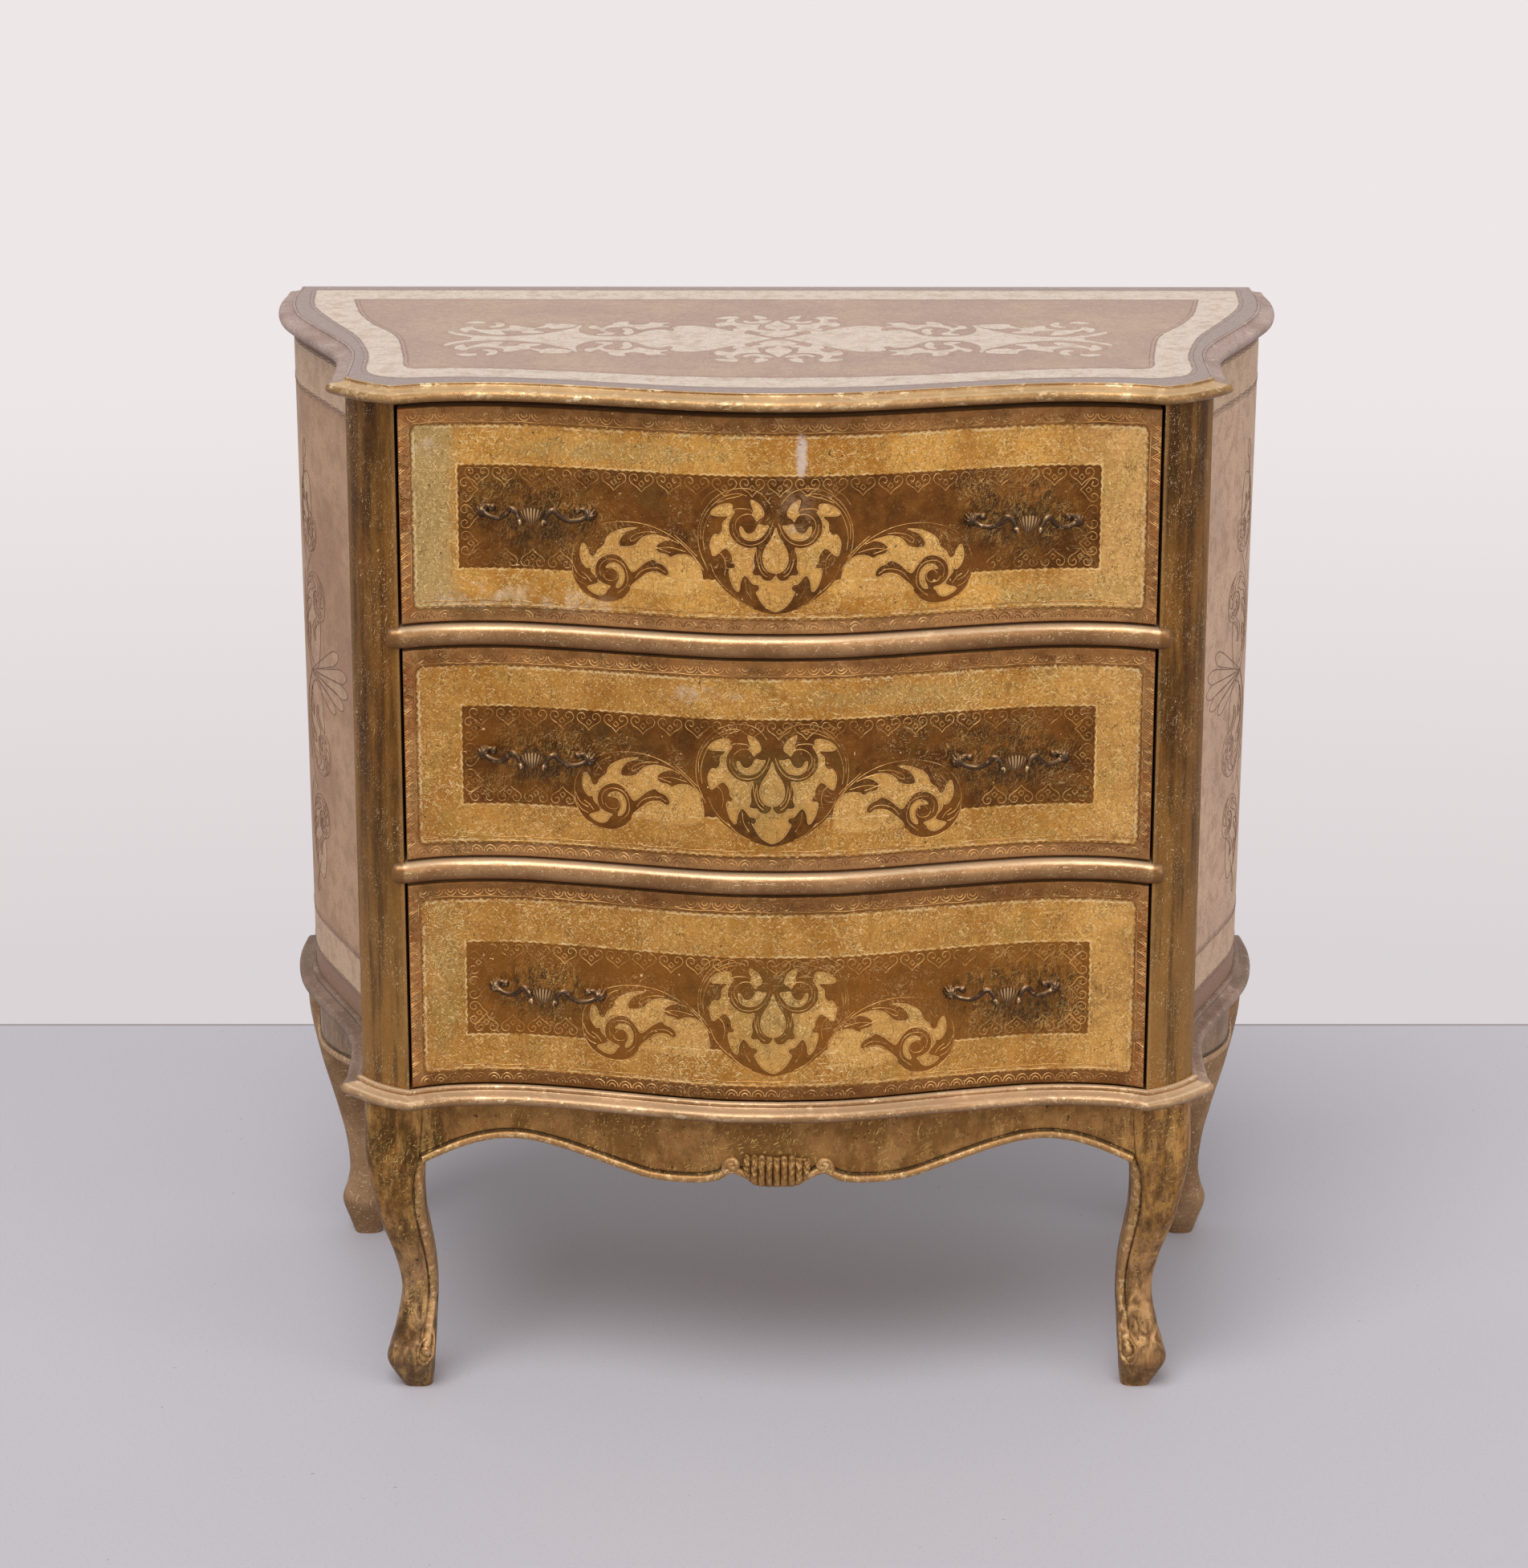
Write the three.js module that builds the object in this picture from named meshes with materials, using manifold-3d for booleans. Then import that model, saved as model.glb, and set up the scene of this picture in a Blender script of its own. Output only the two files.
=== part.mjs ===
// A small serpentine commode chest: three drawers in a shaped case on cabriole legs.
// Millimetres, +Z up, +X to the viewer's right, and the front faces -Y.
// The origin is on the floor, under the middle of the whole chest.
import * as THREE from 'three';
import { mergeVertices } from 'three/addons/utils/BufferGeometryUtils.js';
import Module from 'manifold-3d';

const wasm = await Module();
wasm.setup();

// Driving dimensions of the whole chest
const TOTAL_WIDTH = 786;
const TOTAL_DEPTH = 423.5;
const TOTAL_HEIGHT = 799;
const LEG_HEIGHT = 244.8;
const TOP_THICKNESS = 12;
const TOP_BACK_OVERHANG = 8;
const TOP_PROJECTION = 11.5;
const BASE_PROJECTION = 14;

// Fits: a glued or seated joint, the running gap round a drawer front, and one overrun for every cut
const JOINT_GAP = 0.3;
const DRAWER_GAP = 2.2;
const CUT_OVERRUN = 6;

// Plan of the case, whose sides lean out a little towards the top
const SIDE_LEAN = 3.5;
const SIDE_REACH = 103;
const POST_FACE_WIDTH = 37.5;
const CANT_DEPTH = 32.5;
const CANT_BULGE = 4;
const POST_PROUD = 1;
const SERPENTINE_SWING = 38.5;
const FRONT_STEPS = 24;
const SIDE_STEPS = 11;
const CANT_STEPS = 3;

// From the middle of the front to its edge, and from the most forward line to the deepest hollow
const FRONT_CURVE_SHARES = [
  [0, 0], [0.14, 0.055], [0.25, 0.2], [0.37, 0.42], [0.49, 0.645], [0.58, 0.8],
  [0.68, 0.945], [0.775, 1], [0.85, 0.98], [0.91, 0.92], [0.96, 0.82], [1, 0.7],
];
// From the back of the case to the front corner, and from the narrow waist to the widest line
const SIDE_CURVE_SHARES = [
  [0, 0.968], [0.1, 1], [0.212, 0.962], [0.322, 0.848], [0.44, 0.616], [0.553, 0.36],
  [0.655, 0.147], [0.734, 0.043], [0.811, 0.008], [0.902, 0], [1, 0],
];

// Levels of the front
const TOP_SHADOW_GAP = 5.1;
const RAIL_THICKNESS = 15.7;
const BASE_MOULDING_HEIGHT = 13.4;
const BASE_RAIL_DROP = 1.7;
const BOTTOM_BOARD_THICKNESS = 6.5;
const DRAWER_COUNT = 3;

// Case boards and rails
const SIDE_THICKNESS = 10;
const BACK_THICKNESS = 5;
const POST_DEPTH = 52;
const POST_WIDTH_SHARE = 0.8;
const REAR_POST_SIZE = 26;
const RAIL_BACK_REACH = 88;
const NOSING_PROUD = 6;
const NOSING_STEPS = 5;
const NOSING_STUB_REACH = 9.5;
const TOP_RAIL_HEIGHT = 20;
const TOP_RAIL_DEPTH = 25;
const REAR_RAIL_DEPTH = 25;

// Drawer runners
const RUNNER_FOOT_WIDTH = 40;
const RUNNER_FOOT_THICKNESS = 6.6;
const RUNNER_GUIDE_WIDTH = 12;
const RUNNER_GUIDE_HEIGHT = 20;

// Drawer boxes
const FRONT_THICKNESS = 20;
const DRAWER_SIDE_CLEARANCE = 9;
const DRAWER_SIDE_THICKNESS = 10;
const DRAWER_SIDE_DROP = 33.4;
const DRAWER_BACK_CLEARANCE = 8;
const DRAWER_BOTTOM_THICKNESS = 5;
const DRAWER_BOTTOM_RISE = 6;

// Top moulding, as distances outwards from the case and heights up from its underside
const TOP_STRIP_INNER = -2;
const TOP_FLAT_REACH = 0;
const MOULDING_BEAD_RADIUS = 4.1;
const TOP_FILLET_HEIGHT = 1.2;
const HORN_GROWTH = 1.2;
const BEAD_STEPS = 4;
const COVE_STEPS = 2;

// Base moulding
const BASE_COVE_REACH = 4.2;
const BASE_SMALL_BEAD_RADIUS = 2.1;

// Legs
const LEG_RING_POINTS = 14;
const LEG_HALF_WIDTH = 26;
const FRONT_LEG_INSET_X = 40.5;
const FRONT_LEG_INSET_Y = 13.3;
const FRONT_LEG_SWEEP_X = 15.5;
const FRONT_LEG_SWEEP_Y = 18;
const REAR_LEG_INSET_X = 36;
const REAR_LEG_INSET_Y = 26.75;
const REAR_LEG_SWEEP_X = 22.5;
const REAR_LEG_SWEEP_Y = 0;
// Height, sweep out of the ankle's line, half width across and half depth front to back
const FRONT_LEG_SHARES = [
  [0, 0.25, 0.43, 0.45], [0.045, 0.4, 0.58, 0.57], [0.1, 0.56, 0.71, 0.69], [0.136, 0.48, 0.69, 0.69],
  [0.205, 0.29, 0.61, 0.6], [0.33, 0.08, 0.54, 0.56], [0.44, 0.25, 0.6, 0.62],
  [0.56, 0.65, 0.7, 0.7], [0.625, 0.84, 0.73, 0.75], [0.755, 1.03, 0.84, 0.85],
  [0.82, 1, 0.94, 0.94], [1, 0.84, 1, 1.04],
];
const REAR_LEG_SHARES = [
  [0, 0.02, 0.44, 0.46], [0.05, 0.07, 0.56, 0.56], [0.123, 0.18, 0.673, 0.66], [0.172, 0.09, 0.615, 0.62],
  [0.24, 0, 0.577, 0.58], [0.353, 0.04, 0.635, 0.62], [0.47, 0.27, 0.69, 0.66],
  [0.66, 0.71, 0.79, 0.75], [0.834, 1, 0.846, 0.82], [1, 0.96, 0.9, 0.88],
];
const LEG_SQUARENESS = 3;

// Aprons under the case
const APRON_THICKNESS = 16;
const APRON_SETBACK = 2;
const APRON_BEAD_PROUD = 2.5;
const APRON_BEAD_HEIGHT = 6;
const APRON_DROP = 56;
const SIDE_APRON_STEPS = 18;
// From the middle of the front to the leg, and from the underside of the case to the lowest point
const FRONT_APRON_SHARES = [
  [0, 0.97], [0.06, 0.96], [0.095, 0.87], [0.127, 0.82], [0.157, 0.9], [0.2, 0.965], [0.27, 0.99],
  [0.33, 0.985], [0.375, 0.955], [0.435, 0.876], [0.497, 0.79], [0.56, 0.7], [0.62, 0.628],
  [0.683, 0.572], [0.745, 0.557], [0.806, 0.593], [0.87, 0.673], [0.933, 0.788], [1, 0.92],
];
// From the front leg back to the rear leg
const SIDE_APRON_SHARES = [
  [0, 0.85], [0.12, 0.62], [0.3, 0.56], [0.45, 0.68], [0.62, 0.86], [0.8, 0.97], [0.92, 0.93], [1, 0.85],
];

// Carved shell in the middle of the front apron
const SHELL_HALF_WIDTH = 31;
const SHELL_HEIGHT = 27;
const SHELL_THICKNESS = 4;
const SHELL_LOW_REACH = -0.5;
const SHELL_LOBES = 5;
const SHELL_LOBE_SHARE = 0.07;
const SHELL_STEPS = 16;

// Drawer pulls, in their own frame: along the drawer, out from its face, and up
const PULL_HALF_SPAN = 40;
const PULL_BOSS_RADIUS = 5;
const PULL_STANDOFF = 20;
const PULL_BAR_RADIUS = 2.1;
const PULL_WAVE = 4.2;
const PULL_BALL_RADIUS = 3;
const PULL_SHELL_HALF_WIDTH = 8.2;
const PULL_SHELL_HEIGHT = 12.5;
const PULL_SHELL_THICKNESS = 4;
const PULL_SCREW_RADIUS = 2;
const PULL_SCREW_CLEARANCE = 0.3;
const PULL_HEAD_RADIUS = 4;
const PULL_HEAD_HEIGHT = 2.5;
// Shares of the half span, the stand-off and the wave: from the eye of the scroll beside the boss,
// round it and down, up over the hump, and into the eye beside the shell
const PULL_BAR_SHARES = [
  [0.79, 0.42, 0.76], [0.89, 0.36, 0.9], [0.95, 0.38, 0.05], [0.86, 0.48, -0.65], [0.66, 0.64, -0.85],
  [0.5, 0.79, 0.1], [0.39, 0.89, 1.2], [0.28, 0.97, 0.5], [0.23, 1, -0.9],
];
// Each pull on its drawer: out from the middle as a share of the front's half width, up from its
// mid-height as a share of its height, and the turn in degrees by which its right end hangs lower.
// Left then right, from the lowest drawer up.
const PULL_PLACE_SHARES = [
  { left: [-0.6225, -0.01, 2.6], right: [0.6045, -0.003, 0.3] },
  { left: [-0.644, 0.0045, 1], right: [0.615, -0.005, 0.5] },
  { left: [-0.637, 0.0255, 0], right: [0.6405, -0.008, 2.4] },
];

// Levels and plan lines that follow from the sizes above
const topZ = TOTAL_HEIGHT;
const caseTopZ = topZ - TOP_THICKNESS;
const baseZ = LEG_HEIGHT;
const bottomBoardTopZ = baseZ + BOTTOM_BOARD_THICKNESS;
const baseRailTopZ = baseZ + BASE_MOULDING_HEIGHT - BASE_RAIL_DROP;
const topBackY = TOTAL_DEPTH / 2;
const caseBackY = topBackY - TOP_BACK_OVERHANG;
const caseTopHalfWidth = TOTAL_WIDTH / 2 - TOP_PROJECTION;
const openingHalfWidth = caseTopHalfWidth - SIDE_REACH;
const cornerHalfWidth = openingHalfWidth + POST_FACE_WIDTH;
const caseBaseHalfWidth = caseTopHalfWidth - SIDE_LEAN;
const crestY = BASE_PROJECTION - TOTAL_DEPTH / 2;
const drawerHalfWidth = openingHalfWidth - DRAWER_GAP;
const innerCaseBackY = caseBackY - BACK_THICKNESS;
const rearPostFrontY = innerCaseBackY - JOINT_GAP - REAR_POST_SIZE;
const railBackY = crestY + RAIL_BACK_REACH;

// A smooth curve through a table of shares: each row is where, then what
function shareAt(table, where, column = 1) {
  const last = table.length - 1;
  const clamped = Math.min(Math.max(where, table[0][0]), table[last][0]);
  let low = 0;
  while (low < last - 1 && table[low + 1][0] < clamped) low += 1;
  const slope = (a, b) => (table[b][column] - table[a][column]) / (table[b][0] - table[a][0]);
  const tangent = (i) => slope(Math.max(i - 1, 0), Math.min(i + 1, last));
  const width = table[low + 1][0] - table[low][0];
  const t = (clamped - table[low][0]) / width;
  const rise = 3 * t * t - 2 * t * t * t;
  return table[low][column] * (1 - rise) + table[low + 1][column] * rise
    + width * (tangent(low) * t * (1 - t) * (1 - t) - tangent(low + 1) * t * t * (1 - t));
}

function steps(count) {
  return Array.from({ length: count + 1 }, (_, i) => i / count);
}

function mix(a, b, share) {
  return a + (b - a) * share;
}

// The drawer fronts' face: how far forward it stands at x
function frontY(x) {
  const across = Math.min(Math.abs(x) / drawerHalfWidth, 1);
  return crestY + SERPENTINE_SWING * shareAt(FRONT_CURVE_SHARES, across);
}

const postInnerY = frontY(drawerHalfWidth) - POST_PROUD;
const postOuterY = postInnerY + CANT_DEPTH;

// The case's side face: half its width at y, on a level where it is halfWidth at its widest
function sideX(y, halfWidth) {
  const along = (caseBackY - y) / (caseBackY - postOuterY);
  return mix(cornerHalfWidth, halfWidth, shareAt(SIDE_CURVE_SHARES, along));
}

// The widest half width of the case at a level
function halfWidthAt(z) {
  return mix(caseBaseHalfWidth, caseTopHalfWidth, (z - bottomBoardTopZ) / (caseTopZ - bottomBoardTopZ));
}

function vec(x, y) {
  return new THREE.Vector2(x, y);
}

function mirrored(points) {
  return points.map((p) => vec(-p.x, p.y)).reverse();
}

// The part of a line between two values of one axis, cut exactly there
function between(points, axis, low, high) {
  const pointAt = (value) => {
    const after = points.findIndex((p, i) => i > 0 && p[axis] >= value);
    const i = after < 0 ? points.length - 1 : after;
    const share = (value - points[i - 1][axis]) / (points[i][axis] - points[i - 1][axis]);
    return points[i - 1].clone().lerp(points[i], share);
  };
  const inside = points.filter((p) => p[axis] > low + CUT_OVERRUN / 2 && p[axis] < high - CUT_OVERRUN / 2);
  return [pointAt(low), ...inside, pointAt(high)];
}

// Right-hand side face from startY to endY, as plan points on one set of facets
function sideLine(startY, endY, halfWidth) {
  const facets = steps(SIDE_STEPS).map((share) => {
    const y = mix(postOuterY, caseBackY, share);
    return vec(sideX(y, halfWidth), y);
  });
  return between(facets, 'y', startY, endY);
}

// The face of the drawer fronts from lowX to highX, moved back by a setback, on one set of facets
function frontBetween(lowX, highX, setback) {
  const facets = steps(FRONT_STEPS).map((share) => {
    const x = mix(-openingHalfWidth, openingHalfWidth, share);
    return vec(x, frontY(x) + setback);
  });
  return between(facets, 'x', lowX, highX);
}

function frontLine(halfWidth, setback) {
  return frontBetween(-halfWidth, halfWidth, setback);
}

// The right post's canted and slightly rounded face, from its inner to its outer edge
function cantLine() {
  const inner = vec(openingHalfWidth, postInnerY);
  const outer = vec(cornerHalfWidth, postOuterY);
  const along = outer.clone().sub(inner);
  const out = vec(along.y, -along.x).normalize();
  return steps(CANT_STEPS).map((share) => {
    const bulge = 4 * share * (1 - share) * CANT_BULGE;
    return inner.clone().lerp(outer, share).addScaledVector(out, bulge);
  });
}

// The whole case outline from the back left, round the front, to the back right
function caseOutline(backY, halfWidth) {
  const side = sideLine(postOuterY, caseBackY, halfWidth);
  if (backY > caseBackY) side.push(vec(sideX(caseBackY, halfWidth), backY));
  const cant = cantLine();
  const right = [...cant, ...side.slice(1)];
  const front = frontLine(openingHalfWidth, 0).slice(1, -1);
  return {
    points: [...mirrored(right), ...front, ...right],
    leftCorner: side.length - 1,
    rightCorner: side.length - 1 + 2 * CANT_STEPS + front.length + 1,
  };
}

// For each point of an open line, the vector that moves it one unit out from the line.
// At the two ends it stays in the plane of the back.
function mitres(points) {
  const outward = points.slice(1).map((p, i) => {
    const run = p.clone().sub(points[i]).normalize();
    return vec(run.y, -run.x);
  });
  return points.map((p, i) => {
    if (i === 0) return vec(1 / outward[0].x, 0);
    if (i === points.length - 1) return vec(1 / outward[i - 1].x, 0);
    const sum = outward[i - 1].clone().add(outward[i]);
    return sum.divideScalar(1 + outward[i - 1].dot(outward[i]));
  });
}

function offsetLine(points, distance) {
  const out = mitres(points);
  return points.map((p, i) => p.clone().addScaledVector(out[i], distance));
}

// Solids
function flipIfInsideOut(geometry) {
  const position = geometry.getAttribute('position');
  const index = geometry.index;
  const a = new THREE.Vector3();
  const b = new THREE.Vector3();
  const c = new THREE.Vector3();
  let volume = 0;
  for (let i = 0; i < index.count; i += 3) {
    a.fromBufferAttribute(position, index.getX(i));
    b.fromBufferAttribute(position, index.getX(i + 1));
    c.fromBufferAttribute(position, index.getX(i + 2));
    volume += a.dot(b.cross(c));
  }
  if (volume < 0) {
    for (let i = 0; i < index.count; i += 3) {
      const second = index.getX(i + 1);
      index.setX(i + 1, index.getX(i + 2));
      index.setX(i + 2, second);
    }
  }
  return geometry;
}

// Joins a row of rings, each a list of as many Vector3 points, into one closed solid
function loft(rings, capOutline) {
  const size = rings[0].length;
  const positions = rings.flat().flatMap((p) => [p.x, p.y, p.z]);
  const triangles = [];
  for (let r = 0; r < rings.length - 1; r += 1) {
    for (let i = 0; i < size; i += 1) {
      const here = r * size + i;
      const next = r * size + ((i + 1) % size);
      triangles.push(here, next, next + size, here, next + size, here + size);
    }
  }
  const caps = THREE.ShapeUtils.triangulateShape(capOutline, []);
  const end = (rings.length - 1) * size;
  const capTurns = THREE.ShapeUtils.isClockWise(capOutline);
  for (const [i, j, k] of caps) {
    if (capTurns) {
      triangles.push(i, j, k, end + k, end + j, end + i);
    } else {
      triangles.push(k, j, i, end + i, end + j, end + k);
    }
  }
  const geometry = new THREE.BufferGeometry();
  geometry.setAttribute('position', new THREE.Float32BufferAttribute(positions, 3));
  geometry.setIndex(triangles);
  return flipIfInsideOut(geometry);
}

function bare(geometry) {
  const copy = geometry.clone();
  copy.deleteAttribute('normal');
  copy.deleteAttribute('uv');
  return mergeVertices(copy);
}

function solid(geometry) {
  const merged = bare(geometry);
  return new wasm.Manifold(new wasm.Mesh({
    numProp: 3,
    vertProperties: new Float32Array(merged.getAttribute('position').array),
    triVerts: new Uint32Array(merged.index.array),
  }));
}

function fromSolid(manifold) {
  const mesh = manifold.getMesh();
  const geometry = new THREE.BufferGeometry();
  geometry.setAttribute('position', new THREE.BufferAttribute(new Float32Array(mesh.vertProperties), 3));
  geometry.setIndex(new THREE.BufferAttribute(new Uint32Array(mesh.triVerts), 1));
  return geometry;
}

// A board cut to a plan outline, between two levels
function board(planPoints, lowZ, highZ) {
  const geometry = new THREE.ExtrudeGeometry(new THREE.Shape(planPoints), {
    depth: highZ - lowZ,
    bevelEnabled: false,
    steps: 1,
  });
  geometry.translate(0, 0, lowZ);
  return bare(geometry);
}

// A board cut to an outline seen from the front, between two depths
function frontCut(outline, nearY, farY) {
  const geometry = new THREE.ExtrudeGeometry(new THREE.Shape(outline), {
    depth: farY - nearY,
    bevelEnabled: false,
    steps: 1,
  });
  geometry.rotateX(Math.PI / 2);
  geometry.translate(0, farY, 0);
  return bare(geometry);
}

// A board cut to an outline seen from the right side, x for y and y for z, between two widths
function sideCut(outline, lowX, highX) {
  const geometry = new THREE.ExtrudeGeometry(new THREE.Shape(outline), {
    depth: highX - lowX,
    bevelEnabled: false,
    steps: 1,
  });
  geometry.rotateX(Math.PI / 2);
  geometry.rotateZ(Math.PI / 2);
  geometry.translate(lowX, 0, 0);
  return bare(geometry);
}

function block(lowX, highX, lowY, highY, lowZ, highZ) {
  const geometry = new THREE.BoxGeometry(highX - lowX, highY - lowY, highZ - lowZ);
  geometry.translate((lowX + highX) / 2, (lowY + highY) / 2, (lowZ + highZ) / 2);
  return geometry;
}

function mirrorX(geometry) {
  const copy = bare(geometry);
  copy.scale(-1, 1, 1);
  return flipIfInsideOut(copy);
}

// Finishes
const finishes = {
  paint: { color: 0xb5a092, roughness: 0.62, metalness: 0 },
  gilt: { color: 0xa8823f, roughness: 0.42, metalness: 0.75 },
  bronze: { color: 0x5a4520, roughness: 0.48, metalness: 0.6 },
  front: { color: 0x9a7430, roughness: 0.5, metalness: 0.5 },
  brass: { color: 0x4a3a2c, roughness: 0.45, metalness: 0.85 },
  bareWood: { color: 0x9c7b55, roughness: 0.8, metalness: 0 },
};

const chest = new THREE.Group();
const caseGroup = new THREE.Group();
chest.add(caseGroup);

function addPiece(group, name, geometry, finish) {
  const mesh = new THREE.Mesh(geometry, new THREE.MeshStandardMaterial(finishes[finish]));
  mesh.name = name;
  group.add(mesh);
}

function addPair(group, name, geometry, finish) {
  addPiece(group, `${name}_right`, geometry, finish);
  addPiece(group, `${name}_left`, mirrorX(geometry), finish);
}

// Top board and its edge moulding
function topBoard() {
  const outline = caseOutline(topBackY, caseTopHalfWidth);
  const edge = offsetLine(outline.points, TOP_STRIP_INNER - JOINT_GAP);
  return board(edge, caseTopZ, topZ);
}

// A bead: points of a round from its underside to an angle above its middle
function bead(centreOut, centreUp, radius, fromAngle, toAngle, count) {
  return steps(count).map((share) => {
    const angle = mix(fromAngle, toAngle, share);
    return vec(centreOut + radius * Math.cos(angle), centreUp + radius * Math.sin(angle));
  });
}

// A hollow from a low outer point up to a high inner point, without its two ends
function cove(low, high) {
  return steps(COVE_STEPS + 1).slice(1, -1).map((share) => {
    const angle = mix(Math.PI * 1.5, Math.PI, share);
    return vec(low.x + (low.x - high.x) * Math.cos(angle), high.y + (high.y - low.y) * Math.sin(angle));
  });
}

const beadTopAngle = Math.PI * 0.42;

function outerBead(underZ, projection) {
  const centreOut = projection - MOULDING_BEAD_RADIUS;
  const centreUp = underZ + MOULDING_BEAD_RADIUS;
  return bead(centreOut, centreUp, MOULDING_BEAD_RADIUS, -Math.PI / 2, beadTopAngle, BEAD_STEPS);
}

function topProfile() {
  const round = outerBead(caseTopZ, TOP_PROJECTION);
  const underFillet = vec(TOP_FLAT_REACH, topZ - TOP_FILLET_HEIGHT);
  return [
    vec(TOP_STRIP_INNER, caseTopZ),
    ...round,
    ...cove(round[round.length - 1], underFillet),
    underFillet,
    vec(TOP_FLAT_REACH, topZ),
    vec(TOP_STRIP_INNER, topZ),
  ];
}

function baseProfile() {
  const topOfStrip = baseZ + BASE_MOULDING_HEIGHT;
  const round = outerBead(baseZ, BASE_PROJECTION);
  const smallUp = topOfStrip - BASE_SMALL_BEAD_RADIUS;
  const smallOut = BASE_COVE_REACH - BASE_SMALL_BEAD_RADIUS;
  const small = bead(smallOut, smallUp, BASE_SMALL_BEAD_RADIUS, -Math.PI / 4, Math.PI / 2, COVE_STEPS);
  return [
    vec(JOINT_GAP, baseZ),
    ...round,
    ...cove(round[round.length - 1], small[0]),
    ...small,
    vec(JOINT_GAP, topOfStrip),
  ];
}

// A strip of moulding along part of the case outline. Its ends are cut on the mitre, where the two
// strips of a front corner run out into a small horn.
function strip(outline, profile, from, to) {
  const out = mitres(outline.points);
  const rings = [];
  for (let i = from; i <= to; i += 1) {
    const at = outline.points[i].clone();
    const corner = i === outline.leftCorner || i === outline.rightCorner;
    if (corner) {
      const neighbour = i === from ? outline.points[i + 1] : outline.points[i - 1];
      at.add(neighbour.clone().sub(at).setLength(JOINT_GAP / 2));
    }
    const growth = corner ? HORN_GROWTH : 1;
    rings.push(profile.map((p) => {
      const reach = p.x > 0 ? p.x * growth : p.x;
      return new THREE.Vector3(at.x + out[i].x * reach, at.y + out[i].y * reach, p.y);
    }));
  }
  return loft(rings, profile);
}

function addMoulding(name, profile, outline) {
  const { leftCorner, rightCorner } = outline;
  const last = outline.points.length - 1;
  addPiece(caseGroup, `${name}_left`, strip(outline, profile, 0, leftCorner), 'gilt');
  addPiece(caseGroup, `${name}_front`, strip(outline, profile, leftCorner, rightCorner), 'gilt');
  addPiece(caseGroup, `${name}_right`, strip(outline, profile, rightCorner, last), 'gilt');
}

addPiece(caseGroup, 'top_board', topBoard(), 'paint');
addMoulding('top_moulding', topProfile(), caseOutline(topBackY, caseTopHalfWidth));
addMoulding('base_moulding', baseProfile(), caseOutline(caseBackY, caseBaseHalfWidth));

// Case: bottom board, posts, bent sides and back
const standZ = bottomBoardTopZ + JOINT_GAP;
const hangZ = caseTopZ - JOINT_GAP;

function postOutline() {
  const innerReach = (cornerHalfWidth - openingHalfWidth) * POST_WIDTH_SHARE;
  const backOuterY = postInnerY + POST_DEPTH;
  return [
    ...cantLine(),
    vec(sideX(backOuterY, caseBaseHalfWidth), backOuterY),
    vec(openingHalfWidth + innerReach, backOuterY),
    vec(openingHalfWidth, backOuterY),
  ];
}

// The bent side panel: one outline at its foot and a wider one at its head
function sidePanel() {
  const startY = postInnerY + POST_DEPTH + JOINT_GAP;
  const outlineAt = (z) => {
    const outer = sideLine(startY, caseBackY, halfWidthAt(z));
    const inner = offsetLine(outer, -SIDE_THICKNESS).reverse();
    return [...outer, ...inner];
  };
  const foot = outlineAt(standZ);
  const rings = [standZ, hangZ].map((z) => outlineAt(z).map((p) => new THREE.Vector3(p.x, p.y, z)));
  return loft(rings, foot);
}

function rearPostOuterX(z) {
  return sideX(caseBackY, halfWidthAt(z)) - SIDE_THICKNESS - JOINT_GAP;
}

const rearPostInnerX = rearPostOuterX(standZ) - REAR_POST_SIZE;

function rearPost() {
  const outline = [
    vec(rearPostInnerX, standZ),
    vec(rearPostOuterX(standZ), standZ),
    vec(rearPostOuterX(hangZ), hangZ),
    vec(rearPostInnerX, hangZ),
  ];
  return frontCut(outline, rearPostFrontY, innerCaseBackY - JOINT_GAP);
}

function backPanel() {
  const outline = [
    vec(-rearPostOuterX(standZ), standZ),
    vec(rearPostOuterX(standZ), standZ),
    vec(rearPostOuterX(hangZ), hangZ),
    vec(-rearPostOuterX(hangZ), hangZ),
  ];
  return frontCut(outline, innerCaseBackY, caseBackY);
}

function bottomBoard() {
  const outline = caseOutline(caseBackY, caseBaseHalfWidth);
  return board(outline.points, baseZ, bottomBoardTopZ);
}

addPiece(caseGroup, 'bottom_board', bottomBoard(), 'bareWood');
addPair(caseGroup, 'front_post', board(postOutline(), standZ, hangZ), 'bronze');
addPair(caseGroup, 'side_panel', sidePanel(), 'paint');
addPair(caseGroup, 'rear_post', rearPost(), 'bareWood');
addPiece(caseGroup, 'back_panel', backPanel(), 'bareWood');

// Drawer rails across the front, and the levels of the openings between them
const openingHeight = (caseTopZ - TOP_SHADOW_GAP - baseRailTopZ - (DRAWER_COUNT - 1) * RAIL_THICKNESS
  + DRAWER_GAP) / DRAWER_COUNT;
const frontHeight = openingHeight - 2 * DRAWER_GAP;
const railWidth = openingHalfWidth - JOINT_GAP;

function openingLowZ(level) {
  return baseRailTopZ + level * (openingHeight + RAIL_THICKNESS);
}

// One slice of a rail: a rounded nose at the face and a square back
function railRing(x, lowZ) {
  const middleZ = lowZ + RAIL_THICKNESS / 2;
  const face = frontY(x);
  const nose = steps(NOSING_STEPS).map((share) => {
    const angle = mix(-Math.PI / 2, Math.PI / 2, share);
    const y = face - NOSING_PROUD * Math.cos(angle);
    return new THREE.Vector3(x, y, middleZ + (RAIL_THICKNESS / 2) * Math.sin(angle));
  });
  const back = [lowZ + RAIL_THICKNESS, lowZ].map((z) => new THREE.Vector3(x, railBackY, z));
  return [...nose, ...back];
}

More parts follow.
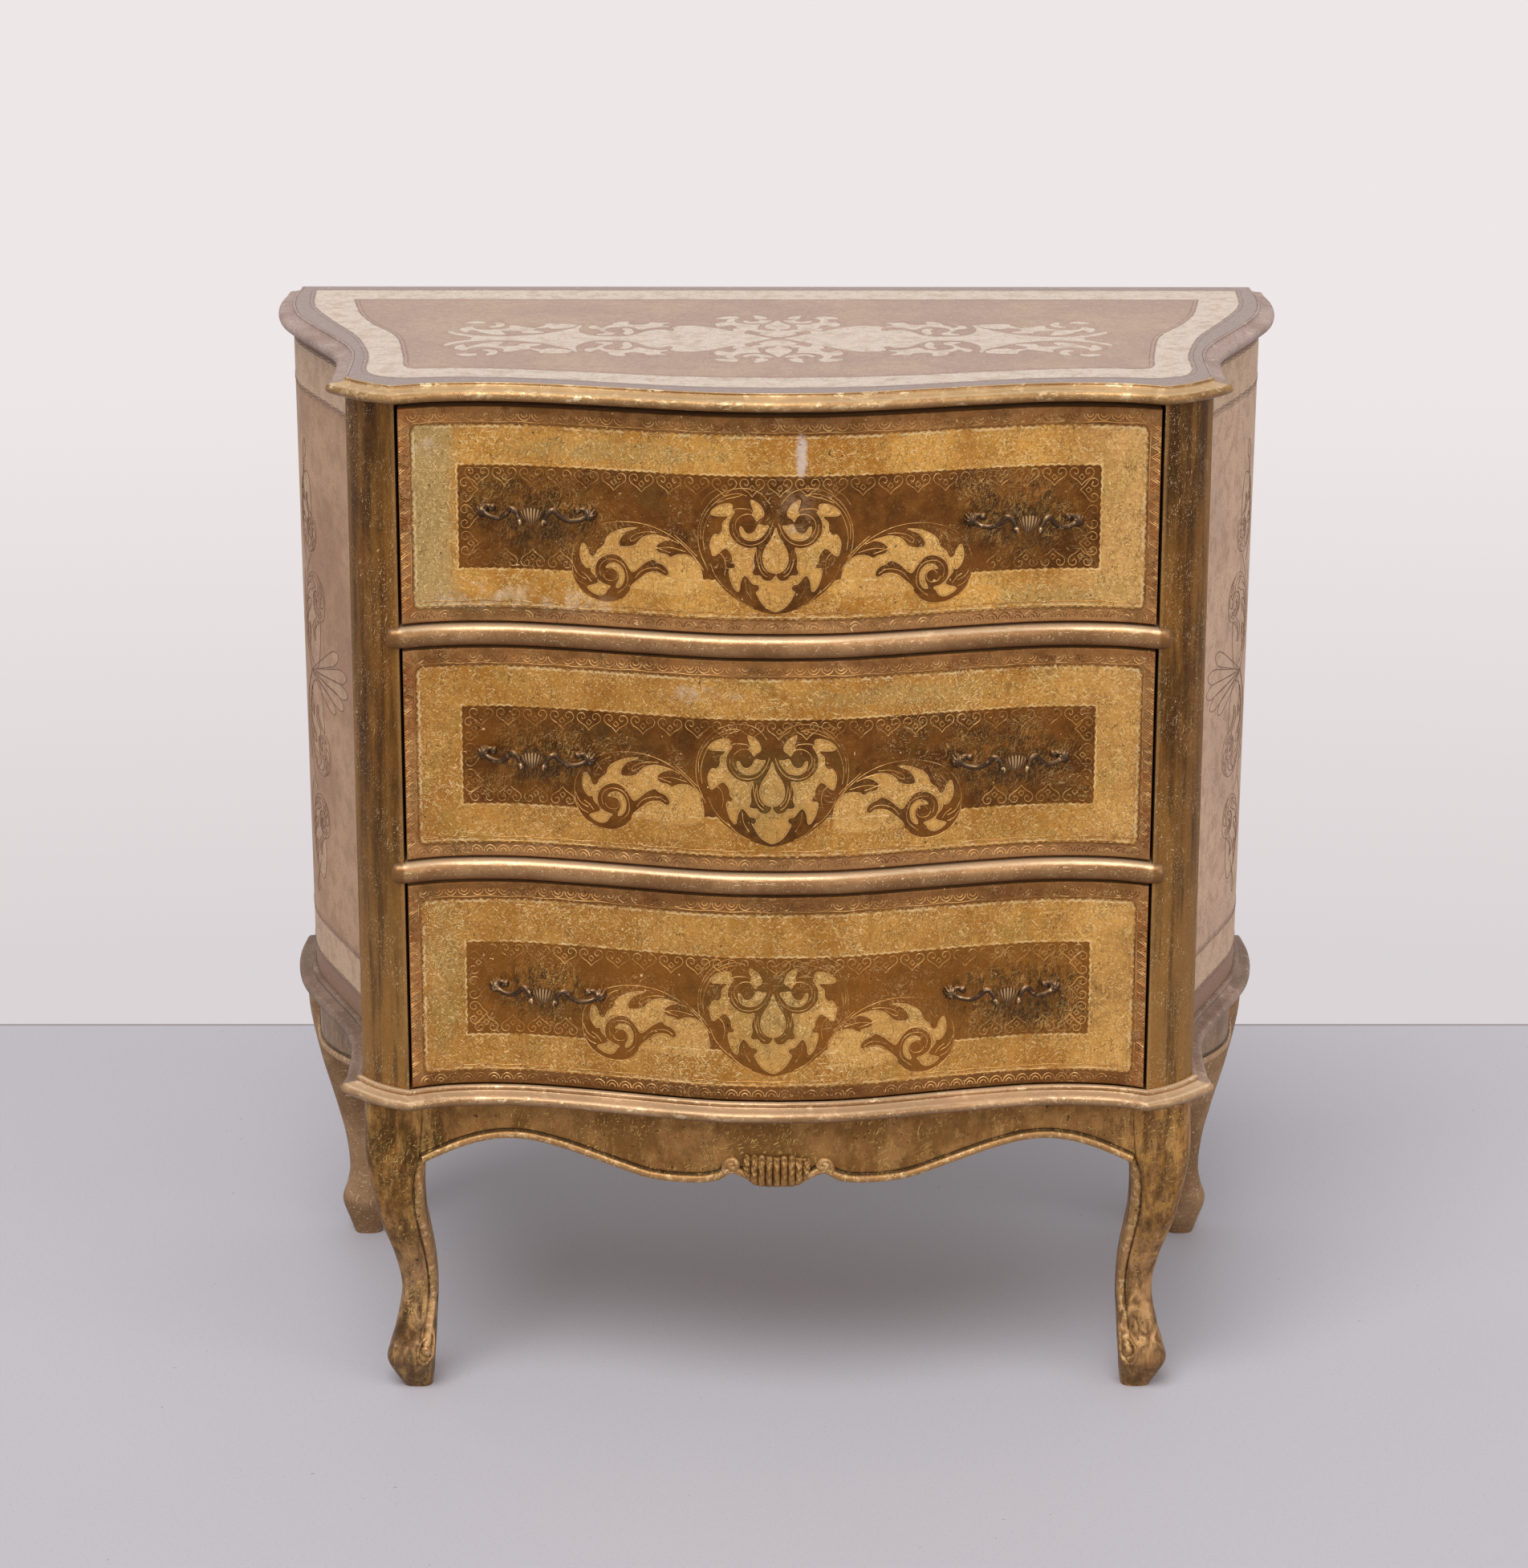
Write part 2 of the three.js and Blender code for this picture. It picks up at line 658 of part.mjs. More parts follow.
// The round end of a rail's nose, lapped over the post beside it
function railStub(lowZ) {
  const round = new THREE.SphereGeometry(1, 10, 6);
  round.scale(NOSING_STUB_REACH, NOSING_PROUD, RAIL_THICKNESS / 2);
  round.translate(openingHalfWidth - JOINT_GAP, frontY(openingHalfWidth), lowZ + RAIL_THICKNESS / 2);
  const grown = offsetLine(cantLine(), JOINT_GAP);
  const backY = postInnerY + POST_DEPTH;
  const keepOut = board(
    [
      vec(railWidth, postInnerY - JOINT_GAP),
      ...grown,
      vec(cornerHalfWidth, backY),
      vec(railWidth, backY),
    ],
    lowZ - CUT_OVERRUN,
    lowZ + RAIL_THICKNESS + CUT_OVERRUN,
  );
  return solid(round).subtract(solid(keepOut));
}

function drawerRail(lowZ) {
  const rings = frontLine(railWidth, 0).map((p) => railRing(p.x, lowZ));
  const cap = rings[0].map((p) => vec(p.y, p.z));
  const stub = railStub(lowZ);
  const otherStub = solid(mirrorX(fromSolid(stub)));
  return fromSolid(solid(loft(rings, cap)).add(stub).add(otherStub));
}

function flatRail(lowZ, highZ) {
  const face = frontLine(railWidth, 0);
  return board([...face, vec(railWidth, railBackY), vec(-railWidth, railBackY)], lowZ, highZ);
}

addPiece(caseGroup, 'base_rail', flatRail(standZ, baseRailTopZ), 'bareWood');
addPiece(caseGroup, 'drawer_rail_lower', drawerRail(openingLowZ(1) - RAIL_THICKNESS), 'gilt');
addPiece(caseGroup, 'drawer_rail_upper', drawerRail(openingLowZ(2) - RAIL_THICKNESS), 'gilt');
const topRailBackY = railBackY;
addPiece(
  caseGroup,
  'top_front_rail',
  block(-railWidth, railWidth, topRailBackY - TOP_RAIL_DEPTH, topRailBackY, hangZ - TOP_RAIL_HEIGHT, hangZ),
  'bareWood',
);

// Rails between the rear posts, level with the runners
const rearRailHalf = rearPostInnerX - JOINT_GAP;
const rearRailBackY = innerCaseBackY - JOINT_GAP;
const rearRailFrontY = rearRailBackY - REAR_RAIL_DEPTH;

function rearRail(lowZ, highZ) {
  return block(-rearRailHalf, rearRailHalf, rearRailFrontY, rearRailBackY, lowZ, highZ);
}

addPiece(caseGroup, 'rear_rail_lower', rearRail(openingLowZ(1) - RAIL_THICKNESS, openingLowZ(1)), 'bareWood');
addPiece(caseGroup, 'rear_rail_upper', rearRail(openingLowZ(2) - RAIL_THICKNESS, openingLowZ(2)), 'bareWood');
addPiece(caseGroup, 'rear_rail_top', rearRail(hangZ - TOP_RAIL_HEIGHT, hangZ), 'bareWood');

// Runners: a foot that carries the drawer's side and an upright that guides it
const drawerSideOuterX = openingHalfWidth - DRAWER_SIDE_CLEARANCE;
const guideInnerX = drawerSideOuterX + DRAWER_GAP;
const runnerFrontY = railBackY + JOINT_GAP;
const runnerBackY = rearRailFrontY - JOINT_GAP;

// The runners carry the drawers level with the top of the base moulding, which the lowest one clears
function runnerTopZ(level) {
  return openingLowZ(level) + BASE_RAIL_DROP;
}

function runner(level) {
  const carryZ = runnerTopZ(level);
  const outerX = guideInnerX + RUNNER_GUIDE_WIDTH;
  const outline = [
    vec(outerX - RUNNER_FOOT_WIDTH, carryZ - RUNNER_FOOT_THICKNESS),
    vec(outerX, carryZ - RUNNER_FOOT_THICKNESS),
    vec(outerX, carryZ + RUNNER_GUIDE_HEIGHT),
    vec(guideInnerX, carryZ + RUNNER_GUIDE_HEIGHT),
    vec(guideInnerX, carryZ),
    vec(outerX - RUNNER_FOOT_WIDTH, carryZ),
  ];
  return frontCut(outline, runnerFrontY, runnerBackY);
}

const levelNames = ['lower', 'middle', 'upper'];
levelNames.forEach((name, level) => {
  addPair(caseGroup, `runner_${name}`, runner(level), 'bareWood');
});

// Legs
function legRings(shares, place, grow) {
  const angles = Array.from({ length: LEG_RING_POINTS }, (_, i) => (2 * Math.PI * i) / LEG_RING_POINTS);
  const round = 2 / LEG_SQUARENESS;
  const power = (value) => Math.sign(value) * Math.abs(value) ** round;
  const topOfLeg = baseZ - JOINT_GAP;
  return shares.map(([height, sweep, width, depth]) => {
    const centreX = place.x + place.sweepX * sweep;
    const centreY = place.y - place.sweepY * sweep;
    return angles.map((angle) => new THREE.Vector3(
      centreX + (LEG_HALF_WIDTH * width + grow) * power(Math.cos(angle)),
      centreY + (LEG_HALF_WIDTH * depth + grow) * power(Math.sin(angle)),
      topOfLeg * height,
    ));
  });
}

const frontLegPlace = {
  x: cornerHalfWidth - FRONT_LEG_INSET_X,
  y: postOuterY + FRONT_LEG_INSET_Y,
  sweepX: FRONT_LEG_SWEEP_X,
  sweepY: FRONT_LEG_SWEEP_Y,
};
const rearLegPlace = {
  x: caseBaseHalfWidth - REAR_LEG_INSET_X,
  y: caseBackY - REAR_LEG_INSET_Y,
  sweepX: REAR_LEG_SWEEP_X,
  sweepY: REAR_LEG_SWEEP_Y,
};

function leg(shares, place, grow = 0) {
  const rings = legRings(shares, place, grow);
  return loft(rings, rings[0].map((p) => vec(p.x, p.y)));
}

addPair(caseGroup, 'front_leg', leg(FRONT_LEG_SHARES, frontLegPlace), 'gilt');
addPair(caseGroup, 'rear_leg', leg(REAR_LEG_SHARES, rearLegPlace), 'gilt');

// Aprons: a curved slab cut to its lower outline, with a bead along that outline
const apronTopZ = baseZ - JOINT_GAP;

function apronLowZ(shares, where) {
  return baseZ - APRON_DROP * shareAt(shares, where);
}

// The outline seen face on: a lower edge, shut by a straight line above or by the bead's own height
function apronOutlines(lowerEdge) {
  const first = lowerEdge[0];
  const last = lowerEdge[lowerEdge.length - 1];
  const raised = lowerEdge.map((p) => vec(p.x, p.y + APRON_BEAD_HEIGHT)).reverse();
  return {
    whole: [...lowerEdge, vec(last.x, apronTopZ), vec(first.x, apronTopZ)],
    bead: [...lowerEdge, ...raised],
  };
}

function bothLegs(shares, place) {
  const grown = leg(shares, place, JOINT_GAP);
  return solid(grown).add(solid(mirrorX(grown)));
}

function frontApron() {
  const half = frontLegPlace.x;
  const right = FRONT_APRON_SHARES.map(([along]) => vec(along * half, apronLowZ(FRONT_APRON_SHARES, along)));
  const lower = [...mirrored(right), ...right.slice(1)];
  const outlines = apronOutlines(lower);
  const slab = (setback) => {
    const face = frontLine(half, setback);
    const back = frontLine(half, APRON_SETBACK + APRON_THICKNESS).reverse();
    return solid(board([...face, ...back], baseZ - APRON_DROP - CUT_OVERRUN, apronTopZ));
  };
  const nearY = crestY - CUT_OVERRUN;
  const whole = slab(APRON_SETBACK).intersect(solid(frontCut(outlines.whole, nearY, 0)));
  const proud = slab(APRON_SETBACK - APRON_BEAD_PROUD);
  const rim = proud.intersect(solid(frontCut(outlines.bead, nearY, 0)));
  return fromSolid(whole.add(rim).subtract(bothLegs(FRONT_LEG_SHARES, frontLegPlace)));
}

function sideApron() {
  const startY = frontLegPlace.y;
  const endY = rearLegPlace.y;
  const lower = steps(SIDE_APRON_STEPS).map((share) => (
    vec(mix(startY, endY, share), apronLowZ(SIDE_APRON_SHARES, share))
  ));
  const outlines = apronOutlines(lower);
  const slab = (setback) => {
    const face = sideLine(startY, endY, caseBaseHalfWidth);
    const outer = offsetLine(face, -setback);
    const inner = offsetLine(face, -APRON_SETBACK - APRON_THICKNESS).reverse();
    return solid(board([...outer, ...inner], baseZ - APRON_DROP - CUT_OVERRUN, apronTopZ));
  };
  const farX = caseBaseHalfWidth + CUT_OVERRUN;
  const whole = slab(APRON_SETBACK).intersect(solid(sideCut(outlines.whole, 0, farX)));
  const rim = slab(APRON_SETBACK - APRON_BEAD_PROUD).intersect(solid(sideCut(outlines.bead, 0, farX)));
  const legs = solid(leg(FRONT_LEG_SHARES, frontLegPlace, JOINT_GAP))
    .add(solid(leg(REAR_LEG_SHARES, rearLegPlace, JOINT_GAP)));
  return fromSolid(whole.add(rim).subtract(legs));
}

function rearApron() {
  const half = rearLegPlace.x;
  const highZ = apronTopZ;
  const lowZ = highZ - RAIL_THICKNESS;
  const backY = innerCaseBackY;
  const bar = solid(block(-half, half, backY - APRON_THICKNESS, backY, lowZ, highZ));
  return fromSolid(bar.subtract(bothLegs(REAR_LEG_SHARES, rearLegPlace)));
}

addPiece(caseGroup, 'apron_front', frontApron(), 'gilt');
addPair(caseGroup, 'apron_side', sideApron(), 'gilt');
addPiece(caseGroup, 'apron_rear', rearApron(), 'bareWood');

// The carved shell stands on the bead in the middle of the front apron
function apronShell() {
  const lowZ = baseZ - APRON_DROP - SHELL_LOW_REACH;
  const middleZ = lowZ + SHELL_HEIGHT / 2;
  const outline = Array.from({ length: SHELL_STEPS }, (_, i) => {
    const angle = (2 * Math.PI * i) / SHELL_STEPS;
    const scallop = 1 - SHELL_LOBE_SHARE * Math.abs(Math.cos(SHELL_LOBES * angle));
    return vec(
      SHELL_HALF_WIDTH * scallop * Math.cos(angle),
      middleZ + (SHELL_HEIGHT / 2) * scallop * Math.sin(angle),
    );
  });
  const back = APRON_SETBACK - APRON_BEAD_PROUD - JOINT_GAP;
  const face = frontLine(SHELL_HALF_WIDTH, back - SHELL_THICKNESS);
  const rear = frontLine(SHELL_HALF_WIDTH, back).reverse();
  const slab = solid(board([...face, ...rear], lowZ, lowZ + SHELL_HEIGHT));
  return fromSolid(slab.intersect(solid(frontCut(outline, crestY - BASE_PROJECTION, 0))));
}

addPiece(caseGroup, 'apron_shell', apronShell(), 'gilt');

// Drawer pulls
function tube(points, radius) {
  const circle = new THREE.Shape();
  circle.absarc(0, 0, radius, 0, 2 * Math.PI, false);
  const path = new THREE.CatmullRomCurve3(points);
  return new THREE.ExtrudeGeometry(circle, {
    steps: points.length + 1,
    curveSegments: 3,
    bevelEnabled: false,
    extrudePath: path,
  });
}

function ball(at, radius) {
  const geometry = new THREE.SphereGeometry(radius, 6, 4);
  geometry.translate(at.x, at.y, at.z);
  return geometry;
}

function pullPoint([along, out, up]) {
  return new THREE.Vector3(PULL_HALF_SPAN * along, -PULL_STANDOFF * out, PULL_WAVE * up);
}

// A round post that stands on the drawer's face, waisted under its cap
function pullBoss() {
  const waist = PULL_BOSS_RADIUS * 0.6;
  const rise = PULL_STANDOFF * 0.36;
  const profile = [
    vec(0, -PULL_BOSS_RADIUS), vec(PULL_BOSS_RADIUS, -PULL_BOSS_RADIUS), vec(PULL_BOSS_RADIUS, rise * 0.6),
    vec(waist, rise), vec(0, rise * 1.1),
  ];
  const geometry = new THREE.LatheGeometry(profile, 8);
  geometry.rotateX(Math.PI);
  geometry.translate(PULL_HALF_SPAN, 0, 0);
  return geometry;
}

// The screw runs from inside the boss, through the drawer front, into its head
function pullScrew() {
  const nearY = -PULL_BOSS_RADIUS;
  const farY = FRONT_THICKNESS + PULL_HEAD_HEIGHT;
  const geometry = new THREE.CylinderGeometry(PULL_SCREW_RADIUS, PULL_SCREW_RADIUS, farY - nearY, 6);
  geometry.translate(PULL_HALF_SPAN, (nearY + farY) / 2, 0);
  return geometry;
}

function pullShell() {
  const outline = Array.from({ length: SHELL_STEPS }, (_, i) => {
    const angle = (2 * Math.PI * i) / SHELL_STEPS;
    const scallop = 1 - SHELL_LOBE_SHARE * Math.abs(Math.cos(SHELL_LOBES * angle));
    return vec(
      PULL_SHELL_HALF_WIDTH * scallop * Math.cos(angle),
      (PULL_SHELL_HEIGHT / 2) * scallop * Math.sin(angle),
    );
  });
  const nearY = -PULL_STANDOFF - PULL_SHELL_THICKNESS / 2;
  const geometry = frontCut(outline, nearY, nearY + PULL_SHELL_THICKNESS);
  return geometry;
}

// One pull in its own frame: x along the drawer, -y out from its face
function pull() {
  const side = [
    tube(PULL_BAR_SHARES.map(pullPoint), PULL_BAR_RADIUS),
    ball(pullPoint(PULL_BAR_SHARES[0]), PULL_BALL_RADIUS),
    ball(pullPoint(PULL_BAR_SHARES[PULL_BAR_SHARES.length - 1]), PULL_BALL_RADIUS),
    pullBoss(),
    pullScrew(),
    pullHead(),
  ];
  let whole = solid(pullShell());
  for (const geometry of side) {
    whole = whole.add(solid(geometry)).add(solid(mirrorX(geometry)));
  }
  return fromSolid(whole);
}

// The screw's head bears on the back of the drawer front
function pullHead() {
  const nearY = FRONT_THICKNESS - PULL_HEAD_RADIUS;
  const farY = FRONT_THICKNESS + PULL_HEAD_HEIGHT;
  const geometry = new THREE.CylinderGeometry(PULL_HEAD_RADIUS, PULL_HEAD_RADIUS, farY - nearY, 8);
  geometry.translate(PULL_HALF_SPAN, (nearY + farY) / 2, 0);
  return geometry;
}

// Turns and moves a shape from a pull's frame to its place on a drawer
function placed(geometry, [across, rise, turn], drawerMiddleZ) {
  const middleX = drawerHalfWidth * across;
  const leftY = frontY(middleX - PULL_HALF_SPAN);
  const rightY = frontY(middleX + PULL_HALF_SPAN);
  const copy = bare(geometry);
  copy.rotateY(THREE.MathUtils.degToRad(turn));
  copy.rotateZ(Math.atan2(rightY - leftY, 2 * PULL_HALF_SPAN));
  copy.translate(middleX, (leftY + rightY) / 2, drawerMiddleZ + frontHeight * rise);
  return copy;
}

function screwHoles(place, drawerMiddleZ, clearance) {
  const reach = FRONT_THICKNESS * 2 + CUT_OVERRUN;
  const cylinder = new THREE.CylinderGeometry(
    PULL_SCREW_RADIUS + clearance,
    PULL_SCREW_RADIUS + clearance,
    reach,
    6,
  );
  cylinder.translate(PULL_HALF_SPAN, FRONT_THICKNESS / 2, 0);
  const other = mirrorX(cylinder);
  return solid(placed(cylinder, place, drawerMiddleZ)).add(solid(placed(other, place, drawerMiddleZ)));
}

function frontSlab(lowZ, grow) {
  const face = frontLine(drawerHalfWidth, -grow);
  const rear = frontLine(drawerHalfWidth, FRONT_THICKNESS + grow).reverse();
  return solid(board([...face, ...rear], lowZ, lowZ + frontHeight));
}

// Drawers
function addDrawer(name, level) {
  const group = new THREE.Group();
  chest.add(group);
  const frontLowZ = openingLowZ(level) + DRAWER_GAP;
  const middleZ = frontLowZ + frontHeight / 2;
  let front = frontSlab(frontLowZ, 0);
  for (const [side, place] of Object.entries(PULL_PLACE_SHARES[level])) {
    front = front.subtract(screwHoles(place, middleZ, PULL_SCREW_CLEARANCE));
    const seat = frontSlab(frontLowZ, JOINT_GAP).subtract(screwHoles(place, middleZ, PULL_SCREW_CLEARANCE / 2));
    const fitted = solid(placed(pull(), place, middleZ)).subtract(seat);
    addPiece(group, `${name}_pull_${side}`, fromSolid(fitted), 'brass');
  }
  addPiece(group, `${name}_front`, fromSolid(front), 'front');

  const sideLowZ = runnerTopZ(level) + JOINT_GAP;
  const sideHighZ = sideLowZ + openingHeight - DRAWER_SIDE_DROP;
  const innerX = drawerSideOuterX - DRAWER_SIDE_THICKNESS;
  const drawerBackY = rearRailFrontY - DRAWER_BACK_CLEARANCE;
  const backFaceY = drawerBackY - DRAWER_SIDE_THICKNESS;
  const behindFront = FRONT_THICKNESS + JOINT_GAP;
  const sidePlan = [
    ...frontBetween(innerX, drawerSideOuterX, behindFront),
    vec(drawerSideOuterX, drawerBackY),
    vec(innerX, drawerBackY),
  ];
  const side = board(sidePlan, sideLowZ, sideHighZ);
  addPiece(group, `${name}_side_right`, side, 'bareWood');
  addPiece(group, `${name}_side_left`, mirrorX(side), 'bareWood');
  const betweenX = innerX - JOINT_GAP;
  const back = block(-betweenX, betweenX, backFaceY, drawerBackY, sideLowZ, sideHighZ);
  addPiece(group, `${name}_back`, back, 'bareWood');
  const bottomLowZ = sideLowZ + DRAWER_BOTTOM_RISE;
  const bottomPlan = [
    ...frontLine(betweenX, behindFront),
    vec(betweenX, backFaceY - JOINT_GAP),
    vec(-betweenX, backFaceY - JOINT_GAP),
  ];
  const bottom = board(bottomPlan, bottomLowZ, bottomLowZ + DRAWER_BOTTOM_THICKNESS);
  addPiece(group, `${name}_bottom`, bottom, 'bareWood');
}

levelNames.forEach((name, level) => addDrawer(`drawer_${name}`, level));

export default chest;
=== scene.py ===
# %% [markdown]
# # A small serpentine commode chest
# The chest has three drawers in a case whose front and sides swing in and out, on four cabriole legs.
# It is painted and gilded in the old Florentine way: gold leaf and dark brown on the front, mauve and
# cream on the top and sides, with tooled lines and leaf scrolls. The frame from the CAD model is loaded
# first, and everything here is laid over it in metres.

# %% Load the frame
import math
from contextlib import contextmanager
from functools import reduce
import bpy
import numpy as np
from mathutils import Matrix


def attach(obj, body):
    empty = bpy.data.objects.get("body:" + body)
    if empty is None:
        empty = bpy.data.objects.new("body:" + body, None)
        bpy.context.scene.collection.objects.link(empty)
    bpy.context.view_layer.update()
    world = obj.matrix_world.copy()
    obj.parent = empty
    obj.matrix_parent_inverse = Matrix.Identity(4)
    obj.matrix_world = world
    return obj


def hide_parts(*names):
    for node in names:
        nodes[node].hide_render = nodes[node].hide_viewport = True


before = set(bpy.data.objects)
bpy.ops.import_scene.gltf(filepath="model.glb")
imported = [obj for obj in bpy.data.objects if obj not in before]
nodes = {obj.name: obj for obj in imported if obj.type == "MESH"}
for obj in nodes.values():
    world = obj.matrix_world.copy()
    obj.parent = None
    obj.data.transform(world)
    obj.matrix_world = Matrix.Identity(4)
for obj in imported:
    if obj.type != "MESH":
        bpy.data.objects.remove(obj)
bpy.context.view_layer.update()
MM = 0.001

# %% [markdown]
# ## Camera
# The photograph looks down at the front by about seventeen degrees from three and a third metres, with
# a long lens. The camera takes the photograph's own frame, so that pieces can be compared one to one.

# %% Camera
PHOTO_WIDTH = 1904
FOCAL_PIXELS = 5600
CENTRE_DROP_PIXELS = 26
PITCH, YAW, ROLL = math.radians(17.26), math.radians(0.29), math.radians(0.10)
EYE = (-0.0270, -3.3503, 1.4710)

ahead = np.array((math.sin(YAW) * math.cos(PITCH), math.cos(YAW) * math.cos(PITCH), -math.sin(PITCH)))
level = np.array((math.cos(YAW), -math.sin(YAW), 0))
upright = np.cross(level, ahead)
rightward = level * math.cos(ROLL) + upright * math.sin(ROLL)
upward = upright * math.cos(ROLL) - level * math.sin(ROLL)

camera_data = bpy.data.cameras.new("camera")
camera_data.sensor_fit = "HORIZONTAL"
camera_data.sensor_width = 36
camera_data.lens = FOCAL_PIXELS / PHOTO_WIDTH * 36
camera_data.shift_y = CENTRE_DROP_PIXELS / PHOTO_WIDTH
camera_data.clip_end = 50
camera = bpy.data.objects.new("camera", camera_data)
bpy.context.scene.collection.objects.link(camera)
turned = np.eye(4)
turned[:3, 0], turned[:3, 1], turned[:3, 2], turned[:3, 3] = rightward, upward, -ahead, EYE
camera.matrix_world = Matrix(turned.tolist())
bpy.context.scene.camera = camera
print("lens", round(camera_data.lens, 2))

# %% [markdown]
# ## The plan of the case
# The curves of the front and the sides are drawn once, as smooth lines through a table of shares, from
# the same figures as the CAD model. Every swept piece below is laid along them, so they all meet.

# %% Smooth curves of the plan, in millimetres
CREST_Y = -197.75
SWING = 38.5
OPENING_HALF = 278.5
DRAWER_HALF = 276.3
CORNER_HALF = 316
CASE_BACK_Y = 203.75
TOP_BACK_Y = 211.75
BASE_Z, BOARD_TOP_Z, CASE_TOP_Z, TOP_Z = 244.8, 251.3, 787, 799
BASE_HALF, TOP_HALF = 378, 381.5
JOINT_GAP = 0.3
FRONT_CURVE_SHARES = [
    (0, 0), (0.14, 0.055), (0.25, 0.2), (0.37, 0.42), (0.49, 0.645), (0.58, 0.8),
    (0.68, 0.945), (0.775, 1), (0.85, 0.98), (0.91, 0.92), (0.96, 0.82), (1, 0.7),
]
SIDE_CURVE_SHARES = [
    (0, 0.968), (0.1, 1), (0.212, 0.962), (0.322, 0.848), (0.44, 0.616), (0.553, 0.36),
    (0.655, 0.147), (0.734, 0.043), (0.811, 0.008), (0.902, 0), (1, 0),
]


def share_at(table, where, column=1):
    """A smooth curve through the rows of a table, at one place or at many."""
    table = np.array(table, float)
    last = len(table) - 1
    index = np.arange(last + 1)
    before, after = np.maximum(index - 1, 0), np.minimum(index + 1, last)
    slope = (table[after, column] - table[before, column]) / (table[after, 0] - table[before, 0])
    where = np.clip(np.asarray(where, float), table[0, 0], table[-1, 0])
    low = np.clip(np.searchsorted(table[:, 0], where, side="right") - 1, 0, last - 1)
    width = table[low + 1, 0] - table[low, 0]
    t = (where - table[low, 0]) / width
    rise = 3 * t**2 - 2 * t**3
    value = table[low, column] * (1 - rise) + table[low + 1, column] * rise
    return value + width * (slope[low] * t * (1 - t) ** 2 - slope[low + 1] * t**2 * (1 - t))


def front_y(x):
    return CREST_Y + SWING * share_at(FRONT_CURVE_SHARES, np.abs(x) / DRAWER_HALF)


POST_INNER_Y = float(front_y(DRAWER_HALF)) - 1
POST_OUTER_Y = POST_INNER_Y + 32.5


def side_x(y, half_width):
    along = (CASE_BACK_Y - y) / (CASE_BACK_Y - POST_OUTER_Y)
    return CORNER_HALF + (half_width - CORNER_HALF) * share_at(SIDE_CURVE_SHARES, along)


def half_width_at(z):
    return BASE_HALF + (TOP_HALF - BASE_HALF) * (z - BOARD_TOP_Z) / (CASE_TOP_Z - BOARD_TOP_Z)


print("front corner at", round(POST_INNER_Y, 2), "side corner at", round(POST_OUTER_Y, 2))

# %% The outline of the whole case and the way out from it
CANT_BULGE = 4


def cant_line(count):
    inner, outer = np.array((OPENING_HALF, POST_INNER_Y)), np.array((CORNER_HALF, POST_OUTER_Y))
    along = outer - inner
    out = np.array((along[1], -along[0])) / np.linalg.norm(along)
    share = np.linspace(0, 1, count + 1)[:, None]
    return inner + along * share + out * 4 * share * (1 - share) * CANT_BULGE


def side_line(start_y, end_y, half_width, count):
    y = np.linspace(start_y, end_y, count + 1)
    return np.stack((side_x(y, half_width), y), 1)


def mirrored(points):
    return (np.asarray(points, float) * (-1, 1))[::-1]


def case_outline(back_y, half_width, front_cells=180, cant_cells=14, side_cells=90):
    side = side_line(POST_OUTER_Y, CASE_BACK_Y, half_width, side_cells)
    if back_y > CASE_BACK_Y:
        side = np.vstack((side, (side[-1, 0], back_y)))
    right = np.vstack((cant_line(cant_cells), side[1:]))
    x = np.linspace(-OPENING_HALF, OPENING_HALF, front_cells + 1)[1:-1]
    front = np.stack((x, front_y(x)), 1)
    left_corner = len(side) - 1
    right_corner = left_corner + 2 * cant_cells + len(front) + 1
    return np.vstack((mirrored(right), front, right)), left_corner, right_corner


def outward(points, square_ends=True):
    """For each point of an open line, the step that moves it one millimetre out from the line."""
    run = np.diff(points, axis=0)
    run /= np.linalg.norm(run, axis=1)[:, None]
    normal = np.stack((run[:, 1], -run[:, 0]), 1)
    dots = (normal[:-1] * normal[1:]).sum(1)[:, None]
    middle = (normal[:-1] + normal[1:]) / (1 + dots)
    ends = normal[[0, -1]]
    if square_ends:
        ends = np.array(((1 / normal[0, 0], 0), (1 / normal[-1, 0], 0)))
    return np.vstack((ends[:1], middle, ends[1:]))


outline, left_corner, right_corner = case_outline(TOP_BACK_Y, TOP_HALF)
print("case outline of", len(outline), "points, corners at", left_corner, right_corner)

# %% [markdown]
# ## Plain mesh work
# A swept or bent board is a flat grid whose rows are laid on the rings of its shape, merged where the
# rings close, and filled at its ends. That gives exact curves, which bending a cube by hand can't.

# %% Helpers that shape and finish a piece
MERGE_REACH = 0.00002
CASE = "carcass"
made = []


def take(piece):
    bpy.ops.object.select_all(action="DESELECT")
    piece.select_set(True)
    bpy.context.view_layer.objects.active = piece


@contextmanager
def editing(piece):
    """Edit mode on the whole of a piece, for as long as a with block lasts."""
    take(piece)
    bpy.ops.object.mode_set(mode="EDIT")
    bpy.ops.mesh.select_all(action="SELECT")
    yield
    bpy.ops.object.mode_set(mode="OBJECT")


def spots_of(piece):
    spots = np.empty(len(piece.data.vertices) * 3)
    piece.data.vertices.foreach_get("co", spots)
    return spots.reshape(-1, 3) / MM


def move_spots(piece, spots):
    piece.data.vertices.foreach_set("co", (np.asarray(spots) * MM).ravel())
    piece.data.update()


def lay_grid(name, rings):
    """A flat grid whose rows of vertices are laid on rings of points."""
    rings = np.asarray(rings, float)
    rows, points = rings.shape[:2]
    bpy.ops.object.select_all(action="DESELECT")
    bpy.ops.mesh.primitive_grid_add(x_subdivisions=rows - 1, y_subdivisions=points - 1, size=1)
    piece = bpy.context.object
    piece.name = piece.data.name = name
    flat = spots_of(piece) * MM
    row = np.rint((flat[:, 0] + 0.5) * (rows - 1)).astype(int)
    point = np.rint((flat[:, 1] + 0.5) * (points - 1)).astype(int)
    move_spots(piece, rings[row, point])
    return piece


